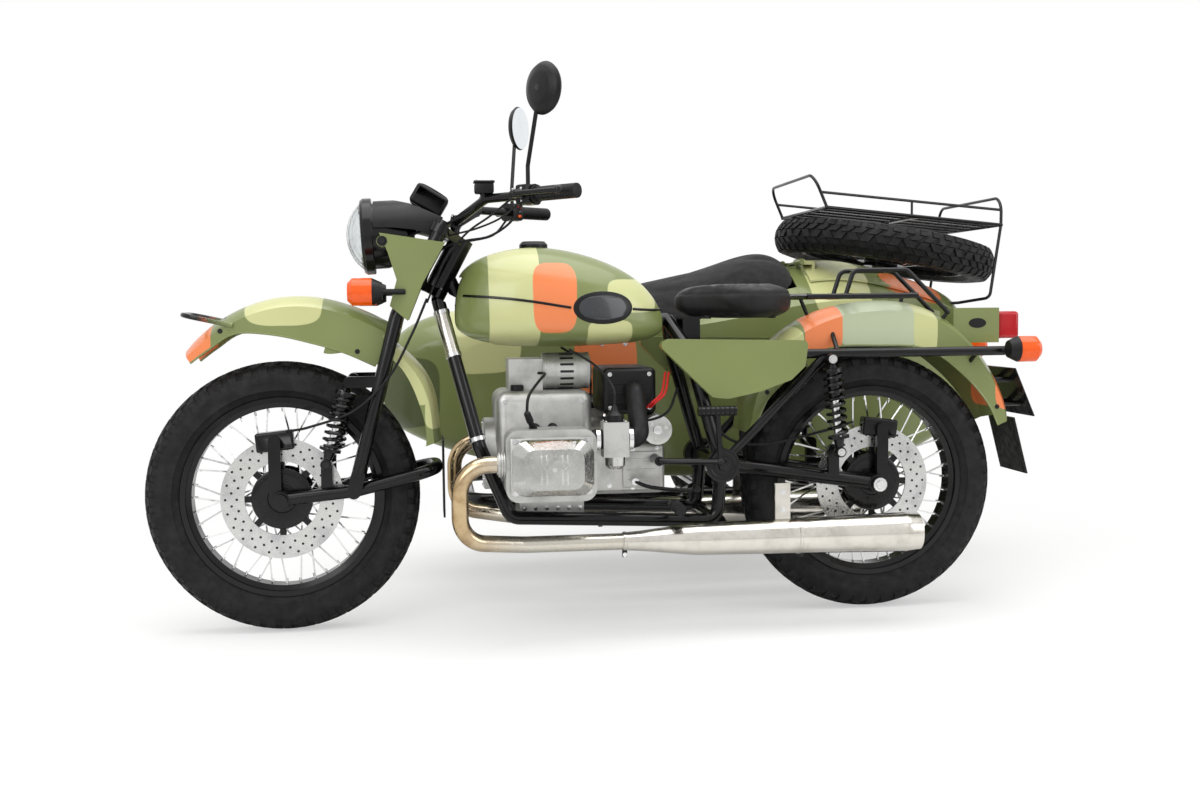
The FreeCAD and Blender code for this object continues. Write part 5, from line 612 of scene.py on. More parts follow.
@dataclass
class Studio:
    """Pale floor, soft light and the camera at the photograph's place."""

    camera_place: tuple[float, float, float] = (1155.8, 3376.1, 803.5)
    yaw: float = 7.511
    pitch: float = 3.989
    roll: float = -0.632
    focal_pixels: float = 1318.4
    picture_width: float = 1200.0
    sensor: float = 36.0
    floor_radius: float = 30.0
    floor_drop: float = 0.0006
    fade: tuple[float, float, float, float] = (0.9, 2.6, 0.45, 1.0)
    daylight: float = 0.62
    lamps: tuple[Lamp, ...] = (
        Lamp("top_light", (0.0, 0.6, 3.6), (0.0, 0.0, 0.5), (4.6, 3.2), 120.0),
        Lamp("left_light", (2.6, 3.4, 2.2), (0.2, 0.0, 0.6), (2.2, 2.2), 55.0),
        Lamp("right_light", (-3.2, 2.6, 1.8), (-0.3, 0.0, 0.6), (2.0, 2.4), 40.0))

    def camera(self) -> None:
        """Place the camera from the measured turn, tilt and focal length."""
        yaw, pitch, roll = (math.radians(a) for a in (self.yaw, self.pitch, self.roll))
        forward = Vector((-math.sin(yaw) * math.cos(pitch), -math.cos(yaw) * math.cos(pitch),
                          -math.sin(pitch)))
        right = Vector((-math.cos(yaw), math.sin(yaw), 0.0))
        above = right.cross(forward)
        turned_right = right * math.cos(roll) + above * math.sin(roll)
        turned_up = above * math.cos(roll) - right * math.sin(roll)
        data = bpy.data.cameras.new("photo_camera")
        data.sensor_width = self.sensor
        data.sensor_fit = "HORIZONTAL"
        data.lens = self.focal_pixels / self.picture_width * self.sensor
        data.clip_end = 60.0
        made = linked("photo_camera", data)
        turn = Matrix((turned_right, turned_up, -forward)).transposed()
        made.matrix_world = Matrix.Translation(at(*self.camera_place)) @ turn.to_4x4()
        bpy.context.scene.camera = made

    def floor(self) -> None:
        """A wide pale floor that shows white to the camera, and keeps the outfit's shadow."""
        mesh = bmesh.new()
        bmesh.ops.create_circle(mesh, cap_ends=True, segments=64, radius=self.floor_radius)
        bmesh.ops.translate(mesh, verts=mesh.verts, vec=(0.0, 0.0, -self.floor_drop))
        made = placed(mesh, "studio_floor")
        shader = Shader("floor_paper")
        shader.set(Base_Color=shader.mix(shader.noise(1.5), hue("f4f4f3"), hue("f0f0ef")), Roughness=0.7,
                   Specular_IOR_Level=0.2)
        white = shader.node("Emission", {"Color": hue("ffffff"), "Strength": 1.0}).outputs[0]
        seen = shader.node("LightPath").outputs["Is Camera Ray"]
        share = shader.value_math("MULTIPLY", shader.ramp(shader.length(shader.place), *self.fade), seen)
        shown = shader.node("MixShader", {0: share, 1: shader.surface.outputs["BSDF"], 2: white}).outputs[0]
        shader.tree.links.new(shown, shader.output.inputs["Surface"])
        made.data.materials.append(shader.material)

    def surroundings(self) -> None:
        """A plain world: white behind the outfit and in its reflections, softer as a light."""
        world = bpy.data.worlds.new("studio_world")
        world.use_nodes = True
        bpy.context.scene.world = world
        tree = world.node_tree
        tree.nodes.clear()
        path = tree.nodes.new("ShaderNodeLightPath")
        seen = path.outputs["Is Camera Ray"]
        for name in ("Is Glossy Ray", "Is Transmission Ray"):
            either = tree.nodes.new("ShaderNodeMath")
            either.operation = "MAXIMUM"
            tree.links.new(seen, either.inputs[0])
            tree.links.new(path.outputs[name], either.inputs[1])
            seen = either.outputs[0]
        choose = tree.nodes.new("ShaderNodeMixShader")
        tree.links.new(seen, choose.inputs[0])
        for index, strength in ((1, self.daylight), (2, 1.0)):
            light = tree.nodes.new("ShaderNodeBackground")
            light.inputs["Color"].default_value = hue("ffffff")
            light.inputs["Strength"].default_value = strength
            tree.links.new(light.outputs[0], choose.inputs[index])
        output = tree.nodes.new("ShaderNodeOutputWorld")
        tree.links.new(choose.outputs[0], output.inputs["Surface"])

    def build(self) -> None:
        """Set up the whole studio."""
        bpy.context.scene.view_settings.view_transform = "Standard"
        self.camera()
        self.floor()
        self.surroundings()
        for lamp in self.lamps:
            lamp.build()


def ring(centre: Vector, along: Vector, radius: float, count: int, phase: float = 0.0) -> list[Vector]:
    """Evenly spaced points on a circle across a direction, in millimetres."""
    across = along.orthogonal().normalized()
    aside = along.normalized().cross(across)
    turns = [phase + math.tau * k / count for k in range(count)]
    return [centre + across * (radius * math.cos(t)) + aside * (radius * math.sin(t)) for t in turns]


def smoothed(points: Sequence[Point], steps: int) -> list[Vector]:
    """A Catmull-Rom curve through points, with a number of steps between each two."""
    knots = [Vector(p) for p in points]
    if steps < 2 or len(knots) < 3:
        return knots
    ends = [knots[0] * 2 - knots[1], *knots, knots[-1] * 2 - knots[-2]]
    line = []
    for a, b, c, d in zip(ends, ends[1:], ends[2:], ends[3:]):
        for k in range(steps):
            t = k / steps
            line.append(0.5 * (2 * b + (c - a) * t + (2 * a - 5 * b + 4 * c - d) * t ** 2
                               + (3 * b - a - 3 * c + d) * t ** 3))
    return [*line, knots[-1]]


def framed(place: Vector, along: Vector, across: Vector) -> Matrix:
    """A placement whose Z axis runs along a direction and whose X axis lies near another."""
    ahead = along.normalized()
    aside = ahead.cross(across).normalized()
    made = Matrix((aside.cross(ahead), aside, ahead)).transposed().to_4x4()
    made.translation = place
    return made


class Forge:
    """Gathers the shapes of one piece, drawn in millimetres from the rear contact."""

    def __init__(self, name: str, body: str, turn: Matrix | None = None) -> None:
        """Start an empty piece.

        Args:
            name: The piece's name.
            body: The CAD body that it rides on.
            turn: A placement applied to every shape, for a tilted piece such as the spare wheel.
        """
        self.name = name
        self.body = body
        self.mesh = bmesh.new()
        self.owned = self.mesh.faces.layers.int.new("owned")
        self.finishes: list[Finish] = []
        self.scale = Matrix.Translation(ORIGIN) @ Matrix.Scale(0.001, 4) @ (turn or Matrix())

    def fresh(self) -> list[bmesh.types.BMFace]:
        """The faces that have no finish yet."""
        return [face for face in self.mesh.faces if not face[self.owned]]

    def settle(self, finish: Finish) -> None:
        """Move the fresh shape from millimetres to its place, weld it and give it its finish."""
        verts = list(dict.fromkeys(vert for face in self.fresh() for vert in face.verts))
        bmesh.ops.transform(self.mesh, matrix=self.scale, verts=verts)
        bmesh.ops.remove_doubles(self.mesh, verts=verts, dist=SEAM_DISTANCE)
        if finish not in self.finishes:
            self.finishes.append(finish)
        for face in self.fresh():
            face.material_index = self.finishes.index(finish)
            face[self.owned] = 1

    def lathe(self, profile: Sequence[tuple[float, float]], centre: Point, axis: Point, finish: Finish,
              steps: int = 32) -> None:
        """Spin a closed profile about an axis.

        Args:
            profile: Pairs of distance along the axis and radius; it is closed at its open ends.
            centre: The point from which the distances run.
            axis: The direction of the axis.
            finish: The faces' finish.
            steps: Faces round the axis.
        """
        outline = list(profile)
        first, last = outline[0], outline[-1]
        if first[1] > 0.0 and last[1] <= 0.0:
            outline.insert(0, (first[0], 0.0))
        elif first[1] <= 0.0 and last[1] > 0.0:
            outline.append((last[0], 0.0))
        place = framed(Vector(centre), Vector(axis), Vector(axis).orthogonal())
        verts = [self.mesh.verts.new(place @ Vector((radius, 0.0, along))) for along, radius in outline]
        edges = [self.mesh.edges.new(pair) for pair in zip(verts, verts[1:])]
        if first[1] > 0.0 and last[1] > 0.0:
            edges.append(self.mesh.edges.new((verts[-1], verts[0])))
        bmesh.ops.spin(self.mesh, geom=verts + edges, cent=Vector(centre), axis=place.to_3x3() @ Z_AXIS,
                       angle=math.tau, steps=steps, use_merge=True)
        self.settle(finish)

    def tube(self, points: Sequence[Point], radius: float, finish: Finish,
             sides: int = 10, steps: int = 1) -> None:
        """Extrude a circle along a line of points, rounded between them when steps is over one."""
        line = smoothed(points, steps)
        across = (line[1] - line[0]).orthogonal()
        place = framed(line[0], line[1] - line[0], across)
        made = bmesh.ops.create_circle(self.mesh, cap_ends=True, segments=sides, radius=radius, matrix=place)
        edges = list({edge for vert in made["verts"] for edge in vert.link_edges})
        for k, point in enumerate(line[1:], 1):
            ahead = line[min(k + 1, len(line) - 1)] - line[k - 1]
            after = framed(point, ahead, place.to_3x3() @ X_AXIS)
            grown = bmesh.ops.extrude_edge_only(self.mesh, edges=edges)["geom"]
            edges = [item for item in grown if isinstance(item, bmesh.types.BMEdge)]
            verts = [item for item in grown if isinstance(item, bmesh.types.BMVert)]
            edges = [edge for edge in edges if all(vert in verts for vert in edge.verts)]
            bmesh.ops.transform(self.mesh, matrix=after @ place.inverted(), verts=verts)
            place = after
        bmesh.ops.contextual_create(self.mesh, geom=edges)
        self.settle(finish)

    def block(self, centre: Point, size: Point, finish: Finish, axes: Matrix | None = None,
              bevel: float = 0.0) -> None:
        """A cube stretched to a size, turned by axes, with its edges rounded by a bevel."""
        place = Matrix.Translation(Vector(centre)) @ (axes or Matrix.Identity(3)).to_4x4()
        made = bmesh.ops.create_cube(self.mesh, size=1.0, matrix=place @ Matrix.Diagonal((*size, 1.0)))
        if bevel:
            edges = list({edge for vert in made["verts"] for edge in vert.link_edges})
            bmesh.ops.bevel(self.mesh, geom=edges, offset=bevel, segments=2, profile=0.5, affect="EDGES",
                            clamp_overlap=True, material=-1)
        self.settle(finish)

    def plate(self, outline: Sequence[Point], depth: Point, finish: Finish) -> None:
        """Fill an outline of points and extrude the face by a vector."""
        verts = [self.mesh.verts.new(p) for p in outline]
        face = self.mesh.faces.new(verts)
        grown = bmesh.ops.extrude_face_region(self.mesh, geom=[face], use_keep_orig=True)["geom"]
        bmesh.ops.translate(self.mesh, vec=Vector(depth),
                            verts=[item for item in grown if isinstance(item, bmesh.types.BMVert)])
        self.settle(finish)

    def cone(self, place: Point, axis: Point, radii: tuple[float, float], height: float, finish: Finish,
             sides: int = 12) -> None:
        """A closed disc, prism or cone that stands on a place along an axis."""
        along = Vector(axis).normalized()
        base = framed(Vector(place) + along * (height / 2), along, along.orthogonal())
        bmesh.ops.create_cone(self.mesh, cap_ends=True, segments=sides, radius1=radii[0], radius2=radii[1],
                              depth=height, matrix=base)
        self.settle(finish)

    def bolt(self, place: Point, axis: Point, radius: float, height: float, finish: Finish,
             sides: int = 6) -> None:
        """A hexagon or round head on a washer."""
        along = Vector(axis).normalized()
        self.cone(place, axis, (radius * 1.4, radius * 1.4), height * 0.2, finish, 12)
        head = Vector(place) + along * height * 0.2
        self.cone(head, axis, (radius, radius * 0.86), height * 0.8, finish, sides)

    def bolts(self, places: Iterable[Point], axis: Point, radius: float, height: float, finish: Finish,
              sides: int = 6) -> None:
        """The same bolt at several places."""
        for place in places:
            self.bolt(place, axis, radius, height, finish, sides)

    def coil(self, start: Point, end: Point, radius: float, wire: float, turns: float,
             finish: Finish) -> None:
        """A coil spring between two points."""
        foot, tip = Vector(start), Vector(end)
        along = (tip - foot).normalized()
        across = along.orthogonal().normalized()
        aside = along.cross(across)
        count = int(turns * 16)
        line = []
        for k in range(count + 1):
            turn = math.tau * turns * k / count
            outward = across * math.cos(turn) + aside * math.sin(turn)
            line.append(foot + (tip - foot) * (k / count) + outward * radius)
        self.tube(line, wire, finish, 7)

    def publish(self, *nodes: str, sharp: float = SHARP_DEGREES) -> bpy.types.Object:
        """Finish the piece; it stands for the CAD nodes that are named, if any."""
        bmesh.ops.recalc_face_normals(self.mesh, faces=self.mesh.faces)
        self.mesh.faces.layers.int.remove(self.owned)
        made = publish(self.mesh, self.name, self.body, *self.finishes, sharp=sharp)
        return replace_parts(made, *nodes) if nodes else made


@dataclass(frozen=True)
class Tread:
    """One row of tread blocks: its width across the tyre and the blocks' share of the pitch."""

    low: float
    high: float
    shift: float
    share: float
    skew: float
    mirrored: bool = True


@dataclass(frozen=True)
class Wheel:
    """Where a laced wheel stands: its axle, the body it turns with and its turn from upright."""

    tag: str
    body: str
    axle: tuple[float, float, float]
    tilt: float = 0.0
    flat: bool = False
    pitches: int = 52
    crown_radius: float = 340.0
    crown_drop: float = 18.0
    shoulder: float = 46.0
    spokes: int = 40
    nipples: float = 221.0
    rows: tuple[Tread, ...] = (Tread(-10.0, 10.0, 0.0, 0.64, 0.3, False), Tread(13.0, 28.0, 0.5, 0.6, 0.4),
                               Tread(31.5, 44.0, 0.05, 0.56, 0.0))

    def turn(self) -> Matrix:
        """The placement of things drawn about the Y axis at the origin."""
        place = Matrix.Translation(Vector(self.axle))
        if self.flat:
            lean = Matrix.Rotation(math.radians(-self.tilt), 4, "Y")
            place = place @ lean @ Matrix.Rotation(math.pi / 2, 4, "X")
        return place

    def crown(self, side: float) -> float:
        """The tread's radius at a distance from the tyre's centre plane."""
        return self.crown_radius - self.crown_drop * (side / self.shoulder) ** 2

    def tyre(self, node: str) -> None:
        """A road tyre with rows of tread blocks that stands for the CAD tyre."""
        forge = Forge(self.tag + "_tread_tyre", self.body, self.turn())
        half = [(34.5, 243.0), (34.7, 250.0), (41.5, 256.0), (46.6, 266.0), (49.6, 268.0), (50.0, 272.0),
                (49.4, 275.0), (51.9, 286.0), (51.7, 297.0), (50.2, 304.0), (49.5, 307.0), (47.4, 309.0),
                (45.0, 315.0), (39.5, 321.5), (32.0, 326.0), (18.0, 331.0), (0.0, 332.5)]
        profile = [*half, *((-side, radius) for side, radius in half[-2::-1])]
        forge.lathe(profile, (0.0, 0.0, 0.0), Y_AXIS, Finish.TYRE_RUBBER, 96)
        for row in self.rows:
            for mirror in ((1, -1) if row.mirrored else (1,)):
                for odd in (0, 1):
                    self.blocks(forge, row, mirror, odd)
        for mirror in (1, -1):
            self.lugs(forge, mirror)
        forge.publish(node)

    def around(self, forge: Forge, verts: Sequence[bmesh.types.BMVert], count: int) -> None:
        """Copy a shape evenly round the tyre."""
        geom = [*verts, *{edge for vert in verts for edge in vert.link_edges},
                *{face for vert in verts for face in vert.link_faces}]
        bmesh.ops.spin(forge.mesh, geom=geom, cent=(0.0, 0.0, 0.0), axis=Y_AXIS,
                       angle=math.tau * (count - 1) / count, steps=count - 1, use_duplicate=True)
        forge.settle(Finish.TYRE_RUBBER)

    def blocks(self, forge: Forge, row: Tread, mirror: int, odd: int) -> None:
        """Every other block of a row: a cube bent to the tread's crown, copied round the tyre."""
        step = math.tau / self.pitches
        middle = (odd + row.shift + (0.25 if mirror < 0 else 0.0)) * step
        lean_way = 1.0 if odd or row.low > 0.0 else -1.0
        made = bmesh.ops.create_cube(forge.mesh, size=1.0)["verts"]
        for vert in made:
            share, across, up = vert.co.x, vert.co.y + 0.5, vert.co.z > 0.0
            side = row.low + (row.high - row.low) * across
            along = share * row.share * step * (1.0 if up else 1.12)
            angle = middle + along + row.skew * step * (across - 0.5) * lean_way
            radius = self.crown(side) - (0.7 if up else 8.5)
            vert.co = (radius * math.cos(angle), mirror * side, -radius * math.sin(angle))
        self.around(forge, made, self.pitches // 2)

    def lugs(self, forge: Forge, mirror: int) -> None:
        """The shoulder lugs of one side."""
        step = math.tau / self.pitches
        made = bmesh.ops.create_cube(forge.mesh, size=1.0)["verts"]
        for vert in made:
            radius = 312.5 + 17.0 * vert.co.y
            depth = (49.6 if vert.co.y < 0.0 else 46.4) - (6.0 if vert.co.z < 0.0 else 0.0)
            angle = ((0.25 if mirror < 0 else 0.0) + 0.05 + vert.co.x * 0.52) * step
            vert.co = (radius * math.cos(angle), mirror * depth, -radius * math.sin(angle))
        self.around(forge, made, self.pitches)

    def trim(self) -> None:
        """Spoke nipples, hub cover with bolts and the disc's drilled holes."""
        forge = Forge(self.tag + "_wheel_trim", self.body, self.turn())
        for number in range(self.spokes):
            angle = math.tau * number / self.spokes
            aside = 7.0 if number % 2 else -7.0
            spot = Vector((self.nipples * math.cos(angle), aside, self.nipples * math.sin(angle)))
            forge.cone(spot, (-spot.x, 0.0, -spot.z), (3.0, 2.4), 9.0, Finish.SPOKE_STEEL, 6)
        if self.flat:
            forge.lathe([(52.2, 18.0), (54.0, 20.0), (54.0, 44.0), (52.2, 46.0)], (0.0, 0.0, 0.0), Y_AXIS,
                        Finish.DARK_STEEL, 32)
        else:
            cover = [(56.0, 34.0), (59.6, 36.0), (60.6, 58.0), (60.6, 72.0), (59.6, 75.0), (57.2, 76.0)]
            forge.lathe(cover, (0.0, 0.0, 0.0), Y_AXIS, Finish.BLACK_PAINT, 48)
            forge.bolts(ring(Y_AXIS * 60.2, Y_AXIS, 66.0, 8), Y_AXIS, 3.4, 1.7, Finish.DARK_STEEL, 8)
            forge.bolts(ring(Y_AXIS * 60.0, Y_AXIS, 45.0, 6), Y_AXIS, 3.2, 1.9, Finish.DARK_STEEL)
            for radius, phase in ((138.0, 0.0), (124.0, 0.13), (110.0, 0.26)):
                for spot in ring(Y_AXIS * 56.9, Y_AXIS, radius, 24, phase):
                    forge.cone(spot, Y_AXIS, (3.3, 3.3), 0.3, Finish.DARK_STEEL, 10)
        forge.publish()


WHEELS = (
    Wheel("front", "front_wheel_set", (1515.0, 0.0, 340.0)),
    Wheel("rear", "rear_wheel_set", (0.0, 0.0, 340.0)),
    Wheel("sidecar", "sidecar_wheel_set", (0.0, -1140.0, 340.0)),
    Wheel("spare", "boot_lid", (-266.0, -612.0, 969.0), 9.7, True),
)


@dataclass(frozen=True)
class Shock:
    """A coil shock between two eyes."""

    top: tuple[float, float, float]
    foot: tuple[float, float, float]
    turns: float = 9.0

    def build(self, forge: Forge) -> None:
        """Draw the shock's eyes, damper, cups and spring."""
        top, foot = Vector(self.top), Vector(self.foot)
        along = (foot - top).normalized()
        long = (foot - top).length
        for eye in (top, foot):
            forge.lathe([(-11.8, 8.0), (-11.8, 13.0), (-10.0, 13.8), (10.0, 13.8), (11.8, 13.0), (11.8, 8.0)],
                        eye, Y_AXIS, Finish.BLACK_PAINT, 20)
            forge.cone(eye - Y_AXIS * 11.5, Y_AXIS, (8.2, 8.2), 23.0, Finish.DARK_STEEL, 16)
        cup = [(13.0, 8.0), (22.0, 12.0), (24.0, 26.0), (30.0, 26.8), (34.0, 26.8), (34.0, 15.0),
               (long * 0.42, 15.0)]
        forge.lathe(cup, top, along, Finish.BLACK_PAINT, 28)
        forge.cone(top + along * long * 0.4, along, (10.5, 10.5), long * 0.6 - 40.0, Finish.SPOKE_STEEL, 20)
        seat = [(long - 42.0, 12.0), (long - 42.0, 26.8), (long - 35.0, 26.8), (long - 32.0, 14.0),
                (long - 12.0, 10.0)]
        forge.lathe(seat, top, along, Finish.BLACK_PAINT, 28)
        forge.coil(top + along * 38.0, top + along * (long - 46.0), 22.4, 4.3, self.turns, Finish.BLACK_PAINT)


SHOCKS = (
    ("front_shocks", "steering",
     [Shock((1343.0, side * 92.0, 628.0), (1404.0, side * 92.0, 426.0), 7.5) for side in (1, -1)]),
    ("rear_shocks", "chassis",
     [Shock((142.0, side * 158.0, 668.0), (119.0, side * 158.0, 432.0), 8.5) for side in (1, -1)]
     + [Shock((150.0, -987.0, 610.0), (132.0, -987.0, 308.8), 11.0)]),
)


def build_shocks() -> None:
    """The five shocks, one piece for each CAD node."""
    for node, body, shocks in SHOCKS:
        forge = Forge(node + "_coiled", body)
        for shock in shocks:
            shock.build(forge)
        forge.publish(node)


def polar(axle: tuple[float, float], degrees: float, radius: float, side: float) -> Point:
    """A point at an angle and radius about an axle across the bike."""
    turn = math.radians(degrees)
    return (axle[0] + radius * math.cos(turn), side, axle[1] + radius * math.sin(turn))


def band(half: float, low: float, high: float, slope: float = 1.0) -> list[tuple[float, float]]:
    """The lathe profile of a band that stands up from one radius to another."""
    return [(-half, low), (slope - half, high), (half - slope, high), (half, low)]


def grid(along: Iterable[float], across: Iterable[float], middle: Point) -> list[Point]:
    """Points at every pair of shifts from a middle point, along and across the bike."""
    return [(middle[0] + a, middle[1] + b, middle[2]) for a in along for b in across]


@dataclass(frozen=True)
class Handlebar:
    """Grips, switch boxes, reservoir, cables and clamp bolts on the steering."""

    back: Point = (0.7071, -0.7071, -0.011)
    grip_end: Point = (811.0, 384.0, 1069.0)
    grip_length: float = 120.3
    ribs: int = 13
    reservoir: Point = (1010.0, 196.0, 1090.0)
    clamp: Point = (1073.0, 45.0, 1033.5)
    cable_lines: tuple[tuple[tuple[Point, ...], float], ...] = (
        (((925.0, 290.0, 1050.0), (952.0, 250.0, 1006.0), (1000.0, 200.0, 976.0), (1058.0, 140.0, 968.0),
          (1112.0, 92.0, 950.0), (1142.0, 66.0, 900.0), (1160.0, 60.0, 850.0)), 3.0),
        (((930.0, 272.0, 1052.0), (972.0, 236.0, 1018.0), (1030.0, 170.0, 996.0), (1090.0, 108.0, 984.0),
          (1140.0, 74.0, 968.0), (1184.0, 62.0, 960.0)), 2.4),
        (((948.0, 306.0, 1060.0), (1000.0, 262.0, 1020.0), (1052.0, 206.0, 985.0), (1100.0, 150.0, 930.0),
          (1128.0, 128.0, 872.0), (1150.0, 120.0, 820.0)), 2.6),
        (((925.0, -290.0, 1050.0), (966.0, -238.0, 1004.0), (1030.0, -160.0, 984.0), (1090.0, -100.0, 972.0),
          (1142.0, -70.0, 930.0), (1160.0, -60.0, 856.0)), 3.0),
        (((1010.0, 186.0, 1080.0), (1040.0, 160.0, 1040.0), (1100.0, 112.0, 1012.0), (1150.0, 78.0, 1000.0),
          (1190.0, 60.0, 985.0)), 3.4),
        (((1008.0, -150.0, 1050.0), (1060.0, -110.0, 1030.0), (1110.0, -70.0, 1010.0),
          (1150.0, -50.0, 1000.0)), 2.4),
        (((1150.0, 112.0, 830.0), (1190.0, 120.0, 740.0), (1246.0, 122.0, 640.0), (1330.0, 122.0, 560.0),
          (1440.0, 100.0, 520.0), (1500.0, 74.0, 508.0)), 3.2))

    def build(self) -> None:
        """Draw both sides of the bar as one piece, and the cables as another."""
        forge = Forge("handlebar_fittings", "steering")
        for side in Side:
            flip = float(side.value)
            back = Vector((self.back[0], self.back[1] * flip, self.back[2]))
            end = Vector((self.grip_end[0], self.grip_end[1] * flip, self.grip_end[2]))
            self.grip(forge, end, back)
            self.switches(forge, end + back * self.grip_length, back, flip)
        middle = Vector(self.reservoir)
        forge.block(middle, (46.0, 38.0, 26.0), Finish.BLACK_PLASTIC, bevel=5.0)
        forge.block(middle + Z_AXIS * 15.0, (50.0, 42.0, 5.0), Finish.DARK_STEEL, bevel=1.5)
        forge.bolts(grid((-18, 18), (-14, 14), middle + Z_AXIS * 17.4), Z_AXIS, 2.6, 1.6, Finish.SPOKE_STEEL)
        forge.tube([(1012.0, 192.0, 1080.0), (1008.0, 190.0, 1066.0)], 9.0, Finish.BLACK_PAINT)
        for side in Side:
            clamp = (self.clamp[0], self.clamp[1] * side.value, self.clamp[2])
            forge.bolts(grid((-9.0, 9.0), (-9.0, 9.0), clamp), Z_AXIS, 3.4, 5.0, Finish.SPOKE_STEEL)
        forge.publish()
        self.cables()

    def grip(self, forge: Forge, end: Vector, back: Vector) -> None:
        """A ribbed rubber grip with a flange and a closed end."""
        profile = [(-6.0, 0.0), (-6.0, 13.0), (-4.0, 17.0), (0.0, 17.5), (2.0, 16.8)]
        for rib in range(self.ribs):
            low = 6.0 + rib * 8.2
            profile += [(low, 17.2), (low + 4.6, 17.2), (low + 5.4, 16.2), (low + 7.4, 16.2)]
        profile += [(113.0, 17.0), (114.0, 22.0), (119.0, 22.0), (120.0, 14.0)]
        forge.lathe(profile, end, back, Finish.SOFT_RUBBER, 24)

    @staticmethod
    def switches(forge: Forge, start: Vector, back: Vector, flip: float) -> None:
        """The switch box with its buttons, clamp screws and the lever's perch."""
        across = back.cross(Z_AXIS).normalized()
        axes = Matrix((back, across, back.cross(across))).transposed()
        box = start + back * 22.0
        forge.block(box, (40.0, 50.0, 47.0), Finish.BLACK_PLASTIC, axes, 6.0)
        rear = box + Vector((-19.0, -19.0 * flip, 0.0))
        for rise, finish in ((12.0, Finish.RED_WIRE), (0.0, Finish.BADGE_GREY), (-12.0, Finish.AMBER_LENS)):
            forge.block(rear + Z_AXIS * rise, (10.0, 6.0, 7.0), finish, axes, 1.2)
        ahead = Vector((36.8, 36.8 * flip, 0.0))
        forge.block(box + ahead * 0.62, (24.0, 30.0, 20.0), Finish.BLACK_PAINT, axes, 4.0)
        forge.bolt(box + ahead + Z_AXIS * 9.0, Z_AXIS, 4.4, 3.0, Finish.SPOKE_STEEL)
        face = box - across * (25.5 * flip)
        forge.bolts([face + Z_AXIS * rise for rise in (-14.0, 14.0)], -across * flip, 2.4, 1.4,
                    Finish.SPOKE_STEEL, 8)

    def cables(self) -> None:
        """Control cables and wiring from the switch boxes down to the steering head and the headlamp."""
        forge = Forge("control_cables", "steering")
        for points, radius in self.cable_lines:
            forge.tube(points, radius, Finish.SOFT_RUBBER, 8, 8)
        forge.publish()


@dataclass(frozen=True)
class Lamps:
    """Headlamp optics, gauge and the small fittings round them."""

    centre: Point = (1281.0, 0.0, 988.0)
    axis: Point = (0.99863, 0.0, -0.05234)
    glass_edge: float = 85.4
    glass_bulge: float = 42.0
    glass_seat: float = 24.0
    gauge: Point = (1140.0, 0.0, 1076.0)
    gauge_up: Point = (-0.515, 0.0, 0.857)
    gauge_rise: float = 25.6
    marks: int = 15

    def holds(self, middle: Vector, _: Vector) -> bool:
        """Whether a face lies inside the headlamp's bowl."""
        away, along = middle - Vector(self.centre), Vector(self.axis)
        return (away - along * away.dot(along)).length < 84.0 and away.dot(along) > 2.0

    def build(self) -> None:
        """Draw the reflector bowl and bulb, the curved glass, and the rim with the gauge."""
        optics = Forge("headlamp_optics", "steering")
        bowl = [(10.0, self.glass_edge), (-6.0, 79.0), (-30.0, 62.0), (-48.0, 40.0), (-58.0, 16.0),
                (-58.0, 0.0)]
        optics.lathe(bowl, self.centre, self.axis, Finish.MIRROR_GLASS, 40)
        bulb = [(-58.0, 9.0), (-30.0, 9.0), (-24.0, 6.0), (-20.0, 0.0)]
        optics.lathe(bulb, self.centre, self.axis, Finish.POLISHED_METAL, 16)
        optics.publish(sharp=50.0)
        self.glass()
        trim = Forge("headlamp_trim", "steering")
        rim = [(-2.0, 83.0), (-2.0, 93.0), (1.0, 94.6), (20.0, 94.4), (26.0, 90.0), (27.0, 86.2),
               (22.0, 85.6)]
        trim.lathe(rim, self.centre, self.axis, Finish.BLACK_PAINT, 56)
        for side in Side:
            trim.bolt((1255.0, 130.2 * side.value, 970.0), side.out, 9.0, 6.0, Finish.DARK_STEEL)
        trim.bolt(Vector(self.centre) + Vector((12.0, 0.0, -94.0)), -Z_AXIS, 3.4, 2.0, Finish.SPOKE_STEEL)
        self.dial(trim)
        trim.publish()

    def glass(self) -> None:
        """The headlamp's curved glass, 3 mm thick."""
        forge = Forge("headlamp_glass", "steering")
        ball = (self.glass_edge ** 2 + self.glass_bulge ** 2) / (2 * self.glass_bulge)
        crown = self.glass_seat + self.glass_bulge - ball
        outer = [(crown + math.sqrt(ball ** 2 - radius ** 2), radius)
                 for radius in (self.glass_edge, 78.0, 66.0, 50.0, 32.0, 15.0, 0.0)]
        inner = [(along - 3.0, max(radius - 1.0, 0.0)) for along, radius in reversed(outer)]
        forge.lathe(outer + inner, self.centre, self.axis, Finish.CLEAR_LENS, 48)
        forge.publish("headlamp_lens", sharp=60.0)

    def dial(self, trim: Forge) -> None:
        """The gauge's ring, face, marks and needle."""
        up = Vector(self.gauge_up)
        dial = Vector(self.gauge) + up * self.gauge_rise
        trim.lathe([(0.0, 38.0), (3.0, 38.0), (4.0, 36.0), (4.0, 33.5), (1.4, 33.0), (1.4, 0.0)], dial, up,
                   Finish.DARK_STEEL, 40)
        trim.lathe([(1.6, 32.6), (1.8, 0.0)], dial, up, Finish.BADGE_GREY, 32)
        aside = Vector((up.z, 0.0, -up.x))
        for number in range(self.marks):
            turn = math.radians(-30 + number * 240 / (self.marks - 1))
            spot = dial + up * 2.2 + (Y_AXIS * math.cos(turn) + aside * math.sin(turn)) * 27.0
            trim.block(spot, (1.4, 1.4, 0.4), Finish.SPOKE_STEEL)
        hub = dial + up * 3.0
        trim.tube([hub, hub + Vector((10.0, 18.0, 6.0))], 0.9, Finish.RED_WIRE, 6)


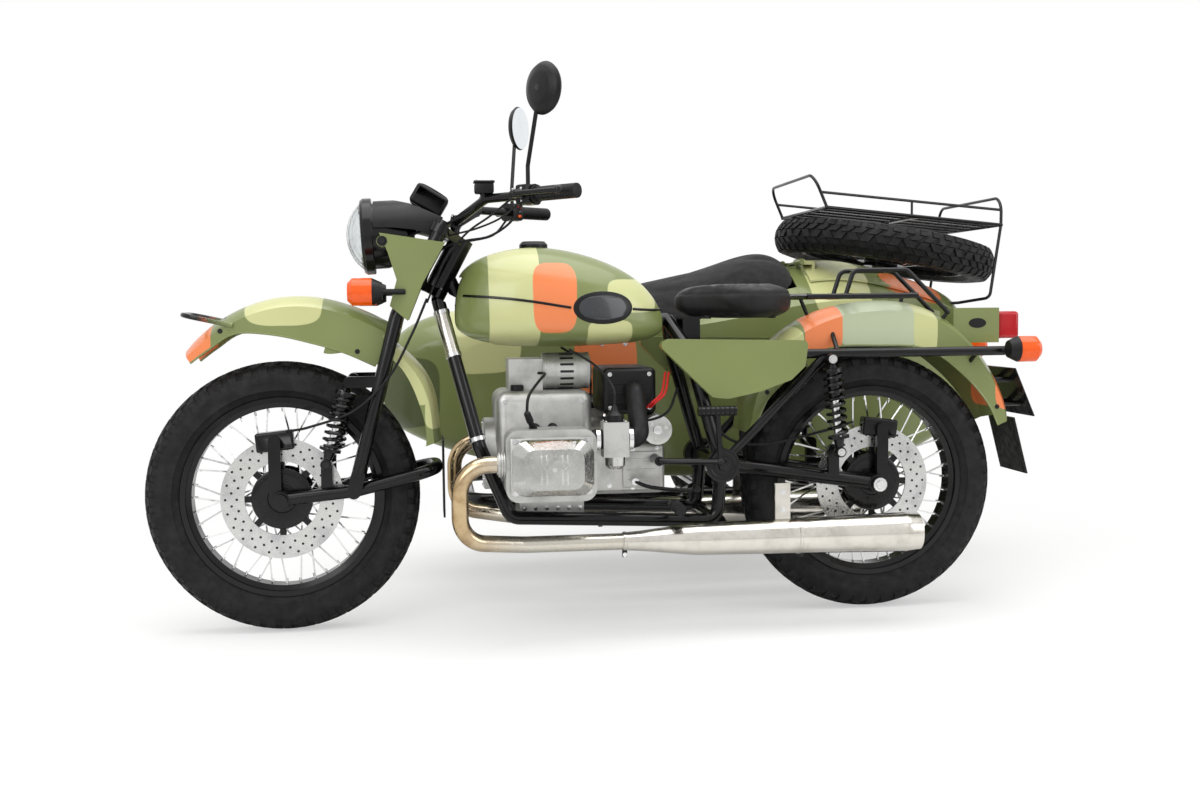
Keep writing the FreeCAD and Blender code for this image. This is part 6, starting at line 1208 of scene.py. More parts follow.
@dataclass(frozen=True)
class Engine:
    """Covers, bolts, plugs, wires, carburettors' parts and exhaust clamps on the chassis."""

    crank: Point = (1012.0, 0.0, 434.0)
    case_side: float = 108.0
    bore: tuple[float, float] = (868.0, 434.0)
    cover_face: float = 394.4
    alternator: Point = (804.0, 36.0, 644.3)
    alternator_radius: float = 45.4
    starter: Point = (584.0, 134.0, 496.3)
    carburettor: Point = (706.0, 232.0, 486.0)
    silencer: tuple[float, float] = (226.0, 234.0)
    port: Point = (975.5, 292.0, 438.0)
    gearbox_middle: Point = (618.0, 86.0, 392.0)

    def build(self) -> None:
        """Draw the engine's fittings as one piece per kind."""
        forge = Forge("engine_fittings", "chassis")
        metal, steel = Finish.CAST_METAL, Finish.SPOKE_STEEL
        forge.lathe([(0.0, 90.0), (3.0, 88.0), (3.0, 74.0), (-1.0, 70.0)], self.crank, X_AXIS, metal, 48)
        forge.lathe([(-1.0, 34.0), (4.0, 32.0), (6.0, 20.0), (6.0, 0.0)], self.crank, X_AXIS,
                    Finish.POLISHED_METAL, 32)
        forge.bolts(ring(Vector(self.crank) + X_AXIS * 2.5, X_AXIS, 81.0, 8), X_AXIS, 4.2, 4.0, steel)
        for side in Side:
            flip = side.value
            self.cylinder(forge, side)
            forge.bolts([(x_place, 86.2 * flip, 300.0) for x_place in range(776, 920, 28)], side.out,
                        4.0, 3.4, steel)
            forge.bolts([(x_place, self.case_side * flip, height) for x_place in (772.0, 962.0)
                         for height in (346.0, 572.0)], side.out, 5.0, 4.0, steel)
            forge.bolts([(x_place, 84.0 * flip, height) for x_place, height in (
                (576, 346), (640, 346), (576, 444), (640, 444), (700, 352))], side.out, 4.2, 3.6, steel)
        for x_place in range(790, 950, 16):
            forge.block((x_place, 0.0, 271.0), (5.0, 150.0, 5.0), metal, bevel=1.2)
        forge.bolt((850.0, 40.0, 270.0), -Z_AXIS, 9.0, 6.0, steel)
        forge.lathe([(0.0, 17.0), (12.0, 17.0), (14.0, 14.0), (14.0, 0.0)], (930.0, 70.0, 598.0), Z_AXIS,
                    Finish.BLACK_PLASTIC, 20)
        self.generator(forge)
        self.gearbox(forge)
        forge.publish()
        self.breathing()
        self.exhaust()

    def cylinder(self, forge: Forge, side: Side) -> None:
        """Rocker cover ridge and bolts, spark plug, its lead and pushrod tubes on one side."""
        polished, steel, flip, out = Finish.POLISHED_METAL, Finish.SPOKE_STEEL, side.value, side.out
        x_bore, height = self.bore
        forge.lathe([(-30.0, 16.0), (0.4, 13.0), (2.0, 10.0), (2.0, 0.0)],
                    (x_bore, (self.cover_face - 6.0) * flip, height), out, polished, 24)
        forge.bolt((x_bore, (self.cover_face - 4.0) * flip, height), out, 7.0, 4.4, steel)
        for shift in (-30.0, -18.0, 18.0, 30.0):
            forge.block((x_bore + shift, (self.cover_face - 5.0) * flip, height), (4.5, 11.0, 70.0), polished,
                        bevel=1.6)
        forge.bolts([(x_bore + ahead, 330.0 * flip, height + rise) for ahead, rise in (
            (-86, -60), (86, -60), (-86, 60), (86, 60))], out, 5.2, 6.0, steel)
        forge.block((x_bore, 325.0 * flip, height), (194.0, 6.0, 134.0), Finish.CAST_METAL, bevel=2.0)
        plug = [(0.0, 10.0), (10.0, 10.0), (10.0, 7.0), (22.0, 7.0), (24.0, 9.0), (48.0, 8.0), (52.0, 4.0),
                (52.0, 0.0)]
        forge.lathe(plug, (905.0, 268.0 * flip, 514.0), (0.35, 0.25 * flip, 0.9), Finish.BLACK_PLASTIC, 14)
        lead = ((922.0, 280.0, 558.0), (916.0, 268.0, 596.0), (884.0, 190.0, 628.0), (862.0, 100.0, 640.0),
                (880.0, 50.0, 640.0))
        forge.tube([(x, y * flip, z) for x, y, z in lead], 3.6, Finish.SOFT_RUBBER, 8, 6)
        for x_place in (846.0, 890.0):
            foot = (x_place, self.case_side * flip, 506.0)
            forge.tube([foot, (x_place, 232.0 * flip, 500.0)], 8.5, steel, 14)
            forge.lathe([(0.0, 12.0), (10.0, 12.0), (12.0, 9.0)], foot, out, Finish.SOFT_RUBBER, 16)

    def generator(self, forge: Forge) -> None:
        """Alternator slots and cap, the starter's caps, its switch and the red wires."""
        metal, steel = Finish.CAST_METAL, Finish.SPOKE_STEEL
        middle, cap = Vector(self.alternator), Vector(self.starter)
        spots = ring(middle, X_AXIS, self.alternator_radius, 16)
        for spot, outward in zip(spots, ring(Vector(), X_AXIS, 1.0, 16)):
            axes = Matrix((X_AXIS, X_AXIS.cross(outward), outward)).transposed()
            forge.block(spot, (34.0, 6.0, 2.2), Finish.DARK_STEEL, axes)
        for x_place in (748.0, 776.0, 832.0, 858.0):
            forge.lathe(band(3.0, 46.0, 47.2), (x_place, middle.y, middle.z), X_AXIS, metal, 36)
        forge.lathe([(0.0, 40.0), (4.0, 36.0), (8.0, 16.0), (9.0, 0.0)], (745.7, middle.y, middle.z), -X_AXIS,
                    metal, 32)
        forge.lathe([(-0.2, 38.4), (3.0, 37.0), (4.0, 30.0), (4.0, 0.0)], cap, Y_AXIS,
                    Finish.POLISHED_METAL, 36)
        forge.bolts(ring(cap + Y_AXIS * 3.5, Y_AXIS, 22.0, 3), Y_AXIS, 3.4, 3.0, steel)
        forge.lathe([(-0.2, 12.0), (3.0, 11.0), (4.0, 0.0)], cap + Y_AXIS * 4.0, Y_AXIS, steel, 20)
        forge.lathe([(0.0, 15.0), (52.0, 15.0), (56.0, 11.0), (56.0, 0.0)], (622.0, 80.0, 556.0), Y_AXIS,
                    Finish.DARK_STEEL, 20)
        for shift in (0.0, 9.0):
            wire = ((612.0, 132.0, 552.0), (600.0, 146.0, 566.0), (574.0, 140.0, 590.0),
                    (560.0, 118.0, 640.0))
            forge.tube([(x - shift, y, z) for x, y, z in wire], 3.0, Finish.RED_WIRE, 8, 6)
        lead = [(640.0, 118.0, 540.0), (620.0, 134.0, 520.0), (560.0, 138.0, 540.0), (530.0, 124.0, 600.0)]
        forge.tube(lead, 3.4, Finish.SOFT_RUBBER, 8, 6)

    def gearbox(self, forge: Forge) -> None:
        """Side cover with its ribs, gear lever with its rubber, and the drain plug."""
        middle = Vector(self.gearbox_middle)
        forge.block(middle, (96.0, 6.0, 92.0), Finish.CAST_METAL, bevel=2.4)
        for rise in (-26.0, 0.0, 26.0):
            forge.block(middle + Vector((0.0, 3.5, rise)), (74.0, 3.0, 4.0), Finish.CAST_METAL, bevel=1.0)
        forge.tube([(640.0, 88.0, 366.0), (640.0, 128.0, 366.0)], 9.0, Finish.SPOKE_STEEL, 16)
        lever = [(640.0, 124.0, 366.0), (600.0, 134.0, 352.0), (520.0, 150.0, 344.0), (492.0, 156.0, 350.0)]
        forge.tube(lever, 5.0, Finish.BLACK_PAINT, 10, 4)
        forge.tube([(492.0, 146.0, 350.0), (492.0, 184.0, 350.0)], 8.0, Finish.SOFT_RUBBER, 12)
        forge.bolt((600.0, 30.0, 330.0), -Z_AXIS, 8.0, 5.0, Finish.SPOKE_STEEL)

    def breathing(self) -> None:
        """Carburettor tops, float bowls, cable stays, hose clamps and the airbox's bolts and ribs."""
        forge = Forge("carburettor_fittings", "chassis")
        for side in Side:
            flip = side.value
            middle = Vector((self.carburettor[0], self.carburettor[1] * flip, self.carburettor[2]))
            forge.lathe([(0.0, 22.0), (16.0, 22.0), (20.0, 16.0), (28.0, 10.0), (40.0, 5.0), (40.0, 0.0)],
                        middle + Z_AXIS * 42.0, Z_AXIS, Finish.BLACK_PLASTIC, 20)
            forge.lathe([(0.0, 25.0), (22.0, 24.0), (30.0, 16.0), (32.0, 0.0)],
                        middle - Z_AXIS * 42.0, -Z_AXIS, Finish.POLISHED_METAL, 24)
            forge.bolts(grid((-24, 24), (-20, 20), middle + Z_AXIS * 43.0), Z_AXIS, 3.0, 3.0,
                        Finish.SPOKE_STEEL)
            for ahead in (-38.0, 42.0):
                forge.lathe(band(5.0, 25.4, 27.0, 0.0), middle + X_AXIS * ahead, X_AXIS,
                            Finish.SPOKE_STEEL, 28)
            stay = ((706.0, 232.0, 566.0), (708.0, 222.0, 610.0), (740.0, 142.0, 660.0),
                    (800.0, 100.0, 700.0))
            forge.tube([(x, y * flip, z) for x, y, z in stay], 3.0, Finish.SOFT_RUBBER, 8, 6)
            corners = [(x_place, 112.2 * flip, height) for x_place in (600.0, 700.0)
                       for height in (552.0, 636.0)]
            forge.bolts(corners, side.out, 4.0, 3.0, Finish.SPOKE_STEEL)
            for height in (564.0, 588.0, 612.0):
                forge.block((650.0, 112.0 * flip, height), (104.0, 3.0, 5.0), Finish.BLACK_PLASTIC, bevel=1.0)
        forge.publish()

    def exhaust(self) -> None:
        """Finned clamp rings at the heads, and clamps, seams and end rings on the silencers."""
        forge = Forge("exhaust_fittings", "chassis")
        aside, height = self.silencer
        for side in Side:
            flip = side.value
            ribs = [(-1.0, 20.0)]
            for rib in range(3):
                low = 1.0 + rib * 6.0
                ribs += [(low, 30.0), (low + 3.0, 30.0), (low + 3.4, 25.0), (low + 5.6, 25.0)]
            forge.lathe([*ribs, (20.0, 20.4)], (self.port[0], self.port[1] * flip, self.port[2]), X_AXIS,
                        Finish.CAST_METAL, 28)
            for x_place, radius in ((684.0, 23.5), (250.0, 45.4), (-24.0, 49.4)):
                spot = (x_place, aside * flip, height)
                forge.lathe(band(4.0, radius - 1.6, radius), spot, X_AXIS, Finish.STEEL, 40)
            forge.block((684.0, aside * flip, height - 30.0), (12.0, 10.0, 16.0), Finish.DARK_STEEL,
                        bevel=1.5)
            forge.bolt((684.0, (aside + 6.0) * flip, height - 32.0), side.out, 4.0, 4.0, Finish.SPOKE_STEEL)
            forge.bolts([(288.0, 230.2 * flip, z_place) for z_place in (344.0, 300.0)], side.out, 5.0, 4.0,
                        Finish.SPOKE_STEEL)
        forge.publish()


@dataclass(frozen=True)
class GuardEdge:
    """A mudguard's rolled edge: rows of degrees and radius about its wheel's axle."""

    name: str
    body: str
    axle: tuple[float, float]
    half: float
    rows: tuple[tuple[float, float], ...]
    centre: float = 0.0
    outermost: float = 1200.0

    def build(self) -> None:
        """Draw the beads on both sides, and the bolts where they stay inside the outfit's width."""
        forge = Forge(self.name, self.body)
        for side in Side:
            aside = self.centre + side.value * self.half
            line = [polar(self.axle, degrees, radius, aside) for degrees, radius in self.rows]
            forge.tube(line, 2.6, Finish.GREEN_PAINT, 8, 5)
            if abs(aside) > self.outermost:
                continue
            for degrees in (self.rows[1][0] + 6.0, self.rows[-2][0] + 4.0):
                base = min(self.rows, key=lambda row: abs(row[0] - degrees))
                spot = polar(self.axle, degrees, base[1] + 16.0, aside + side.value * 1.6)
                forge.bolt(spot, side.out, 4.4, 3.4, Finish.DARK_STEEL)
        forge.publish()


GUARD_EDGES = (
    GuardEdge("front_guard_trim", "steering", (1515.0, 340.0), 73.6, (
        (58.5, 398.0), (66.0, 406.0), (76.0, 422.0), (88.0, 407.0), (101.0, 394.0), (114.0, 394.0),
        (126.0, 402.0))),
    GuardEdge("rear_guard_trim", "chassis", (0.0, 340.0), 80.6, (
        (22.0, 348.0), (34.0, 360.0), (50.0, 376.0), (70.0, 374.0), (92.0, 358.0), (112.0, 374.0),
        (130.0, 368.0), (146.0, 368.0), (157.0, 366.0))),
    GuardEdge("sidecar_guard_trim", "chassis", (0.0, 340.0), 81.2, (
        (12.0, 352.0), (45.0, 328.0), (90.0, 324.0), (135.0, 334.0), (166.0, 362.0)), -1140.0),
)


@dataclass
class Trims:
    """Tank side line and oval, a bright frame sleeve that is a painted highlight, pivot caps, bolts, and the
    sidecar's studs and mounts.
    """

    oval: tuple[float, float] = (718.0, 803.0)
    side_line: tuple[tuple[float, float], ...] = (
        (1060, 836), (1030, 834), (990, 831), (950, 827), (910, 822), (870, 816), (830, 809), (800, 804))
    side_tail: tuple[tuple[float, float], ...] = ((640, 799), (610, 797), (580, 796), (560, 796))
    # The downtube line: its upper part carries a polished sleeve that is a painted highlight.
    highlight_sleeve_top: Point = (1122.0, 34.0, 826.0)
    highlight_sleeve_foot: Point = (1028.0, 128.0, 463.0)
    pivot: Point = (420.0, 150.0, 404.0)
    sidecar_middle: float = -612.0
    studs: int = 22

    def __post_init__(self) -> None:
        """Find the tank's surface."""
        self.tank_skin = skin_of("fuel_tank")

    def build(self) -> None:
        """Draw every trim of the bodywork and the frame."""
        self.tank()
        for edge in GUARD_EDGES:
            edge.build()
        self.frame()
        self.sidecar()
        self.lid()

    def skin(self, x_place: float, height: float, flip: float) -> Vector:
        """The tank's own surface at a place, reached from the side."""
        spot = self.tank_skin.ray_cast(at(x_place, 400.0 * flip, height), Vector((0.0, -flip, 0.0)))[0]
        return mm(spot) if spot else Vector((x_place, 120.0 * flip, height))

    def disc(self, forge: Forge, wide: float, tall: float, lift: float, finish: Finish, flip: float) -> None:
        """An oval pad that lies on the tank's side: a grid rounded to an oval and pressed onto the skin."""
        made = bmesh.ops.create_grid(forge.mesh, x_segments=22, y_segments=14, size=1.0)["verts"]
        for vert in made:
            x_share, z_share = vert.co.x, vert.co.y
            along = x_share * math.sqrt(1.0 - z_share ** 2 / 2)
            rise = z_share * math.sqrt(1.0 - x_share ** 2 / 2)
            edge = max(abs(x_share), abs(z_share)) > 0.99
            spot = self.skin(self.oval[0] + wide * along, self.oval[1] + tall * rise, flip)
            vert.co = spot + Vector((0.0, (-0.4 if edge else lift) * flip, 0.0))
        forge.settle(finish)

    def tank(self) -> None:
        """The black side line and the bare oval that breaks it, on both sides."""
        forge = Forge("tank_trim", "chassis")
        for side in Side:
            flip = float(side.value)
            for line in (self.side_line, self.side_tail):
                spots = [self.skin(x_place, height, flip) for x_place, height in line]
                forge.tube(spots, 3.4, Finish.BLACK_PAINT, 8, 3)
            self.disc(forge, 78.0, 42.0, 1.6, Finish.BLACK_PLASTIC, flip)
            self.disc(forge, 66.0, 33.0, 2.6, Finish.BADGE_GREY, flip)
        forge.publish()

    def frame(self) -> None:
        """Bright frame sleeve that is a painted highlight on the downtube, clamps, pivot nuts, shock bolts,
        pedal rubbers, brake rod and reflector pads.
        """
        forge = Forge("frame_fittings_and_highlight_sleeve", "chassis")
        steel, dark, rubber = Finish.SPOKE_STEEL, Finish.DARK_STEEL, Finish.SOFT_RUBBER
        top, foot = Vector(self.highlight_sleeve_top), Vector(self.highlight_sleeve_foot)
        along = (foot - top).normalized()
        # Painted highlight: a polished steel sleeve stands in for the light reflected off the upper downtube.
        forge.tube([top + along * 30.0, top + along * 150.0], 18.4, Finish.STEEL, 24)
        for spot in (top + along * 34.0, top + along * 146.0, foot - along * 20.0):
            forge.lathe(band(6.0, 18.0, 20.4), spot, along, steel, 24)
        for side in Side:
            flip, out = side.value, side.out
            pivot = (self.pivot[0], self.pivot[1] * flip, self.pivot[2])
            forge.lathe([(-4.0, 43.4), (0.2, 43.4), (1.2, 40.0), (1.2, 32.0), (0.2, 30.0)], pivot, out,
                        Finish.BLACK_PAINT, 40)
            forge.bolt(pivot, out, 15.0, 10.0, dark)
            forge.tube([(142.0, 136.0 * flip, 668.0), (142.0, 176.0 * flip, 668.0)], 6.0, dark, 12)
            forge.bolt((142.0, 172.0 * flip, 668.0), out, 8.0, 6.0, steel)
            forge.bolt((119.0, 172.0 * flip, 432.0), out, 7.0, 6.0, steel)
            for rib in range(6):
                spot = (556.0, (216.0 + rib * 14.0) * flip, 316.0)
                forge.lathe(band(2.0, 13.2, 14.6), spot, out, rubber, 16)
            forge.bolt((0.0, 122.5 * flip, 340.0), out, 13.0, 8.0, steel)
        for rib in range(8):
            forge.lathe(band(2.0, 12.2, 13.4), (404.0 + rib * 12.0, 202.0, 546.0), X_AXIS, rubber, 16)
        rod = [(60.0, 78.0, 500.0), (160.0, 96.0, 476.0), (300.0, 104.0, 450.0), (400.0, 112.0, 470.0),
               (470.0, 112.0, 560.0)]
        forge.tube(rod, 3.6, rubber, 8, 6)
        turns = [math.tau * k / 36 for k in range(36)]
        for side in Side:
            pad = [(-292.0 + 24.0 * math.cos(t), 46.0 * side.value, 752.0 + 13.0 * math.sin(t))
                   for t in turns]
            forge.plate(pad, (0.0, 0.8 * side.value, 0.0), Finish.BLACK_PLASTIC)
        forge.bolts([(-405.0, aside, 568.5) for aside in (-73.0, 73.0)], (-0.92, 0.0, 0.39),
                    5.0, 3.0, dark, 12)
        forge.publish()

    def sidecar(self) -> None:
        """Cover studs round the cockpit, mount bolts and stay nuts on the sidecar."""
        forge = Forge("sidecar_fittings", "chassis")
        body = skin_of("sidecar_body")
        for number in range(0, self.studs, 2):
            x_place = 60.0 + 690.0 * number / (self.studs - 1)
            for side in Side:
                start = at(x_place, self.sidecar_middle + 400.0 * side.value, 700.0)
                spot, normal, _, _ = body.ray_cast(start, Vector((0.0, -side.value, 0.0)))
                if spot:
                    forge.bolt(mm(spot) + normal * -0.2, normal, 5.0, 3.0, Finish.SPOKE_STEEL, 12)
        mounts = [(x_place, self.sidecar_middle + 150.0 * side.value, 240.0)
                  for x_place in (700.0, 330.0, 40.0) for side in Side]
        forge.bolts(mounts, -Z_AXIS, 8.0, 6.0, Finish.DARK_STEEL)
        forge.bolts([(x_place, -336.0, 283.0) for x_place in (300.0, 905.0, 444.0)], Z_AXIS, 7.0, 6.0,
                    Finish.SPOKE_STEEL)
        forge.publish()

    @staticmethod
    def lid() -> None:
        """The nut plate that holds the spare wheel on the lid."""
        forge = Forge("lid_fittings", "boot_lid")
        place = WHEELS[-1].turn()
        forge.lathe([(-3.0, 30.0), (0.0, 30.0), (1.0, 26.0), (3.0, 18.0)], place @ Vector((0.0, 68.0, 0.0)),
                    place.to_3x3() @ Y_AXIS, Finish.DARK_STEEL, 28)
        forge.publish()


@dataclass(frozen=True)
class Saddle:
    """The padded seat: the CAD cushion's form, swollen by a short cloth run and capped near its shape."""

    voxel: float = 0.006
    shrink: float = 0.0015
    rounding: int = 22
    pressure: float = 4.0
    frames: int = 20
    cap: float = 0.0065
    middle: float = 812.0
    half_width: float = 142.0
    channels: tuple[float, ...] = (300.0, 330.0, 360.0, 390.0, 420.0)
    channel_reach: float = 92.0
    seam_drop: float = 0.021

    def build(self) -> None:
        """Remesh, swell, smooth and publish the saddle."""
        mesh = welded("saddle")
        bmesh.ops.recalc_face_normals(mesh, faces=mesh.faces)
        pad = placed(mesh, "saddle_pad")
        remesh = pad.modifiers.new("voxels", "REMESH")
        remesh.mode = "VOXEL"
        remesh.voxel_size = self.voxel
        inset = pad.modifiers.new("inset", "DISPLACE")
        inset.strength = -self.shrink
        inset.mid_level = 0.0
        ease = pad.modifiers.new("ease", "SMOOTH")
        ease.factor = 0.6
        ease.iterations = self.rounding
        self.apply(pad)
        self.shape(pad)
        rest = [vert.co.copy() for vert in pad.data.vertices]
        self.swell(pad)
        for vert, home in zip(pad.data.vertices, rest):
            moved = vert.co - home
            if moved.length > self.cap:
                vert.co = home + moved.normalized() * self.cap
        made = bmesh.new()
        made.from_mesh(pad.data)
        bpy.data.objects.remove(pad)
        eased(made, made.verts)
        self.sew(made)
        bmesh.ops.subdivide_edges(made, edges=made.edges, cuts=1, use_grid_fill=True)
        eased(made, made.verts, 2)
        seat = publish(made, "saddle_cushion", "chassis", Finish.LEATHER, sharp=80.0)
        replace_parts(seat, "saddle")
        self.feet()

    @staticmethod
    def apply(pad: bpy.types.Object) -> None:
        """Freeze the pad's modifiers into its mesh."""
        frozen = bpy.data.meshes.new_from_object(pad.evaluated_get(bpy.context.evaluated_depsgraph_get()))
        pad.modifiers.clear()
        pad.data = frozen

    def shape(self, pad: bpy.types.Object) -> None:
        """Thin the pad towards its nose and tail, and let its top fall towards the sides."""
        for vert in pad.data.vertices:
            spot = mm(vert.co)
            nose = min(max((spot.x - 380.0) / 140.0, 0.0), 1.0) ** 2
            tail = min(max((260.0 - spot.x) / 56.0, 0.0), 1.0) ** 2
            squeeze = 1.0 - 0.4 * nose - 0.22 * tail
            edge = min(abs(spot.y) / self.half_width, 1.0)
            dome = (1.0 - 0.16 * edge ** 3) if spot.z > self.middle else 1.0
            vert.co.z += (spot.z - self.middle) * (squeeze * dome - 1.0) / 1000.0

    def swell(self, pad: bpy.types.Object) -> None:
        """Blow the pad up as cloth for a few frames."""
        cloth = pad.modifiers.new("swell", "CLOTH")
        cloth.settings.use_pressure = True
        cloth.settings.uniform_pressure_force = self.pressure
        cloth.settings.effector_weights.gravity = 0.0
        cloth.settings.quality = 5
        cloth.point_cache.frame_start = 1
        cloth.point_cache.frame_end = self.frames
        for number in range(1, self.frames + 1):
            bpy.context.scene.frame_set(number)
        self.apply(pad)
        bpy.context.scene.frame_set(1)

    def sew(self, made: bmesh.types.BMesh) -> None:
        """Press the long seam near the top edge and the cross channels into the cover."""
        seam_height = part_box("saddle")[1].z - self.seam_drop
        for vert in made.verts:
            spot = mm(vert.co)
            if vert.normal.z > 0.35:
                across = min(abs(spot.x - place) for place in self.channels)
                depth = 2.6 * math.exp(-(across / 5.5) ** 2) if abs(spot.y) < self.channel_reach else 0.0
                vert.co.z -= depth / 1000.0
            seam = (vert.co.z - seam_height) * 1000.0
            if abs(vert.normal.z) < 0.85 and abs(seam) < 9.0:
                vert.co -= vert.normal * 0.0016 * math.exp(-(seam / 3.4) ** 2)

    @staticmethod
    def feet() -> None:
        """The rubber feet under the cushion."""
        forge = Forge("saddle_base", "chassis")
        for x_place in (270.0, 440.0):
            for side in Side:
                foot = (x_place, 60.0 * side.value, 772.0)
                forge.cone(foot, Z_AXIS, (11.0, 9.0), 8.0, Finish.SOFT_RUBBER, 16)
        forge.publish()


@dataclass(frozen=True)
class Tonneau:
    """The cloth cover of the cockpit: a sheet laid over its frame, with slack folds, thickened into a solid."""

    columns: int = 96
    rows: int = 56
    flat: tuple[float, float] = (0.76, 0.5)
    flat_area: float = 0.372
    margin: float = 0.0012
    fold: float = 11.0
    thick: float = 0.0012
    step: float = 0.004
    least_reach: float = 0.02
    most_reach: float = 0.32

    def build(self) -> None:
        """Lay the sheet on the cover's form, fold it, thicken it and publish it."""
        cover = skin_of("tonneau_cover")
        low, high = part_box("tonneau_cover")
        middle = (low + high) / 2
        mesh = bmesh.new()
        bmesh.ops.create_grid(mesh, x_segments=self.columns, y_segments=self.rows, size=1.0)
        half_long = (high.x - low.x) / 2 - 0.002
        for vert in mesh.verts:
            along, across = vert.co.x, vert.co.y
            x_place = middle.x + along * half_long
            wide = self.half_width(cover, x_place, middle.y, high.z)
            y_place = middle.y + across * wide
            spot = cover.ray_cast(Vector((x_place, y_place, high.z + 0.1)), -Z_AXIS)[0]
            height = spot.z if spot else low.z
            vert.co = Vector((x_place, y_place, height - self.margin + self.slack(along, across) / 1000.0))
        eased(mesh, [vert for vert in mesh.verts if not vert.is_boundary], 2)
        LOG.info("cover cloth measures %.4f square metres", sum(face.calc_area() for face in mesh.faces))
        bmesh.ops.recalc_face_normals(mesh, faces=mesh.faces)
        if mesh.faces[0].normal.z < 0.0:
            bmesh.ops.reverse_faces(mesh, faces=mesh.faces)
        bmesh.ops.solidify(mesh, geom=mesh.faces, thickness=self.thick)
        sheet = publish(mesh, "tonneau_cloth", "chassis", Finish.CANVAS, sharp=80.0)
        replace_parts(sheet, "tonneau_cover")

    def slack(self, along: float, across: float) -> float:
        """How far the cloth hangs below its frame at a place, in millimetres: negative in a fold."""
        swirl = noise.noise(Vector((along * 3.0, across * 3.0, 7.0)))
        fold = noise.noise(Vector((along * 2.6 + 3.0, across * 5.2, 0.4))) * 0.6
        fold += 0.5 * math.sin(7.0 * along + 9.0 * across + 3.0 * swirl)
        calm = (1.0 - abs(across) ** 6) * (1.0 - abs(along) ** 8)
        return min(0.0, fold) * self.fold * calm

    def half_width(self, cover: BVHTree, x_place: float, centre: float, top: float) -> float:
        """How far the cover reaches from its middle at a place along it."""
        reach = self.least_reach
        while reach < self.most_reach:
            start = Vector((x_place, centre + reach + self.step, top + 0.1))
            if cover.ray_cast(start, -Z_AXIS)[0] is None:
                break
            reach += self.step
        return reach


def about(axle: tuple[float, float, float], middle: Vector) -> float:
    """How far a point is from an axle across the bike, in millimetres."""
    return math.hypot(middle.x - axle[0], middle.z - axle[2])


def laced(node: str, wheel: Wheel) -> Shell:
    """A wheel whose rim and hub are black, and whose spokes and disc are bright."""
    home = wheel.turn().inverted()

    def spoke(middle: Vector, _: Vector) -> bool:
        """Whether a face belongs to a spoke."""
        local = home @ middle
        return 74.0 < math.hypot(local.x, local.z) < 219.0 and abs(local.y) < 47.0

    def disc(middle: Vector, _: Vector) -> bool:
        """Whether a face belongs to the brake disc's ring."""
        local = home @ middle
        return abs(local.y - 54.5) < 4.0 and 91.0 < math.hypot(local.x, local.z) < 151.0

    return Shell(node, Finish.WHEEL_BLACK, ((Finish.SPOKE_STEEL, spoke), (Finish.DISC_STEEL, disc)))


def signals(node: str, aside: float, height: float, ahead: Callable[[float], bool]) -> Shell:
    """Round turn signals with a black cup and an amber lens.

    Args:
        node: The signals' CAD node.
        aside: How far the lamps are from the centre plane.
        height: How high they are.
        ahead: Whether a place along the bike is past a lamp's rim, on its lens.

    Returns:
        The shell of the signals.
    """
    def lens(middle: Vector, _: Vector) -> bool:
        """Whether a face belongs to a lens, not to its cup or stalk."""
        return ahead(middle.x) and math.hypot(abs(middle.y) - aside, middle.z - height) < 34.0

    return Shell(node, Finish.BLACK_PLASTIC, ((Finish.AMBER_LENS, lens),))


def mirror_face(middle: Vector, normal: Vector) -> bool:
    """Whether a face is one of the two mirror glasses."""
    turn = math.radians(34.0 if middle.y > 0 else -28.0)
    place = Vector((884.0, 368.0, 1300.0)) if middle.y > 0 else Vector((889.0, -360.0, 1306.0))
    facing = normal.dot(Vector((-math.cos(turn), -math.sin(turn), 0.0)))
    return facing > 0.97 and (middle - place).length < 66.0


PLAIN_NODES = {
    Finish.BLACK_PAINT: (
        "body_mounts", "centre_stand", "final_drive", "foot_controls", "fork", "front_caliper", "handlebar",
        "leading_link", "luggage_rack", "main_frame", "plate_bracket", "rear_caliper", "rear_carrier",
        "rear_swingarm", "sidecar_frame", "sidecar_swingarm"),
    Finish.BLACK_PLASTIC: ("airbox", "fuel_cap", "instrument_cowl"),
    Finish.CAST_METAL: ("alternator_and_starter", "cylinders", "engine_case", "gearbox"),
    Finish.TINTED_PIPE: ("exhaust_headers",),
    Finish.STEEL: ("mufflers",),
    Finish.POLISHED_METAL: ("rocker_covers",),
    Finish.TANK_CAMO: ("fuel_tank",),
    Finish.GREEN_PAINT: ("headlamp_ears", "side_panels", "tail_lamp_housing"),
    Finish.SIDECAR_CAMO_AND_SHADE: ("sidecar_body", "sidecar_mudguard", "trunk_lid"),
    Finish.RED_LENS: ("tail_lamp_lens",),
}


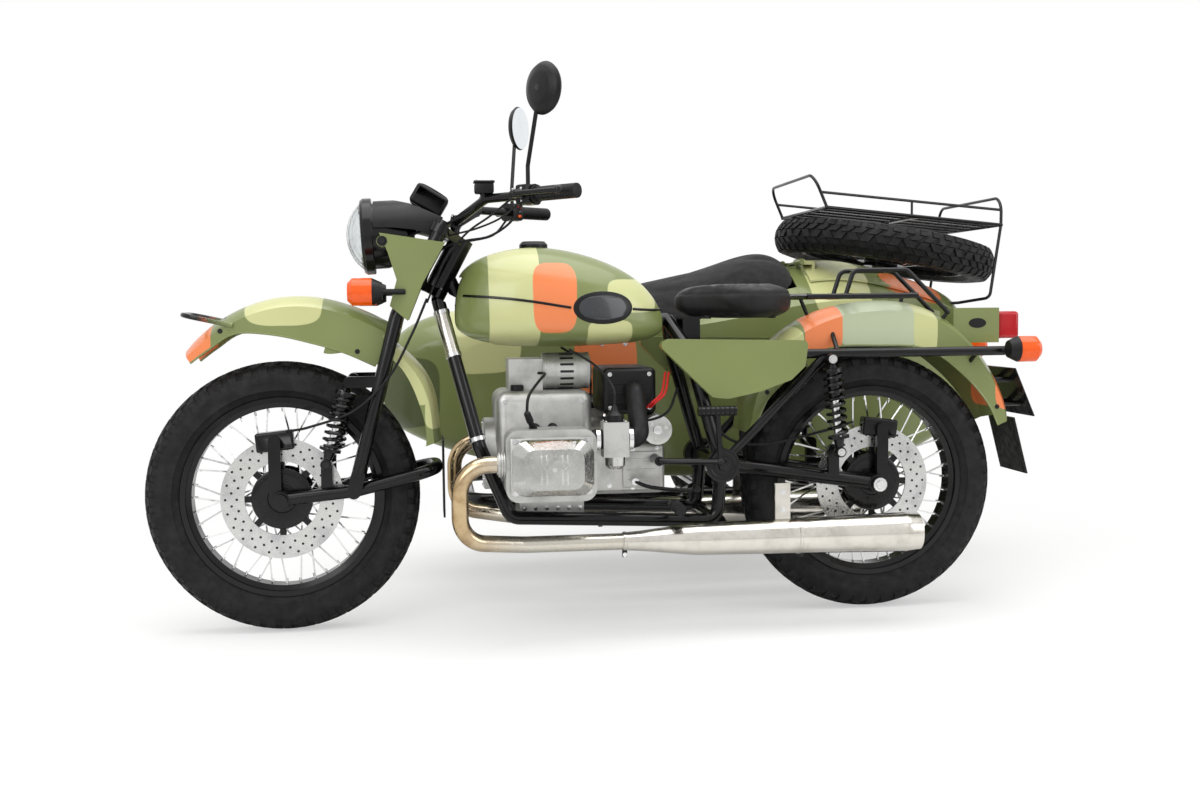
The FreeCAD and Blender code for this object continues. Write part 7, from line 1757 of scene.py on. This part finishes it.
def shells() -> list[Shell]:
    """The smooth copies of the CAD nodes with their finishes."""
    plain = {node: finish for finish, nodes in PLAIN_NODES.items() for node in nodes}
    wheels = ("front_wheel", "rear_wheel", "sidecar_wheel", "spare_wheel_rim")
    return [
        *(Shell(node, plain[node]) for node in sorted(plain)),
        *(laced(node, wheel) for node, wheel in zip(wheels, WHEELS)),
        Shell("carburettors", Finish.CAST_METAL, (
            (Finish.SOFT_RUBBER, lambda m, n: m.x < 674.5 or m.x > 738.0),)),
        signals("front_signals", 170.0, 847.0, lambda x: x > 1279.0),
        signals("rear_signals", 166.0, 686.0, lambda x: x < -346.0),
        signals("sidecar_lamps", 1140.0, 727.0, lambda x: abs(x) > 261.5),
        Shell("headlamp_bucket", Finish.BLACK_PAINT, ((Finish.POLISHED_METAL, Lamps().holds),)),
        Shell("mirrors", Finish.BLACK_PLASTIC, ((Finish.MIRROR_GLASS, mirror_face),)),
        Shell("front_mudguard", Finish.FRONT_CAMO, (
            (Finish.BLACK_PAINT, lambda m, n: m.x > 1640.0 and about(WHEELS[0].axle, m) > 464.0),)),
        Shell("front_mudguard_rear_half", Finish.FRONT_CAMO, (
            (Finish.SOFT_RUBBER, lambda m, n: m.x < 1121.0 and m.z < 478.0),)),
        Shell("rear_mudguard", Finish.REAR_CAMO, (
            (Finish.SOFT_RUBBER, lambda m, n: m.x < -383.0 and m.z < 502.0),)),
    ]


def main() -> None:
    """Build the studio and every piece of the outfit, in order."""
    logging.basicConfig(level=logging.INFO, format="%(name)s: %(message)s")
    Studio().build()
    for shell in shells():
        shell.build()
    for wheel, node in zip(WHEELS, ("front_tyre", "rear_tyre", "sidecar_tyre", "spare_tyre")):
        wheel.tyre(node)
        wheel.trim()
    build_shocks()
    for part in (Saddle(), Tonneau(), Handlebar(), Lamps(), Engine(), Trims()):
        part.build()
    LOG.info("done")


def write_sizes() -> None:
    """Define a helper that turns box corners into plain lists; no box is kept."""
    def plain(box: Sequence[Vector]) -> list[list[float]]:
        """Corners as lists."""
        return [[float(v) for v in corner] for corner in box]


if __name__ == "__main__":
    main()
    write_sizes()
